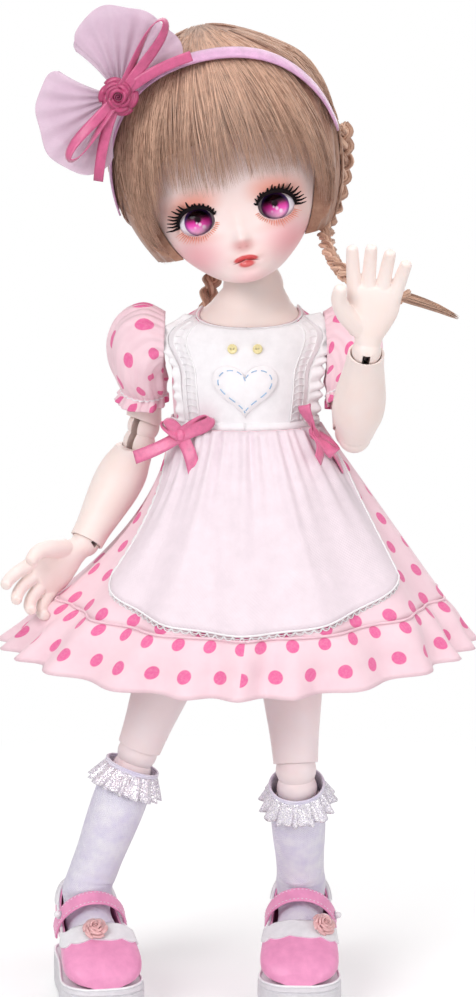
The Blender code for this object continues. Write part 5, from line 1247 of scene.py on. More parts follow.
# Cloth of the dress, in millimetres where a name ends in no unit
WAIST_RISE = 46.7 * MM
SKIRT_SIDE_SHIFT = 2.1 * MM
SKIRT_WAIST = (22 * MM, 17.5 * MM)
SEAM_HALF = (58 * MM, 46 * MM)
HEM_HALF = (69.5 * MM, 52 * MM)
SEAM_DROP = 56 * MM
SEAM_SIDE_LIFT = 5 * MM
HEM_DROP = 71.9 * MM
HEM_SIDE_LIFT = 6.6 * MM
PULLED_SHARE = 0.1
NECKLINE_RISE = 80.5 * MM
NECKLINE_SLOPES = (0.42, 0.1)
ARMHOLE_RADIUS = 9.4 * MM


def folds(angle, share, seed, count):
    """Uneven gathers: many at the waist that join into fewer, deeper folds lower down."""
    wave = math.cos(count * angle + 0.9 * math.sin(3 * angle + seed))
    fine = math.cos(2.3 * count * angle + 1.3 * math.sin(2 * angle + 2 * seed))
    return wave * share ** 0.7 + 0.35 * fine * (1 - share) ** 1.5


def skirt_point(angle, share, lift=0.0):
    """A point of the skirt's cloth: the angle runs from the front, the share from the waist to the seam."""
    side = math.sin(angle)
    front = math.cos(angle)
    pulled = max(0.0, -side) ** 2
    grow = share ** (1 + pulled) * (1 - PULLED_SHARE * pulled)
    fold = 1.45 * MM * folds(angle, share, 0.4, 14) + lift
    half_width = SKIRT_WAIST[0] + (SEAM_HALF[0] - SKIRT_WAIST[0]) * grow + fold
    half_depth = SKIRT_WAIST[1] + (SEAM_HALF[1] - SKIRT_WAIST[1]) * share + fold
    drop = (SEAM_DROP - SEAM_SIDE_LIFT * side * side) * share
    return Vector((half_width * side, -half_depth * front, WAIST_RISE - 0.3 * MM - drop))


def flounce_point(angle, share):
    """A point of the gathered hem flounce, from the seam down."""
    side = math.sin(angle)
    front = math.cos(angle)
    ripple = 2.3 * MM * (0.25 + 0.75 * share) * math.cos(23 * angle + 1.3 * math.sin(5 * angle))
    ripple += 0.8 * MM * math.sin(math.pi * min(1.0, 1.6 * share))
    top = skirt_point(angle, 1.0)
    seam = SEAM_HALF[0] - (SEAM_HALF[0] - SKIRT_WAIST[0]) * PULLED_SHARE * max(0.0, -side) ** 2
    half_width = seam + (HEM_HALF[0] - seam) * share + ripple
    half_depth = SEAM_HALF[1] + (HEM_HALF[1] - SEAM_HALF[1]) * share + ripple
    base = 1.45 * MM * folds(angle, 1.0, 0.4, 14) * (1 - share)
    drop_top = WAIST_RISE - 0.3 * MM - top.z
    drop = drop_top + (HEM_DROP - HEM_SIDE_LIFT * side * side - drop_top) * share
    return Vector(((half_width + base) * side - SKIRT_SIDE_SHIFT * share, -(half_depth + base) * front,
                   WAIST_RISE - 0.3 * MM - drop))


def turned(grid, turn):
    return [[turn @ point for point in row] for row in grid]


def outward_ways(line, turn):
    """Level directions away from a frame's upright axis, one for each point of a line."""
    middle = turn.to_translation()
    return [Vector((point.x - middle.x, point.y - middle.y, 0)).normalized() for point in line]


def ruffle(line, away, outward_way, width, waves, depth, name, look, thickness=0.25 * MM, rows=5,
           flare=1.0):
    """A gathered strip off a line; away and outward_way hold a direction for each point."""
    grid = []
    last = len(line) - 1
    for row in range(rows + 1):
        share = row / rows
        line_points = []
        for k, point in enumerate(line):
            phase = math.tau * waves * k / last + 0.9 * math.sin(0.37 * k)
            wave = math.cos(phase) * depth * share ** 0.8 * flare
            line_points.append(point + away[k] * (width * share) + outward_way[k] * wave)
        grid.append(line_points)
    item = sheet_piece(name, grid, look, (dims(grid)[0] / MM, width / MM), thickness=thickness)
    declare(grid)
    return item


def make_skirts(cotton):
    turn = torso_frame()
    grid = [[skirt_point(math.tau * k / 336, row / 34) for k in range(336)] for row in range(35)]
    item = sheet_piece("skirt", turned(grid, turn), cotton, (330, 62), closed=True, thickness=0.5 * MM)
    declare(grid, True)
    place(item, "torso", "dress_skirt", slot="pink_dot_cotton")
    grid = [[flounce_point(math.tau * k / 420, row / 12) for k in range(420)] for row in range(13)]
    item = sheet_piece("hem_flounce", turned(grid, turn), cotton, (430, 18), closed=True,
                       thickness=0.5 * MM,
                       shift=(0, 7))
    declare(grid, True)
    place(item, "torso", "dress_flounce", slot="pink_dot_cotton")
    seam = Bundle()
    line = [turn @ (flounce_point(math.tau * k / 420, 0.0) + Vector((0, 0, 0.2 * MM))) for k in range(421)]
    seam.tube([point + way * 0.35 * MM for point, way in zip(line, outward_ways(line, turn))], 0.42 * MM, 6)
    item = seam.make("flounce_seam", cotton_look("seam cord", "#F2CBD6"))
    place(item, "torso", slot="pink_dot_cotton")


def bodice_grid(grow, low, high, rows, columns, start=0.0, end=math.tau, closed=True):
    steps = columns if closed else columns - 1
    grid = []
    for row in range(rows + 1):
        share = (low + (high - low) * row / rows) / TORSO_LENGTH
        grid.append([torso_point(start + (end - start) * k / steps, share, grow) for k in range(columns)])
    return grid


def make_bodice(cotton, lace):
    turn = torso_frame()
    grid = bodice_grid(0.95 * MM, WAIST_RISE - 1.2 * MM, 81.5 * MM, 46, 160)
    for row in grid:
        for k, point in enumerate(row):
            angle = math.tau * k / 160
            gather = math.exp(-((point.z - WAIST_RISE) / (7 * MM)) ** 2)
            push = 0.22 * MM * math.cos(26 * angle) * gather
            point.x += push * math.sin(angle)
            point.y -= push * math.cos(angle)
    item = sheet_piece("bodice", turned(grid, turn), cotton, (118, 37), closed=True, thickness=0.5 * MM)
    for sign in (-1, 1):
        cut(item, ball_piece(ARMHOLE_RADIUS, (sign * SHOULDER_HALF_SPACING, 0, TORSO_LENGTH), turn))
    wide = 2 * CHEST[0]
    front, back = NECKLINE_SLOPES
    outline = [(-wide, NECKLINE_RISE - wide * front), (0, NECKLINE_RISE),
               (wide, NECKLINE_RISE - wide * back),
               (wide, 2 * NECKLINE_RISE), (-wide, 2 * NECKLINE_RISE)]
    cut(item, prism_piece(outline, wide, turn))
    declare(grid, True)
    place(item, "torso", "dress_bodice", slot="pink_dot_cotton")
    line = []
    for k in range(121):
        angle = math.tau * k / 120
        side = 1 if math.cos(angle) > 0 else 0
        low, high = 0.9, 1.16
        for _ in range(24):
            share = (low + high) / 2
            point = torso_point(angle, share, 1.25 * MM)
            limit = NECKLINE_RISE + point.y * (front if side else -back)
            low, high = (share, high) if point.z < limit else (low, share)
        line.append(turn @ point)
    trim = Bundle()
    trim.tube(line, 0.28 * MM, 8)
    item = trim.make("neckline_binding", lace)
    place(item, "torso", slot="white_apron_cotton")


SLEEVE_SHARES = (
    (-0.80, 1.30, -0.80, -1.30, 1.30), (0.25, 1.72, -0.92, -1.50, 1.50), (1.28, 1.19, -0.97, -1.69, 1.60),
    (1.72, 0.08, -0.99, -1.91, 1.63), (1.66, -1.17, -0.99, -2.19, 1.56), (1.35, -2.06, -0.99, -2.44, 1.35),
    (1.07, -2.66, -0.99, -2.66, 1.07), (1.38, -3.12, -1.04, -3.12, 1.38),
)


def sleeve_frame(side):
    """Frame of the shoulder after its swing and spread."""
    sign = SIDES[side]
    down = joint_axis(f"{side}_shoulder_twist", sign)
    y = joint_axis(f"{side}_shoulder_spread", -sign)
    x = y.cross(down)
    return axes_frame(joint_place(f"{side}_shoulder_twist"), x, down)


def make_sleeve(side, cotton, lace):
    """A gathered puff with a ruffled cuff below its elastic, its cap set into the armhole."""
    sign = SIDES[side]
    turn = sleeve_frame(side)
    size = SHOULDER_BALL
    columns = 150
    rows = catmull(SLEEVE_SHARES, 6)
    grid = []
    for index, (top_x, top_z, low_x, low_z, depth) in enumerate(rows):
        along = index / (len(rows) - 1)
        top = Vector((sign * top_x, 0, top_z)) * size
        low = Vector((sign * low_x, 0, low_z)) * size
        centre = (top + low) / 2
        half = (top - low) / 2
        tight = math.exp(-((along - 0.86) / 0.10) ** 2) + 0.7 * math.exp(-(along / 0.14) ** 2)
        soft = math.sin(math.pi * min(1.0, along / 0.86)) ** 2 if along < 0.86 else 1.0
        line = []
        for k in range(columns):
            angle = math.tau * k / columns
            crimp = 0.035 * math.cos(22 * angle + 0.8 * math.sin(3 * angle)) * (0.4 + tight)
            puff = 0.07 * math.cos(8 * angle + 1.7 * math.sin(2 * angle + sign) + 2.2 * along) * soft
            puff += 0.035 * math.cos(5 * angle - 9 * along + sign) * soft
            point = centre + half * math.cos(angle) + Vector((0, depth * size * math.sin(angle), 0))
            line.append(point + (point - centre) * (crimp + puff - 0.045))
        grid.append(line)
    item = sheet_piece(f"{side}_puff_sleeve", turned(grid, turn), cotton, (76, 33), closed=True,
                       thickness=0.45 * MM, shift=(3 * sign, 0))
    declare(grid, True)
    place(item, f"{side}_shoulder_b", f"{side}_sleeve", slot="pink_dot_cotton")
    cuff = Bundle()
    row = grid[round(0.86 * (len(rows) - 1))]
    centre = sum(row, Vector()) / columns
    ring_line = [turn @ (centre + (point - centre) * 1.03) for point in row]
    cuff.tube(ring_line + [ring_line[0]], 0.32 * MM, 6)
    item = cuff.make(f"{side}_sleeve_elastic", lace)
    place(item, f"{side}_shoulder_b", slot="pink_dot_cotton")


def make_apron(voile, lace, cotton_white):
    turn = torso_frame()
    grid = []
    columns = 140
    rows = 30
    for row in range(rows + 1):
        line = []
        for k in range(columns + 1):
            side = 2 * k / columns - 1
            reach = 72 - 13 * row / rows
            angle = math.radians(side * reach)
            end = 0.97 - 0.17 * side * side
            share = end * row / rows
            gather = 0.55 * MM * math.cos(48 * math.radians(side * reach) + 1.2 * math.sin(4 * side))
            gather *= math.exp(-((row / rows - 0.05) / 0.35) ** 2)
            crease = 0.0
            for at, lean in ((-0.20, 0.10), (0.24, 0.16)):
                crease += math.exp(-((side - at - lean * row / rows) / 0.035) ** 2)
            lift = 1.25 * MM + gather + 0.55 * MM * crease * math.sin(math.pi * row / rows)
            line.append(skirt_point(angle, share, lift))
        grid.append(line)
    item = sheet_piece("apron_skirt_cloth", turned(grid, turn), voile, (98, 50), thickness=0.3 * MM)
    declare(grid)
    place(item, "torso", "apron_skirt", slot="white_apron_cotton")
    edge = [row[0] for row in grid] + grid[-1][1:] + [row[-1] for row in reversed(grid)][1:]
    line = [turn @ point for point in edge]
    out = outward_ways(line, turn)
    band = Bundle()
    band.tube([p + o * 0.1 * MM for p, o in zip(line, out)], 0.42 * MM, 6, flat=0.7)
    total = 0.0
    spaced = [line[0]]
    outs = [out[0]]
    for first, second, way in zip(line, line[1:], out[1:]):
        total += (second - first).length
        if total >= 1.9 * MM:
            spaced.append(second)
            outs.append(way)
            total = 0.0
    for k, (first, second) in enumerate(zip(spaced, spaced[1:])):
        along = second - first
        side_way = along.normalized().cross(outs[k])
        if side_way.z > 0.2 or (abs(side_way.z) <= 0.2 and side_way.dot(first - turn @ grid[0][70]) < 0):
            side_way.negate()
        arch = [first + along * (0.5 - 0.5 * math.cos(math.pi * t / 6)) + side_way
                * (1.5 * MM * math.sin(math.pi * t / 6))
                for t in range(7)]
        band.tube(arch, 0.2 * MM, 4)
        band.tube([point + side_way * (-0.55 * MM * math.sin(math.pi * t / 6))
                   for t, point in enumerate(arch)], 0.13 * MM, 3)
    item = band.make("apron_lace_edge", lace)
    place(item, "torso", slot="white_apron_cotton")
    half = math.radians(BIB_REACH)
    bib = [[bib_point(2 * k / 89 - 1, r / 40, -0.25 * MM) for k in range(90)] for r in range(41)]
    for r, row in enumerate(bib):
        for k, point in enumerate(row):
            side = 2 * k / 89 - 1
            angle = half * side
            pleat = 0.0
            for at in (0.72, 0.86):
                pleat += 0.35 * MM * math.exp(-((abs(side) - at) / 0.035) ** 2)
            pleat += 0.12 * MM * math.cos(3.1 * r / 40 + 5 * side)
            point.x += pleat * math.sin(angle)
            point.y -= pleat * math.cos(angle)
    item = sheet_piece("bib", turned(bib, turn), cotton_white, (44, 30), thickness=0.45 * MM)
    declare(bib)
    place(item, "torso", "apron_bib", slot="white_apron_cotton")
    make_bib_trims(turn, lace, cotton_white)


BIB_REACH = 62


def bib_point(side_share, up_share, lift):
    """A point over the bib: side from -1 to 1, up from the waist to the neckline's curve."""
    angle = math.radians(BIB_REACH) * side_share
    low, high = 0.8, 1.2
    for _ in range(20):
        share = (low + high) / 2
        point = torso_point(angle, share, 2.0 * MM)
        limit = NECKLINE_RISE + point.y * NECKLINE_SLOPES[0] + 0.2 * MM
        low, high = (share, high) if point.z < limit else (low, share)
    bottom = (WAIST_RISE + 1.1 * MM) / TORSO_LENGTH
    return torso_point(angle, bottom + (low - bottom) * up_share, 2.0 * MM + lift)


def on_bib(turn, side_share, up_share, lift):
    return turn @ bib_point(side_share, up_share, lift)


def make_bib_trims(turn, lace, cotton_white):
    """Frills beside and over the bib, stitched bands, a felt heart and two buttons."""
    for sign, side in ((-1, "right"), (1, "left")):
        line = [on_bib(turn, sign * (0.84 + 0.16 * k / 60), k / 60, 0.2 * MM) for k in range(61)]
        out = [Vector((sign * 0.72, -0.69, 0)).normalized()] * 61
        across = [Vector((sign * 0.9, 0.25, 0.2)).normalized()] * 61
        width = 4.4 * MM if sign > 0 else 2.5 * MM
        item = ruffle(line, across, out, width, 9, 0.2 * width, f"{side}_bib_frill", lace)
        place(item, "torso", slot="white_apron_cotton")
        band = Bundle()
        for offset in (0.60, 0.78):
            path = [on_bib(turn, sign * (offset + 0.08 * k / 40), 0.02 + 0.96 * k / 40, 0.25 * MM)
                    for k in range(41)]
            band.tube(path, 0.3 * MM, 6, flat=0.8)
        for k in range(15):
            up = (k + 0.5) / 15
            path = [on_bib(turn, sign * (0.61 + 0.08 * up + 0.17 * t / 4),
                           up + 0.02 * math.sin(math.pi * t / 4),
                           0.3 * MM) for t in range(5)]
            band.tube(path, 0.18 * MM, 4)
        item = band.make(f"{side}_bib_lace", lace)
        place(item, "torso", slot="white_apron_cotton")
    line = [turn @ torso_point(math.tau * k / 160, (WAIST_RISE + 0.1 * MM) / TORSO_LENGTH, 2.2 * MM)
            for k in range(161)]
    band = Bundle()
    band.ribbon(line, Vector((0, 0, 1)), 3.4 * MM, curl=0.12)
    item = band.make("apron_waistband", cotton_white, 0.5 * MM)
    place(item, "torso", slot="white_apron_cotton")
    felt = cotton_look("white felt", "#F6F1F4", 1.2)
    outline = []
    for k in range(48):
        t = math.tau * k / 48
        x = 16 * math.sin(t) ** 3
        z = 13 * math.cos(t) - 5 * math.cos(2 * t) - 2 * math.cos(3 * t) - math.cos(4 * t)
        outline.append((x * 0.46, z * 0.56))

    def heart(scale, lift):
        return [on_bib(turn, x * scale / 19, 0.40 + z * scale / 30, lift) for x, z in outline]

    rings = [heart(1.0, 0.15 * MM), heart(1.02, 0.6 * MM), heart(0.94, 1.0 * MM), heart(0.5, 1.35 * MM),
             heart(0.04, 1.45 * MM)]
    item = lofted("felt_heart", rings, felt, sharp=60)
    place(item, "torso", slot="white_apron_cotton")
    thread = Bundle()
    sewn = catmull([tuple(point) for point in heart(0.82, 1.12 * MM)] + [tuple(heart(0.82, 1.12 * MM)[0])],
                   2)
    sewn = [Vector(point) for point in sewn]
    for k in range(0, len(sewn) - 3, 5):
        thread.tube(sewn[k:k + 4], 0.17 * MM, 5)
    item = thread.make("heart_stitches", cotton_look("blue thread", "#9FBFE0", 3))
    place(item, "torso", slot="white_apron_cotton")
    button = plain_look("butter buttons", "#F3E3A8", 0.3, coat=0.4)
    for index, (x, up) in enumerate(((-0.13, 0.80), (0.13, 0.80))):
        centre = on_bib(turn, x, up, 0.45 * MM)
        normal = (centre - on_bib(turn, x, up, -3 * MM)).normalized()
        tilt = normal.to_track_quat("Z", "Y").to_matrix().to_4x4()
        rings = [ring(-0.4 * MM, 1.35 * MM, 1.35 * MM, 28), ring(0.25 * MM, 1.45 * MM, 1.45 * MM, 28),
                 ring(0.45 * MM, 1.25 * MM, 1.25 * MM, 28), ring(0.25 * MM, 0.95 * MM, 0.95 * MM, 28),
                 ring(0.22 * MM, 0.05 * MM, 0.05 * MM, 28)]
        item = lofted(f"bib_button_{index}", rings, button, Matrix.Translation(centre) @ tilt)
        for hole in (-0.38, 0.38):
            cut(item, rod_piece((hole * MM, 0, -2 * MM), (hole * MM, 0, 2 * MM), 0.2 * MM,
                                Matrix.Translation(centre) @ tilt, 10))
        place(item, "torso", slot="white_apron_cotton")


# Wig, braids and the trims of the head
WIG_SHARES = (
    (0.178, 0.148, 0.370, -0.207, 0.356), (0.296, 0.296, 0.437, -0.385, 0.474),
    (0.444, 0.444, 0.481, -0.452, 0.541),
    (0.622, 0.622, 0.496, -0.467, 0.563), (0.800, 0.785, 0.474, -0.430, 0.530),
    (0.963, 0.933, 0.400, -0.341, 0.444),
    (1.074, 1.037, 0.259, -0.200, 0.304),
)
WIG_POLE_SHARES = (1.145, 0.052)
BRAID_ROUTES = {
    "left": ((0.385, 0.059, 0.697), (0.393, 0.104, 0.548), (0.369, 0.104, 0.4), (0.313, 0.0, 0.252),
             (0.341, -0.222, 0.134), (0.415, -0.378, 0.074), (0.526, -0.415, 0.03), (0.644, -0.356, -0.007),
             (0.778, -0.267, -0.059), (0.881, -0.207, -0.111)),
    "right": ((-0.156, 0.407, 0.208), (-0.17, 0.363, 0.097), (-0.185, 0.296, -0.007), (-0.2, 0.259, -0.118),
              (-0.182, 0.289, -0.281), (-0.17, 0.304, -0.4)),
}
WIG_TABLE = catmull(WIG_SHARES, 10)


def wig_skin(angle, share, lift=0.0):
    """A point over the wig: the angle runs from the face to the doll's left, the share to the crown."""
    place_along = min(max(share, 0.0), 1.0) * (len(WIG_TABLE) + 9)
    k = min(int(place_along), len(WIG_TABLE) - 1)
    size = HEAD_HEIGHT

    def at(row):
        front_z, back_z, half, front_y, back_y = row
        part = (1 - math.cos(angle)) / 2
        middle = (front_y + back_y) / 2 * size
        return Vector(((half * size + lift) * math.sin(angle),
                       middle - ((back_y - front_y) / 2 * size + lift) * math.cos(angle),
                       (front_z + (back_z - front_z) * part) * size))

    if k < len(WIG_TABLE) - 1:
        return at(WIG_TABLE[k]).lerp(at(WIG_TABLE[k + 1]), place_along - k)
    over = (place_along - (len(WIG_TABLE) - 1)) / 10
    edge = at(WIG_TABLE[-1])
    pole = Vector((0, WIG_POLE_SHARES[1] * size, WIG_POLE_SHARES[0] * size + lift))
    flat = edge.lerp(pole, over)
    flat.z = edge.z + (pole.z - edge.z) * math.sin(over * math.pi / 2)
    return flat


# The wig's opening for the face, in millimetres seen from the front
WIG_WINDOW = (
    (-44, -8), (44, -8), (44, 15), (34, 17), (33, 22), (28, 36), (18, 44), (0, 47), (-16, 44), (-24, 36),
    (-25.5, 25), (-29, 19), (-44, 16),
)


def make_wig_cap(look):
    turn = head_frame()
    rings = []
    for row in range(60):
        share = row / 59
        line = []
        for k in range(200):
            angle = math.tau * k / 200
            lock = 0.28 * MM * math.sin(31 * angle + 3 * math.sin(4 * share + angle)) * (1 - share ** 4)
            line.append(wig_skin(angle, min(share, 0.995), lock - 0.25 * MM))
        rings.append(line)
    item = lofted("wig_cap", rings, look, turn)
    cut(item, lofted("cutter", head_rings(HEAD_SHARES, HEAD_POLE_SHARES, 0.35 * MM, (), 3, 72), None, turn))
    reach = HEAD_HEIGHT
    corners = [(-reach, -reach), (reach, -reach), (reach, reach), (-reach, reach)]
    rings = [[Vector((x, y, z)) for x, y in corners] for z in (-reach, 0.19 * HEAD_HEIGHT)]
    cut(item, lofted("cutter", rings, None, turn))
    outline = [(x * MM, z * MM) for x, z in WIG_WINDOW]
    cut(item, prism_piece(outline, 16 * MM, turn @ Matrix.Translation((0, -24 * MM, 0)), "Y"))
    finish_item(item, look, 60)
    return place(item, "head", "wig")


def lock(bundle, points, width, tone, sides=3):
    count = len(points)
    radii = []
    for k in range(count):
        share = k / (count - 1)
        radii.append(width / 2 * (0.55 + 0.45 * math.sin(math.pi * min(1, share * 1.25 + 0.12))) *
                     (1.0 if share < 0.75 else 1.0 - 0.8 * (share - 0.75) / 0.25))
    bundle.tube(points, radii, sides, tone)


def make_strands(look):
    """Combed strands: a fringe over the brow, locks beside the face, and the rest swept to the braids."""
    settings = bpy.context.scene.doll_hair
    turn = head_frame()
    random.seed(11)
    total = settings.strands
    width = settings.strand_width
    fringe = Bundle()
    for index in range(int(total * 0.38)):
        angle = math.radians(random.uniform(-66, 66))
        lane = abs(math.degrees(angle))
        end = 0.325 + random.uniform(-0.025, 0.03) + 0.015 * math.sin(9 * angle)
        if lane > 34:
            end -= (0.30 if angle < 0 else 0.24) * ((lane - 34) / 32) ** 1.2
        sweep_angle = angle + math.radians(random.uniform(-4, 4)) + 0.12 * math.sin(angle)
        start = random.uniform(0.80, 0.985)
        lift = random.uniform(0.0, 0.75) * MM
        tone = random.random()
        path = []
        for k in range(11):
            t = k / 10
            a = angle * (0.55 + 0.45 * t) + (sweep_angle - angle) * t + 0.02 * math.sin(5 * t + 20 * angle)
            share = start + (end - start) * t
            in_curl = -1.3 * MM * max(0.0, (t - 0.72) / 0.28) ** 2
            path.append(turn @ wig_skin(a, share, lift + in_curl))
        lock(fringe, path, width * random.uniform(0.7, 1.25), tone)
    sides = Bundle()
    for index in range(int(total * 0.10)):
        sign = random.choice((-1, 1))
        angle = sign * math.radians(random.uniform(58, 78) if sign < 0 else random.uniform(72, 104))
        low = random.uniform(0.0, 0.08) + (0.09 if sign > 0 else 0.02)
        tone = random.random()
        lift = random.uniform(0.0, 0.7) * MM
        path = []
        for k in range(12):
            t = k / 11
            a = angle * (0.62 + 0.38 * math.sin(math.pi / 2 * t)) + sign * 0.05 * math.sin(4 * t + index)
            share = 0.9 + (low - 0.9) * t
            path.append(turn @ wig_skin(a, share, lift - 1.6 * MM * t * t))
        lock(sides, path, width * random.uniform(0.6, 1.1), tone)
    back = Bundle()
    roots = {"left": (math.radians(84), 0.47), "right": (math.radians(-158), 0.04)}
    for index in range(total - int(total * 0.48)):
        side = "left" if random.random() < 0.45 else "right"
        tone = random.random()
        lift = random.uniform(0.0, 0.6) * MM
        root_angle, root_share = roots[side]
        if side == "left":
            start_share = random.uniform(0.0, 0.985)
            start_angle = math.radians(random.uniform(58 if start_share > 0.7 else 80, 182))
        else:
            start_angle = -math.radians(random.uniform(58, 182))
            start_share = random.uniform(0.35, 0.985)
        path = []
        for k in range(13):
            t = k / 12
            a = start_angle + (root_angle - start_angle) * t ** 1.35 + 0.03 * math.sin(5 * t + index)
            share = start_share + (root_share - start_share) * t
            arch = 0.10 * math.sin(math.pi * t) * (1 if start_share > 0.5 else -0.4)
            if side == "right":
                arch = 0.0
            path.append(turn @ wig_skin(a, min(0.985,
                                               share + arch * (1 - abs(root_angle - start_angle) / 4)),
                                        lift + 0.4 * MM * math.sin(math.pi * t)))
        lock(back, path, width * random.uniform(0.7, 1.3), tone)
    for bundle, name in ((fringe, "fringe_hair"), (sides, "side_locks"), (back, "swept_hair")):
        item = bundle.make(name, look)
        place(item, "head", slot="light_brown_mohair")


def upright(shares):
    """Points given in head heights from the neck's joint, standing upright."""
    return [joint_place("neck_nod") + Vector(point) * HEAD_HEIGHT for point in shares]


LOOSE_HAIRS = 150


def make_braid(side, look):
    """Three plaits of several strands each and a loose tuft, with a tie on the right braid only."""
    random.seed(5)
    route = upright(BRAID_ROUTES[side])
    tail_from = 8 if side == "left" else len(route)
    path = curve_through(route[:tail_from], 14)
    length = sum((b - a).length for a, b in zip(path, path[1:]))
    bundle = Bundle()
    frames = []
    normal = None
    for k, point in enumerate(path):
        along = (path[min(k + 1, len(path) - 1)] - path[max(k - 1, 0)]).normalized()
        normal = (along.orthogonal() if normal is None else normal - along * normal.dot(along)).normalized()
        frames.append((point, normal.copy(), along.cross(normal)))
    travelled = [0.0]
    for a, b in zip(path, path[1:]):
        travelled.append(travelled[-1] + (b - a).length)
    pitch = 13.5 * MM
    for plait in range(3):
        for strand in range(7):
            spin = math.tau * strand / 7 + plait
            reach = 0.95 * MM if strand else 0.0
            tone = random.random()
            points = []
            for k, (point, first, second) in enumerate(frames):
                phase = math.tau * (travelled[k] / pitch + plait / 3)
                slim = 1 - 0.18 * travelled[k] / length
                x = 2.15 * MM * math.sin(phase) * slim
                y = 1.0 * MM * math.sin(2 * phase) * slim
                roll = spin + 0.6 * math.sin(phase)
                points.append(point + first * (x + reach * math.cos(roll) * slim)
                              + second * (y + reach * math.sin(roll) * slim))
            bundle.tube(points, [0.52 * MM * (1 - 0.2 * t / length) for t in travelled], 6, tone)
    end, first, second = frames[-1]
    along = (path[-1] - path[-3]).normalized()
    loose = route[tail_from - 1:] if side == "left" else [end, end + along * 4 * MM, end + along * 8 * MM]
    loose = curve_through([loose[0] - along * 2 * MM] + loose, 5)
    for _ in range(LOOSE_HAIRS):
        spin = math.tau * random.random()
        reach = 1.55 * MM * math.sqrt(random.random())
        full = random.uniform(0.72, 1.0)
        points = []
        for k in range(9):
            place_along = full * k / 8 * (len(loose) - 1)
            n = min(int(place_along), len(loose) - 2)
            swell = reach * (0.8 + 0.5 * math.sin(math.pi * k / 8) - 0.35 * k / 8)
            points.append(loose[n].lerp(loose[n + 1], place_along - n) + first * (swell * math.cos(spin))
                          + second * (swell * math.sin(spin) * 0.8))
        bundle.tube(points, [0.17 * MM] * 6 + [0.14 * MM, 0.1 * MM, 0.03 * MM], 3, random.random())
    item = bundle.make(f"{side}_plait", look)
    place(item, "head", f"{side}_braid", slot="light_brown_mohair")
    if side == "left":
        return
    tie = Bundle()
    for turn_index in range(4):
        centre = end - along * (1.6 + 0.5 * turn_index) * MM
        line = [centre + (first * math.cos(math.tau * k / 24) + second * math.sin(math.tau * k / 24))
                * 2.35 * MM
                for k in range(25)]
        tie.tube(line, 0.3 * MM, 6)
    item = tie.make(f"{side}_plait_tie", satin_look(f"{side} tie band", "#E58FB6"))
    place(item, "head", slot="orchid_satin")


# Where the headband's slanting line begins, in head heights from the head's middle
BAND_FRONT = -0.285


def band_line(lift, shift):
    """The headband's line over the wig, in the head's frame."""
    size = HEAD_HEIGHT
    front = BAND_FRONT * size
    points = []
    across = Vector((0, 1, 0.5)).normalized()
    for k in range(81):
        angle = math.radians(-96 + 173 * k / 80)
        low, high = 0.0, 1.3 * size
        for _ in range(26):
            reach = (low + high) / 2
            x = math.sin(angle) * reach
            z = 0.5 * size + math.cos(angle) * reach
            y = front + 0.5 * (size - z)
            inside = False
            for first, second in zip(WIG_TABLE, WIG_TABLE[1:]):
                if first[0] * size <= z < second[0] * size:
                    t = (z / size - first[0]) / (second[0] - first[0])
                    half, front_y, back_y = (first[n] + (second[n] - first[n]) * t for n in (2, 3, 4))
                    inside = (x / (half * size)) ** 2 + ((y - (front_y + back_y) / 2 * size)
                                                         / ((back_y - front_y) / 2 * size)) ** 2 < 1
            low, high = (reach, high) if inside or z < WIG_TABLE[0][0] * size else (low, reach)
        reach = low + lift
        z = 0.5 * size + math.cos(angle) * reach
        points.append(Vector((math.sin(angle) * reach, front + 0.5 * (size - z), z)) + across * shift)
    return points


def make_headband(look):
    turn = head_frame()
    grid = []
    for row in range(7):
        shift = (row / 6 - 0.5) * 6.2 * MM
        dome = 0.35 * MM * (1 - (2 * row / 6 - 1) ** 2)
        grid.append([turn @ point for point in band_line(1.15 * MM + dome, shift)])
    item = sheet_piece("satin_headband", grid, look, (110, 3.6), thickness=0.5 * MM)
    declare(grid)
    place(item, "head", "headband", slot="orchid_satin")


def bow_cloth(name, turn, grids, look, body, slot, thickness, replaced=()):
    """Joins the loops and tails of a bow into one piece."""
    items = []
    area = 0.0
    width = 0.0
    length = 0.0
    for index, grid in enumerate(grids):
        across, along, part = dims(grid)
        area += part
        width = max(width, across)
        length += along
        items.append(sheet_piece(f"{name}_{index}", turned(grid, turn), look, (across / MM, along / MM),
                                 thickness=thickness))
    item = joined(name, items) if len(items) > 1 else items[0]
    item.name = name
    width = max(width, LEAST_SHEET)
    length = max(length, area / width)
    place(item, body, *replaced, slot=slot)
    return item


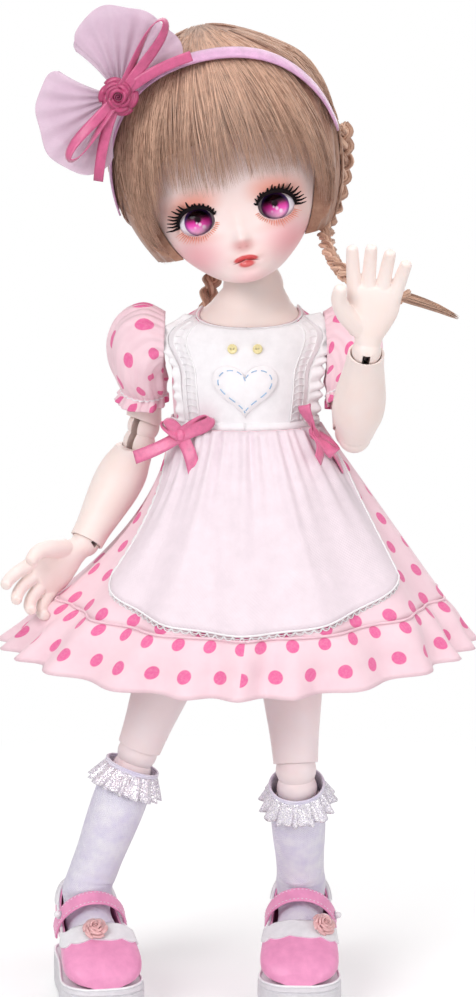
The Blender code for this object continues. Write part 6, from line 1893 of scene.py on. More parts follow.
def make_rose(name, turn, radius, look, body, slot, layers=4):
    """A rolled ribbon rose: a spiral core in rings of overlapping cupped petals."""
    grids = []
    core = []
    for row in range(6):
        v = row / 5
        core.append([Vector(((0.02 + 0.26 * k / 60) * radius * math.cos(0.3 * k) * (1 + 0.25 * v),
                             -(0.5 + (0.62 - 0.22 * k / 60) * v) * radius,
                             (0.02 + 0.26 * k / 60) * radius * math.sin(0.3 * k) * (1 + 0.25 * v)))
                     for k in range(61)])
    grids.append(core)
    for layer in range(layers):
        petals = 3 + layer
        outer = layer / (layers - 1)
        for petal in range(petals):
            middle = math.tau * (petal / petals + 0.37 * layer)
            tall = radius * (1.05 - 0.55 * outer) * (1 + 0.12 * math.sin(2.3 * petal + layer))
            grid = []
            for row in range(8):
                v = row / 7
                curl = max(0.0, v - 0.75) / 0.25
                line = []
                for column in range(11):
                    u = 2 * column / 10 - 1
                    angle = middle + u * math.pi / petals * 1.28
                    reach = radius * (0.36 + 0.58 * outer) * (0.35 + 0.65 * v ** 0.8) * (1 + 0.14 * u)
                    reach = reach * (1 - 0.1 * u * u) + 0.1 * radius * curl
                    depth = tall * (0.25 + 0.75 * math.sin(min(1.45, 1.6 * v))) * (1 - 0.22 * u * u)
                    depth -= 0.12 * radius * curl
                    line.append(Vector((reach * math.cos(angle), -depth, reach * math.sin(angle))))
                grid.append(line)
            grids.append(grid)
    return bow_cloth(name, turn, grids, look, body, slot, 0.18 * MM)


def make_knot(name, turn, width, height, depth, look, body, slot):
    rings = []
    for k in range(13):
        t = -1 + 2 * k / 12
        bulge = math.sqrt(max(0.02, 1 - 0.72 * t * t))
        line = []
        for n in range(36):
            angle = math.tau * n / 36
            crease = 1 + 0.06 * math.cos(7 * angle + 2 * t)
            line.append(Vector((width / 2 * bulge * math.cos(angle) * crease,
                                depth / 2 * bulge * math.sin(angle)
                                * crease, height / 2 * t)))
        rings.append(line)
    item = lofted(name, rings, look, turn, sharp=60)
    place(item, body, slot=slot)


def fan_grid(length, start, end, depth, gathers, seed, rows=26, columns=64):
    """A gathered lobe of tulle, fanned out from the knot between two directions and folded over."""
    grid = []
    for row in range(rows + 1):
        t = row / rows
        reach = math.sin(math.pi * t)
        back = 1 if t <= 0.5 else -1
        line = []
        for column in range(columns + 1):
            v = column / columns
            angle = math.radians(start + (end - start) * v)
            edge = length * (0.7 + 0.3 * math.sin(math.pi * v) ** 0.55)
            edge *= 1 + 0.04 * math.sin(2.2 * math.pi * v + seed) + 0.015 * math.cos(7 * math.pi * v)
            out = edge * reach ** 0.85
            narrow = 0.8 + 0.2 * reach
            middle = math.radians((start + end) / 2)
            angle = middle + (angle - middle) * narrow
            swell = depth * reach * back * (1 - 0.55 * reach)
            pleat = 0.75 * MM * math.cos(gathers * math.pi * v + seed) * (1 - 0.7 * reach) * reach ** 0.3
            line.append(Vector((out * math.cos(angle), -swell + pleat - 0.8 * MM * back,
                                out * math.sin(angle))))
        grid.append(line)
    return grid


def band_grid(points, width, turn_in, turn_out, columns=5):
    """A ribbon along points of the bow's plane; its face turns from one angle to another along the way."""
    grid = []
    last = len(points) - 1
    for k, point in enumerate(points):
        along = (points[min(k + 1, last)] - points[max(k - 1, 0)]).normalized()
        inward = Vector((0, 1, 0)).cross(along).normalized()
        angle = math.radians(turn_in + (turn_out - turn_in) * k / last)
        across = inward * math.cos(angle) + Vector((0, 1, 0)) * math.sin(angle)
        grid.append([point + across * (width * (n / (columns - 1) - 0.5)) for n in range(columns)])
    return grid


def ribbon_loop(direction, length, opening, rise):
    """Points of one loop from the knot out to its tip and back, in the bow's plane."""
    way = Vector((math.cos(math.radians(direction)), 0, math.sin(math.radians(direction))))
    side = Vector((-way.z, 0, way.x))
    points = []
    for k in range(37):
        t = k / 36
        out = length * (0.5 - 0.5 * math.cos(math.tau * t)) ** 0.72
        swing = opening * math.sin(math.tau * t) * (0.25 + 0.75 * (0.5 - 0.5 * math.cos(math.tau * t)))
        points.append(way * out + side * swing + Vector((0, -rise * math.sin(math.pi * t) - 0.5 * MM, 0)))
    return points


def ribbon_tail(direction, length, bend, rise):
    way = Vector((math.cos(math.radians(direction)), 0, math.sin(math.radians(direction))))
    side = Vector((-way.z, 0, way.x))
    return [way * (length * k / 20) + side * (bend * math.sin(math.pi * k / 20))
            + Vector((0, -rise * math.sin(math.pi * k / 20) - 0.3 * MM, 0)) for k in range(21)]


def make_head_bows(tulle, rose, rose_dark):
    """Two gathered lobes of tulle, a long looped ribbon over them and a rolled knot."""
    level = Matrix.Rotation(math.radians(12), 4, (0, 1, 0))
    base = head_frame() @ Matrix.Translation(Vector((-25.6, -21, 63.2)) * MM) @ level
    grids = [fan_grid(25.6 * MM, 130, 26, 5.5 * MM, 15, 0.4),
             fan_grid(23.5 * MM, 134, 44, 2.5 * MM, 13, 1.7),
             fan_grid(25.5 * MM, 158, 264, 5.0 * MM, 14, 2.6),
             fan_grid(21.5 * MM, 166, 252, 2.4 * MM, 12, 0.9)]
    bow_cloth("tulle_lobes", base, grids, tulle, "head", "lilac_tulle", 0.2 * MM, ("tulle_bow",))
    base = base @ Matrix.Translation(Vector((0, -5.2, 0)) * MM)
    width = 3.0 * MM
    grids = [band_grid(ribbon_loop(59, 25 * MM, 2.9 * MM, 2.5 * MM), width, 20, 200),
             band_grid(ribbon_loop(232, 22.5 * MM, 2.5 * MM, 2.0 * MM), width, 25, 205),
             band_grid(ribbon_tail(29, 23.5 * MM, 1.2 * MM, 1.4 * MM), width, 12, -14),
             band_grid(ribbon_tail(256, 24.5 * MM, -1.0 * MM, 1.0 * MM), width, -10, 24)]
    bow_cloth("ribbon_loops", base, grids, rose, "head", "rose_satin", 0.28 * MM, ("ribbon_bow",))
    make_rose("ribbon_rose", base @ Matrix.Translation(Vector((0, 1.6, 0)) * MM), 5.3 * MM, rose_dark,
              "head",
              "rose_satin")


# Place round the skirt, then a direction and length for each loop and each tail
WAIST_BOWS = {
    "right": (-52, ((32, 10.5), (150, 6.0)), ((212, 15.0), (300, 12.5))),
    "left": (46, ((112, 8.5), (285, 8.0)), ((236, 10.5), (303, 15.0)))}


def make_waist_bows(look):
    turn = torso_frame()
    for side, (angle, loops, tails) in WAIST_BOWS.items():
        angle = math.radians(angle)
        point = skirt_point(angle, 0.055)
        right = (skirt_point(angle + 0.02, 0.055) - point).normalized()
        down = (skirt_point(angle, 0.085) - point).normalized()
        out = right.cross(down)
        if out.y > 0:
            out.negate()
        centre = point + out * 3.0 * MM
        across = out.cross(down).normalized()
        base = turn @ Matrix.Translation(centre) @ Matrix((across, -out, -down)).transposed().to_4x4()
        width = 3.9 * MM
        grids = [band_grid(ribbon_loop(way, length * MM, 1.5 * MM, 2.4 * MM), width, 16, 196)
                 for way, length in loops]
        grids += [band_grid(ribbon_tail(way, length * MM, 0.8 * MM, 1.0 * MM), width, 10, -12)
                  for way, length in tails]
        bow_cloth(f"{side}_waist_ribbon", base, grids, look, "torso", "pink_satin", 0.3 * MM,
                  (f"{side}_waist_bow",))
        make_knot(f"{side}_waist_knot", base @ Matrix.Translation((0, -0.6 * MM, 0)), 3.4 * MM, 3.6 * MM,
                  3.0 * MM, look, "torso", "pink_satin")


# Socks and shoes, in the frames of the shin and the foot
FOOT_SIZE = 30 * MM
FOOT_SHARES = (
    (0.155, -0.02, -0.155, -0.02, 0.155), (0.19, -0.09, -0.27, -0.25, 0.175),
    (0.25, -0.13, -0.35, -0.50, 0.19),
    (0.31, -0.17, -0.13, -0.63, 0.195), (0.42, -0.23, 0.28, -0.63, 0.21), (0.78, -0.45, 0.76, -0.63, 0.25),
    (1.0, -0.57, 1.0, -0.62, 0.14),
)
SOCK_ANKLE_SHARES = ((0.23, 0.03, -0.27, -0.06, 0.215), (0.24, -0.05, -0.34, -0.28, 0.20))
SOCK_SHIN_SHARES = ((-0.035, 1.1, 1.1), (0.08, 1.09, 1.09), (0.3, 1.10, 1.13), (0.5, 1.05, 1.08),
                    (0.7, 0.97, 0.99),
                    (0.88, 0.95, 0.96))
SOCK_LIFT = 0.85 * MM
FRILL_RISE = 1.2 * MM
ANKLE_RISE = 22 * MM
SOLE_HEIGHT = 10 * MM
SOLE_SHARES = ((-0.47, 0.28), (-0.44, 0.52), (-0.34, 0.72), (-0.15, 0.79), (0.15, 0.82), (0.45, 0.90),
               (0.70, 0.98), (0.88, 1.0), (1.02, 0.90), (1.12, 0.68), (1.18, 0.36))
SOLE_HALF_WIDTH = 12.4 * MM
UPPER_SHARES = (
    (-0.445, 0.16, -0.28), (-0.40, 0.25, -0.04), (-0.26, 0.295, 0.03), (-0.02, 0.31, 0.03),
    (0.28, 0.325, -0.06),
    (0.60, 0.37, -0.23), (0.90, 0.385, -0.40), (1.06, 0.31, -0.51), (1.14, 0.18, -0.61),
)
TOPLINE_SHARES = ((-0.60, 0.06), (-0.44, 0.02), (-0.28, -0.04), (-0.06, -0.24), (0.22, -0.35),
                  (0.48, -0.35),
                  (0.60, -0.30), (0.64, 0.4), (-0.60, 0.4))
UPPER_SQUARE = 2.7
SHOE_WALL = 1.2 * MM
STRAP_CENTRE = (0.117, -0.40)
STRAP_HALF_WIDTH = 0.335
STRAP_RISE = 0.433
STRAP_LEAN = math.radians(33.5)
STRAP_HALF_ANGLE = 97
STRAP_WIDTH = 5 * MM
ROSETTES = {"right": (-1.2, 0.70), "left": (6.3, 0.66)}
BUTTON_ANGLES = {"right": 63, "left": 74}


def oval_between(near, far, half, sides):
    """An oval ring between two points of the middle plane, half its width across."""
    centre = (near + far) / 2
    reach = near - centre
    reach = reach * (1 + SOCK_LIFT / reach.length)
    wide = Vector((half + SOCK_LIFT, 0, 0))
    return [centre + reach * math.sin(math.tau * k / sides) + wide * math.cos(math.tau * k / sides)
            for k in range(sides)]


def make_sock(side, knit, lace):
    shin, foot = leg_frames(side)[2:]
    sides = 96
    rings = []
    for along, width, depth in SOCK_SHIN_SHARES:
        z = -along * SHIN_LENGTH
        line = oval_between(Vector((0, -depth * SHIN_RADIUS, z)), Vector((0, depth * SHIN_RADIUS, z)),
                            width * SHIN_RADIUS, sides)
        rings.append([shin @ point for point in line])
    for row in SOCK_ANKLE_SHARES + FOOT_SHARES[2:]:
        front, top, back, low, half = (share * FOOT_SIZE for share in row)
        rings.append([foot @ point for point in
                      oval_between(Vector((0, -front, top)), Vector((0, -back, low)), half, sides)])
    smooth = catmull([sum((tuple(point) for point in line), ()) for line in rings], 9)
    grid = [[Vector(row[3 * k:3 * k + 3]) for k in range(sides)] for row in smooth]
    middle = [sum(row, Vector()) / sides for row in grid]
    for r, row in enumerate(grid):
        at_ankle = math.exp(-((r - 45) / 6) ** 2)
        for k, point in enumerate(row):
            angle = math.tau * k / sides
            wrinkle = 0.22 * MM * at_ankle * math.cos(1.05 * r + 0.7 * math.sin(2 * angle)) * max(0,
                                                                                                  math.sin(angle))
            row[k] = point + (point - middle[r]).normalized() * wrinkle
    tip = sum(grid[-1], Vector()) / sides
    grid.append([point.lerp(tip, 0.55) for point in grid[-1]])
    grid.append([point.lerp(tip, 0.97) for point in grid[-1]])
    item = sheet_piece(f"{side}_knit_sock", grid, knit, (46, 76), closed=True, thickness=0.5 * MM)
    declare(grid, True)
    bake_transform(item)
    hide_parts(f"{side}_sock")
    for layer, (drop, width, waves, depth) in enumerate(((0.0, 7.5, 15, 1.15), (0.045, 5.2, 13, 0.9))):
        line = []
        out = []
        for k in range(193):
            angle = math.tau * k / 192
            way = (shin.to_3x3() @ Vector((math.cos(angle), -math.sin(angle), 0))).normalized()
            line.append(shin @ Vector((0, 0, FRILL_RISE - drop * SHIN_LENGTH)) + way * (7.9 + 0.35 * layer)
                        * MM)
            out.append(way)
        down = (shin.to_3x3() @ Vector((0, 0, -1))).normalized()
        away = [(down + way * 0.42).normalized() for way in out]
        item = ruffle(line, away, out, width * MM, waves, depth * MM, f"{side}_sock_frill_{layer}", lace,
                      rows=7)
        place(item, f"{side}_shin", slot="white_sock_knit")
    cord = Bundle()
    for rise in (-0.1, 0.55):
        line = []
        for k in range(97):
            angle = math.tau * k / 96
            point = Vector((8.05 * MM * math.cos(angle), -8.05 * MM * math.sin(angle),
                            FRILL_RISE + rise * MM))
            line.append(shin @ point)
        cord.tube(line, 0.36 * MM, 6)
    item = cord.make(f"{side}_sock_ribbing", knit)
    place(item, f"{side}_shin", slot="white_sock_knit")


def topline(place_along):
    """Height of the shoe's opening over a place along the foot, both in shares."""
    for (x1, z1), (x2, z2) in zip(TOPLINE_SHARES, TOPLINE_SHARES[1:7]):
        if x1 <= place_along <= x2:
            return z1 + (z2 - z1) * (place_along - x1) / (x2 - x1)
    return TOPLINE_SHARES[6][1]


UPPER_TABLE = catmull(UPPER_SHARES, 8)


def upper_row(place_along):
    for first, second in zip(UPPER_TABLE, UPPER_TABLE[1:]):
        if first[0] <= place_along <= second[0]:
            t = (place_along - first[0]) / (second[0] - first[0])
            return tuple(a + (b - a) * t for a, b in zip(first, second))
    return UPPER_TABLE[-1] if place_along > 1 else UPPER_TABLE[0]


def upper_point(row, angle, grow):
    """A point of the shoe's squared section: 90 degrees is its top, 0 and 180 its two sides."""
    front, half, top = (share * FOOT_SIZE for share in row)
    floor = -ANKLE_RISE + 0.3 * MM
    middle = (top + floor) / 2
    u = math.copysign(abs(math.cos(angle)) ** (2 / UPPER_SQUARE), math.cos(angle))
    v = math.copysign(abs(math.sin(angle)) ** (2 / UPPER_SQUARE), math.sin(angle))
    return Vector(((half + grow) * u, -front, middle + ((top - floor) / 2 + grow) * v))


def opening_cutter(turn):
    outline = [(-front * FOOT_SIZE, up * FOOT_SIZE) for front, up in TOPLINE_SHARES]
    return prism_piece(outline, SOLE_HALF_WIDTH * 2, turn)


def on_topline(place_along, sign, grow):
    """The point of the upper's edge at a place along the foot, on one side."""
    row = upper_row(place_along)
    height = topline(place_along) * FOOT_SIZE
    low, high = 0.0, math.pi / 2
    for _ in range(24):
        angle = (low + high) / 2
        low, high = (angle, high) if upper_point(row, angle, grow).z < height else (low, angle)
    point = upper_point(row, low, grow)
    return Vector((sign * point.x, point.y, point.z))


def strap_point(angle, across, grow):
    """A point of the strap: the angle from its top, across from -1 at the toe side to 1 at the ankle side."""
    centre = Vector((0, -STRAP_CENTRE[0] * FOOT_SIZE, STRAP_CENTRE[1] * FOOT_SIZE))
    rise = Vector((0, -math.sin(STRAP_LEAN), math.cos(STRAP_LEAN)))
    along = Vector((0, math.cos(STRAP_LEAN), math.sin(STRAP_LEAN))) * (STRAP_WIDTH / 2)
    point = centre + Vector(((STRAP_HALF_WIDTH * FOOT_SIZE + grow) * math.sin(angle), 0, 0))
    return point + rise * ((STRAP_RISE * FOOT_SIZE + grow) * math.cos(angle)) + along * across


def make_sole(side, rubber):
    foot = leg_frames(side)[3]
    plan = [(half * SOLE_HALF_WIDTH, -front * FOOT_SIZE) for front, half in SOLE_SHARES]
    plan += [(-x, y) for x, y in reversed(plan)]
    plan = catmull(plan + [plan[0]], 5)[:-1]
    rings = []
    for drop, scale in ((0.0, 0.93), (0.01, 0.955), (0.05, 0.985), (0.12, 0.998), (0.15, 0.985),
                        (0.17, 0.985),
                        (0.20, 0.998), (0.5, 1.0), (0.86, 0.996), (0.92, 1.0), (0.975, 0.99), (1.0, 0.965)):
        rings.append([foot @ Vector((x * scale, y * scale, -ANKLE_RISE - drop * SOLE_HEIGHT)) for x,
                      y in plan])
    item = lofted(f"{side}_platform_sole", rings, rubber, sharp=40)
    place(item, f"{side}_foot", f"{side}_shoe_sole", slot="pale_sole_rubber")


def make_upper(side, pink, white, lining):
    foot = leg_frames(side)[3]
    sides = 72
    rows = catmull(UPPER_SHARES, 5)
    rings = [[foot @ upper_point(row, math.tau * k / sides, 0) for k in range(sides)] for row in rows]
    item = lofted(f"{side}_toe_and_upper", rings, pink, sharp=60)
    rings = [[foot @ upper_point(row, math.tau * k / sides,
                                 -SHOE_WALL) for k in range(sides)] for row in rows[5:-5]]
    cut(item, lofted("cutter", rings, None))
    cut(item, opening_cutter(foot))
    finish_item(item, pink, 50)
    place(item, f"{side}_foot", f"{side}_shoe_upper", slot="pink_shoe_leather")
    grid = []
    columns = 150
    for row in range(43):
        v = row / 42
        side_edge = 0.13 * abs(math.sin(6.5 * math.pi * v)) if v > 0.62 else 0.13
        line = []
        for k in range(columns + 1):
            u = 2 * k / columns - 1
            scallop = 0.028 * abs(math.sin(4.5 * math.pi * (u + 1) / 2))
            end = 0.775 + scallop - 0.10 * u ** 4
            angle = math.pi / 2 - u * (math.radians(86) - 1.2 * side_edge)
            line.append(foot @ upper_point(upper_row(-0.435 + (end + 0.435) * v), angle, 0.28 * MM))
        grid.append(line)
    item = sheet_piece(f"{side}_scalloped_vamp", grid, white, (24, 40), thickness=0.55 * MM, sharp=50)
    cut(item, opening_cutter(foot))
    place(item, f"{side}_foot", slot="pink_shoe_leather")
    edge = Bundle()
    start = next(k / 200 for k in range(-80, 128) if upper_row(k / 200)[2] > topline(k / 200) + 0.012)
    places = [start + (0.605 - start) * k / 60 for k in range(61)]
    loop = [on_topline(p, 1, -0.25 * MM) for p in places]
    front_right, front_left = loop[-1], on_topline(places[-1], -1, -0.25 * MM)
    top_row = upper_row(0.615)
    across = [upper_point(top_row, math.radians(a), -0.1 * MM) for a in range(40, 141, 5)]
    across = [point for point in across if point.z > front_right.z]
    loop += across + [front_left] + [on_topline(p, -1, -0.25 * MM) for p in reversed(places[:-1])]
    back_row = upper_row(start)
    heel = [upper_point(back_row, math.radians(a), -0.25 * MM) for a in range(140, 39, -10)]
    loop += [point for point in heel if abs(point.x) < abs(loop[-1].x)]
    loop.append(loop[0])
    edge.tube([foot @ point for point in loop], 0.48 * MM, 8)
    item = edge.make(f"{side}_opening_binding", lining)
    place(item, f"{side}_foot", slot="pink_shoe_leather")
    welt = Bundle()
    line = []
    plan = [(half * SOLE_HALF_WIDTH * 0.955, -front * FOOT_SIZE * 0.965) for front, half in SOLE_SHARES]
    plan += [(-x, y) for x, y in reversed(plan)]
    for x, y in catmull(plan + [plan[0]], 6):
        line.append(foot @ Vector((x, y, -ANKLE_RISE + 0.15 * MM)))
    welt.tube(line, 0.42 * MM, 6)
    item = welt.make(f"{side}_shoe_welt", lining)
    place(item, f"{side}_foot", slot="pale_sole_rubber")


def make_strap(side, pink, thread, pearl, petals):
    foot = leg_frames(side)[3]
    sign = SIDES[side]
    half_angle = math.radians(STRAP_HALF_ANGLE)
    rings = []
    for k in range(73):
        angle = half_angle * (2 * k / 72 - 1)
        line = []
        for n in range(28):
            turn_angle = math.tau * n / 28
            across = math.copysign(abs(math.cos(turn_angle)) ** 0.35, math.cos(turn_angle))
            grow = 0.45 * MM + 0.4 * MM * math.copysign(abs(math.sin(turn_angle)) ** 0.6,
                                                        math.sin(turn_angle))
            wave = 1 + 0.02 * math.cos(9 * angle)
            line.append(foot @ strap_point(angle, across * wave, grow))
        rings.append(line)
    item = lofted(f"{side}_leather_strap", rings, pink, sharp=50)
    place(item, f"{side}_foot", f"{side}_shoe_strap", slot="pink_shoe_leather")
    stitches = Bundle()
    for across in (-0.72, 0.72):
        for k in range(30):
            angle = half_angle * (2 * (k + 0.5) / 30 - 1)
            step = half_angle / 30 * 0.52
            stitches.tube([foot @ strap_point(angle + step * t, across, 0.86 * MM) for t in (-1, 0, 1)],
                          [0.08 * MM, 0.15 * MM, 0.08 * MM], 5)
    item = stitches.make(f"{side}_strap_stitches", thread)
    place(item, f"{side}_foot", slot="pink_shoe_leather")
    angle = sign * math.radians(BUTTON_ANGLES[side])
    point = foot @ strap_point(angle, 0, 1.0 * MM)
    normal = (point - foot @ strap_point(angle, 0, -4 * MM)).normalized()
    turn = Matrix.Translation(point) @ normal.to_track_quat("Z", "Y").to_matrix().to_4x4()
    rings = [ring(-0.5 * MM, 1.25 * MM, 1.25 * MM, 32), ring(0.1 * MM, 1.3 * MM, 1.3 * MM, 32),
             ring(0.25 * MM, 1.05 * MM, 1.05 * MM, 32)]
    item = lofted(f"{side}_button_seat", rings, plain_look(f"{side} button metal", "#C9C4CC", 0.25,
                                                           metallic=1.0),
                  turn, sharp=40)
    place(item, f"{side}_foot")
    item = ball_piece(1.05 * MM, (0, 0, 0.75 * MM), turn, 28)
    item.name = f"{side}_pearl_button"
    finish_item(item, pearl, 60)
    place(item, f"{side}_foot")
    shift, place_along = ROSETTES[side]
    row = upper_row(place_along)
    angle = math.acos(max(-1, min(1, math.copysign(abs(shift * MM / (row[1] * FOOT_SIZE)) ** (UPPER_SQUARE
                                                                                              / 2),
                                                                                              shift))))
    point = foot @ upper_point(row, angle, 0.7 * MM)
    normal = (point - foot @ upper_point(row, angle, -3 * MM)).normalized()
    normal = (normal + foot.to_3x3() @ Vector((0, -0.75, 0))).normalized()
    turn = Matrix.Translation(point) @ (-normal).to_track_quat("Y", "Z").to_matrix().to_4x4()
    make_rose(f"{side}_shoe_rose", turn, 3.5 * MM, petals, f"{side}_foot", "rose_satin")


# Nodes of the frame that show as they are
def finish_nodes():
    """Finishes for the strings, hooks, feet and head cap, which keep their shapes."""
    resin = resin_look("resin of the hidden parts")
    elastic = cotton_look("braided elastic", "#ECEAE6", 1.6)
    steel = plain_look("bent steel wire", "#B9BBC0", 0.28, metallic=1.0, grain=5.0, depth=0.05)
    for name, item in frame["nodes"].items():
        if item.hide_render:
            continue
        look = resin
        if "string" in name or "strand" in name:
            look = elastic
        elif "hook" in name:
            look = steel
        if item.data.materials:
            for slot in item.material_slots:
                slot.material = look
        else:
            item.data.materials.append(look)


# Stage
# Each lamp's name, place, width and power
LAMPS = (
    ("key lamp", (-0.55, -0.85, 0.75), 0.6, 6.0), ("fill lamp", (0.75, -0.8, 0.35), 0.8, 3.4),
    ("top lamp", (0.05, -0.1, 0.95), 0.7, 3.0), ("back lamp", (0.1, 0.9, 0.5), 0.9, 2.6),
)
LAMP_AIM = Vector((0, 0, 0.16))
CAMERA_PLACE = Vector((0.0001, -0.9, 0.3))
CAMERA_AIM = Vector((0.0001, 0, 0.1505))
FOCAL_LENGTH = 111.2
SENSOR_WIDTH = 36


def seen_directly(tree):
    """One for rays from the camera, in reflections and through clear things, else zero."""
    path = node(tree, "LightPath")
    seen = math_node(tree, "MAXIMUM", path.outputs["Is Camera Ray"], path.outputs["Is Glossy Ray"])
    return math_node(tree, "MAXIMUM", seen, path.outputs["Is Transmission Ray"])


def make_stage():
    """A pale floor, a white surround, soft lamps and the camera."""
    scene = bpy.context.scene
    scene.view_settings.view_transform = "Standard"
    points = [Vector((x, y, -0.0004)) for x, y in ((-3, -2.4), (3, -2.4), (3, 3.6), (-3, 3.6))]
    made, tree, _, coords, _ = material("pale studio floor")
    output = tree.nodes["Material Output"]
    seen = seen_directly(tree)
    bounce = node(tree, "BsdfDiffuse", {"Color": (0.78, 0.78, 0.78, 1)})
    glow = node(tree, "Emission", {"Color": (1, 1, 1, 1), "Strength": 0.32})
    grain = ramp(tree, noise(tree, coords, 0.02, 2), (0.3, 0.985), (0.7, 1.0))
    tree.links.new(grain, glow.inputs["Color"])
    both = node(tree, "AddShader")
    tree.links.new(bounce.outputs[0], both.inputs[0])
    tree.links.new(glow.outputs[0], both.inputs[1])
    white = node(tree, "Emission", {"Color": (1, 1, 1, 1), "Strength": 1.0})
    reach = node(tree, "VectorMath", operation="LENGTH")
    tree.links.new(coords, reach.inputs[0])
    far = node(tree, "MapRange", {"From Min": 110.0, "From Max": 320.0}, {"Value": reach.outputs["Value"]})
    surround = node(tree, "MixShader", links={"Fac": far.outputs["Result"]})
    tree.links.new(both.outputs[0], surround.inputs[1])
    tree.links.new(white.outputs[0], surround.inputs[2])
    choose = node(tree, "MixShader", links={"Fac": seen})
    tree.links.new(bounce.outputs[0], choose.inputs[1])
    tree.links.new(surround.outputs[0], choose.inputs[2])
    tree.links.new(choose.outputs[0], output.inputs["Surface"])
    floor = piece("studio_floor", points, [(0, 1, 2, 3)], made)
    world = bpy.data.worlds.new("white surround")
    scene.world = world
    world.use_nodes = True
    tree = world.node_tree
    back = tree.nodes["Background"]
    back.inputs["Color"].default_value = (1, 1, 1, 1)
    seen = seen_directly(tree)
    strength = math_node(tree, "MULTIPLY_ADD", seen, 0.58, 0.42)
    tree.links.new(strength, back.inputs["Strength"])
    for name, place_at, size, power in LAMPS:
        lamp = bpy.data.lights.new(name, "AREA")
        lamp.shape = "DISK"
        lamp.size = size
        lamp.energy = power
        holder = bpy.data.objects.new(name, lamp)
        holder.location = place_at
        holder.rotation_euler = (LAMP_AIM - Vector(place_at)).to_track_quat("-Z", "Y").to_euler()
        bpy.context.collection.objects.link(holder)
    lens = bpy.data.cameras.new("camera")
    lens.lens = FOCAL_LENGTH
    lens.sensor_width = SENSOR_WIDTH
    lens.clip_start = 0.01
    camera = bpy.data.objects.new("camera", lens)
    camera.location = CAMERA_PLACE
    camera.rotation_euler = (CAMERA_AIM - CAMERA_PLACE).to_track_quat("-Z", "Y").to_euler()
    bpy.context.collection.objects.link(camera)
    scene.camera = camera


# Operators
class DOLL_OT_stage(bpy.types.Operator):
    """Floor, surround, lamps and camera"""
    bl_idname = "doll.stage"
    bl_label = "Stage"

    def execute(self, context):
        make_stage()
        return {"FINISHED"}


class DOLL_OT_head(bpy.types.Operator):
    """Face, glass eyes and lashes"""
    bl_idname = "doll.head"
    bl_label = "Head"

    def execute(self, context):
        face = make_face()
        make_eyes()
        make_lashes(face)
        return {"FINISHED"}


class DOLL_OT_body(bpy.types.Operator):
    """Torso, arms, hands and legs of cast resin"""
    bl_idname = "doll.body"
    bl_label = "Body"

    def execute(self, context):
        make_torso(resin_look("torso resin"))
        for side in SIDES:
            make_arm(side, resin_look(f"{side} arm resin"))
            make_leg(side, resin_look(f"{side} leg resin", "#F3E4E6"))
        return {"FINISHED"}


class DOLL_OT_dress(bpy.types.Operator):
    """Dotted dress with its flounce and puff sleeves"""
    bl_idname = "doll.dress"
    bl_label = "Dress"

    def execute(self, context):
        cotton = dot_cotton_look()
        white = cotton_look("white trim cotton", "#F4EFF2")
        make_skirts(cotton)
        make_bodice(cotton, white)
        for side in SIDES:
            make_sleeve(side, cotton, white)
        return {"FINISHED"}


class DOLL_OT_apron(bpy.types.Operator):
    """Voile apron with its bib, lace and waist bows"""
    bl_idname = "doll.apron"
    bl_label = "Apron"

    def execute(self, context):
        settings = context.scene.doll_dress
        white = cotton_look("bib cotton", "#F6F2F5")
        lace = cotton_look("picot lace", "#F7F4F6", 3.0)
        make_apron(voile_look("apron voile", settings.apron, 0.88), lace, white)
        make_waist_bows(satin_look("waist satin", settings.satin))
        return {"FINISHED"}


class DOLL_OT_hair(bpy.types.Operator):
    """Mohair wig and its two braids"""
    bl_idname = "doll.hair"
    bl_label = "Hair"

    def execute(self, context):
        look = hair_look()
        make_wig_cap(look)
        make_strands(look)
        for side in SIDES:
            make_braid(side, look)
        return {"FINISHED"}


class DOLL_OT_bows(bpy.types.Operator):
    """Satin headband, tulle bow and ribbon bow with its rose"""
    bl_idname = "doll.bows"
    bl_label = "Headband and bows"

    def execute(self, context):
        make_headband(satin_look("headband satin", "#DFA9D0"))
        make_head_bows(voile_look("lilac tulle", "#EFD3E6", 0.5), satin_look("rose ribbon", "#D45C8C"),
                       satin_look("deep rose ribbon", "#BE4073"))
        return {"FINISHED"}


class DOLL_OT_socks(bpy.types.Operator):
    """Knit socks with glitter lace frills"""
    bl_idname = "doll.socks"
    bl_label = "Socks"

    def execute(self, context):
        knit = knit_look()
        lace = glitter_look()
        for side in SIDES:
            make_sock(side, knit, lace)
        return {"FINISHED"}


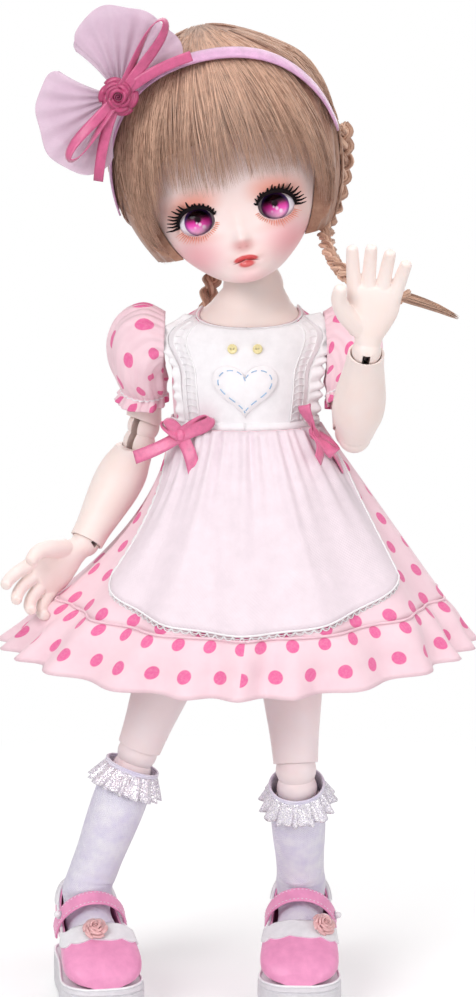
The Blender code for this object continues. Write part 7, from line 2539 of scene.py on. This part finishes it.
class DOLL_OT_shoes(bpy.types.Operator):
    """Platform shoes with scalloped vamps, straps, buttons and rosettes"""
    bl_idname = "doll.shoes"
    bl_label = "Shoes"

    def execute(self, context):
        settings = context.scene.doll_shoes
        pink = leather_look("pink leather", settings.leather)
        white = leather_look("white leather", "#E6E4E8", 2.2)
        lining = leather_look("pale lining", "#F2EFF4", 3.0)
        rubber = plain_look("sole rubber", settings.sole, 0.6, grain=3.0)
        thread = cotton_look("stitch thread", "#F6E3EE", 4.0)
        pearl = plain_look("pearl", "#F4F1F5", 0.14, coat=1.0, grain=0.6, depth=0.02)
        petals = satin_look("peach rosette", "#F7BFC0")
        for side in SIDES:
            make_sole(side, rubber)
            make_upper(side, pink, white, lining)
            make_strap(side, pink, thread, pearl, petals)
        return {"FINISHED"}


class DOLL_OT_strings(bpy.types.Operator):
    """Finishes of the elastic, the hooks, the feet and the head cap"""
    bl_idname = "doll.strings"
    bl_label = "Strings and hooks"

    def execute(self, context):
        finish_nodes()
        return {"FINISHED"}


OPERATORS = (
    DOLL_OT_stage, DOLL_OT_head, DOLL_OT_body, DOLL_OT_dress, DOLL_OT_apron, DOLL_OT_hair, DOLL_OT_bows,
    DOLL_OT_socks, DOLL_OT_shoes, DOLL_OT_strings,
)


class DOLL_PT_panel(bpy.types.Panel):
    """The doll's pieces and their sizes and colours"""
    bl_label = "Ball jointed doll"
    bl_idname = "DOLL_PT_panel"
    bl_space_type = "VIEW_3D"
    bl_region_type = "UI"
    bl_category = "Doll"

    def draw(self, context):
        layout = self.layout
        for made in OPERATORS:
            layout.operator(made.bl_idname)
        for group in ("doll_body", "doll_hair", "doll_dress", "doll_shoes"):
            box = layout.box()
            settings = getattr(context.scene, group)
            for name in settings.__annotations__:
                box.prop(settings, name)


SETTINGS = {
    "doll_body": DollBodySettings, "doll_hair": DollHairSettings, "doll_dress": DollDressSettings,
    "doll_shoes": DollShoeSettings,
}


def register():
    for made in (*SETTINGS.values(), *OPERATORS, DOLL_PT_panel):
        bpy.utils.register_class(made)
    for name, made in SETTINGS.items():
        setattr(bpy.types.Scene, name, PointerProperty(type=made))


def unregister():
    for name in SETTINGS:
        delattr(bpy.types.Scene, name)
    for made in reversed((*SETTINGS.values(), *OPERATORS, DOLL_PT_panel)):
        bpy.utils.unregister_class(made)


def main():
    register()
    deselect()
    bpy.ops.doll.stage()
    bpy.ops.doll.head()
    bpy.ops.doll.body()
    bpy.ops.doll.dress()
    bpy.ops.doll.apron()
    bpy.ops.doll.hair()
    bpy.ops.doll.bows()
    bpy.ops.doll.socks()
    bpy.ops.doll.shoes()
    bpy.ops.doll.strings()


if __name__ == "__main__":
    main()
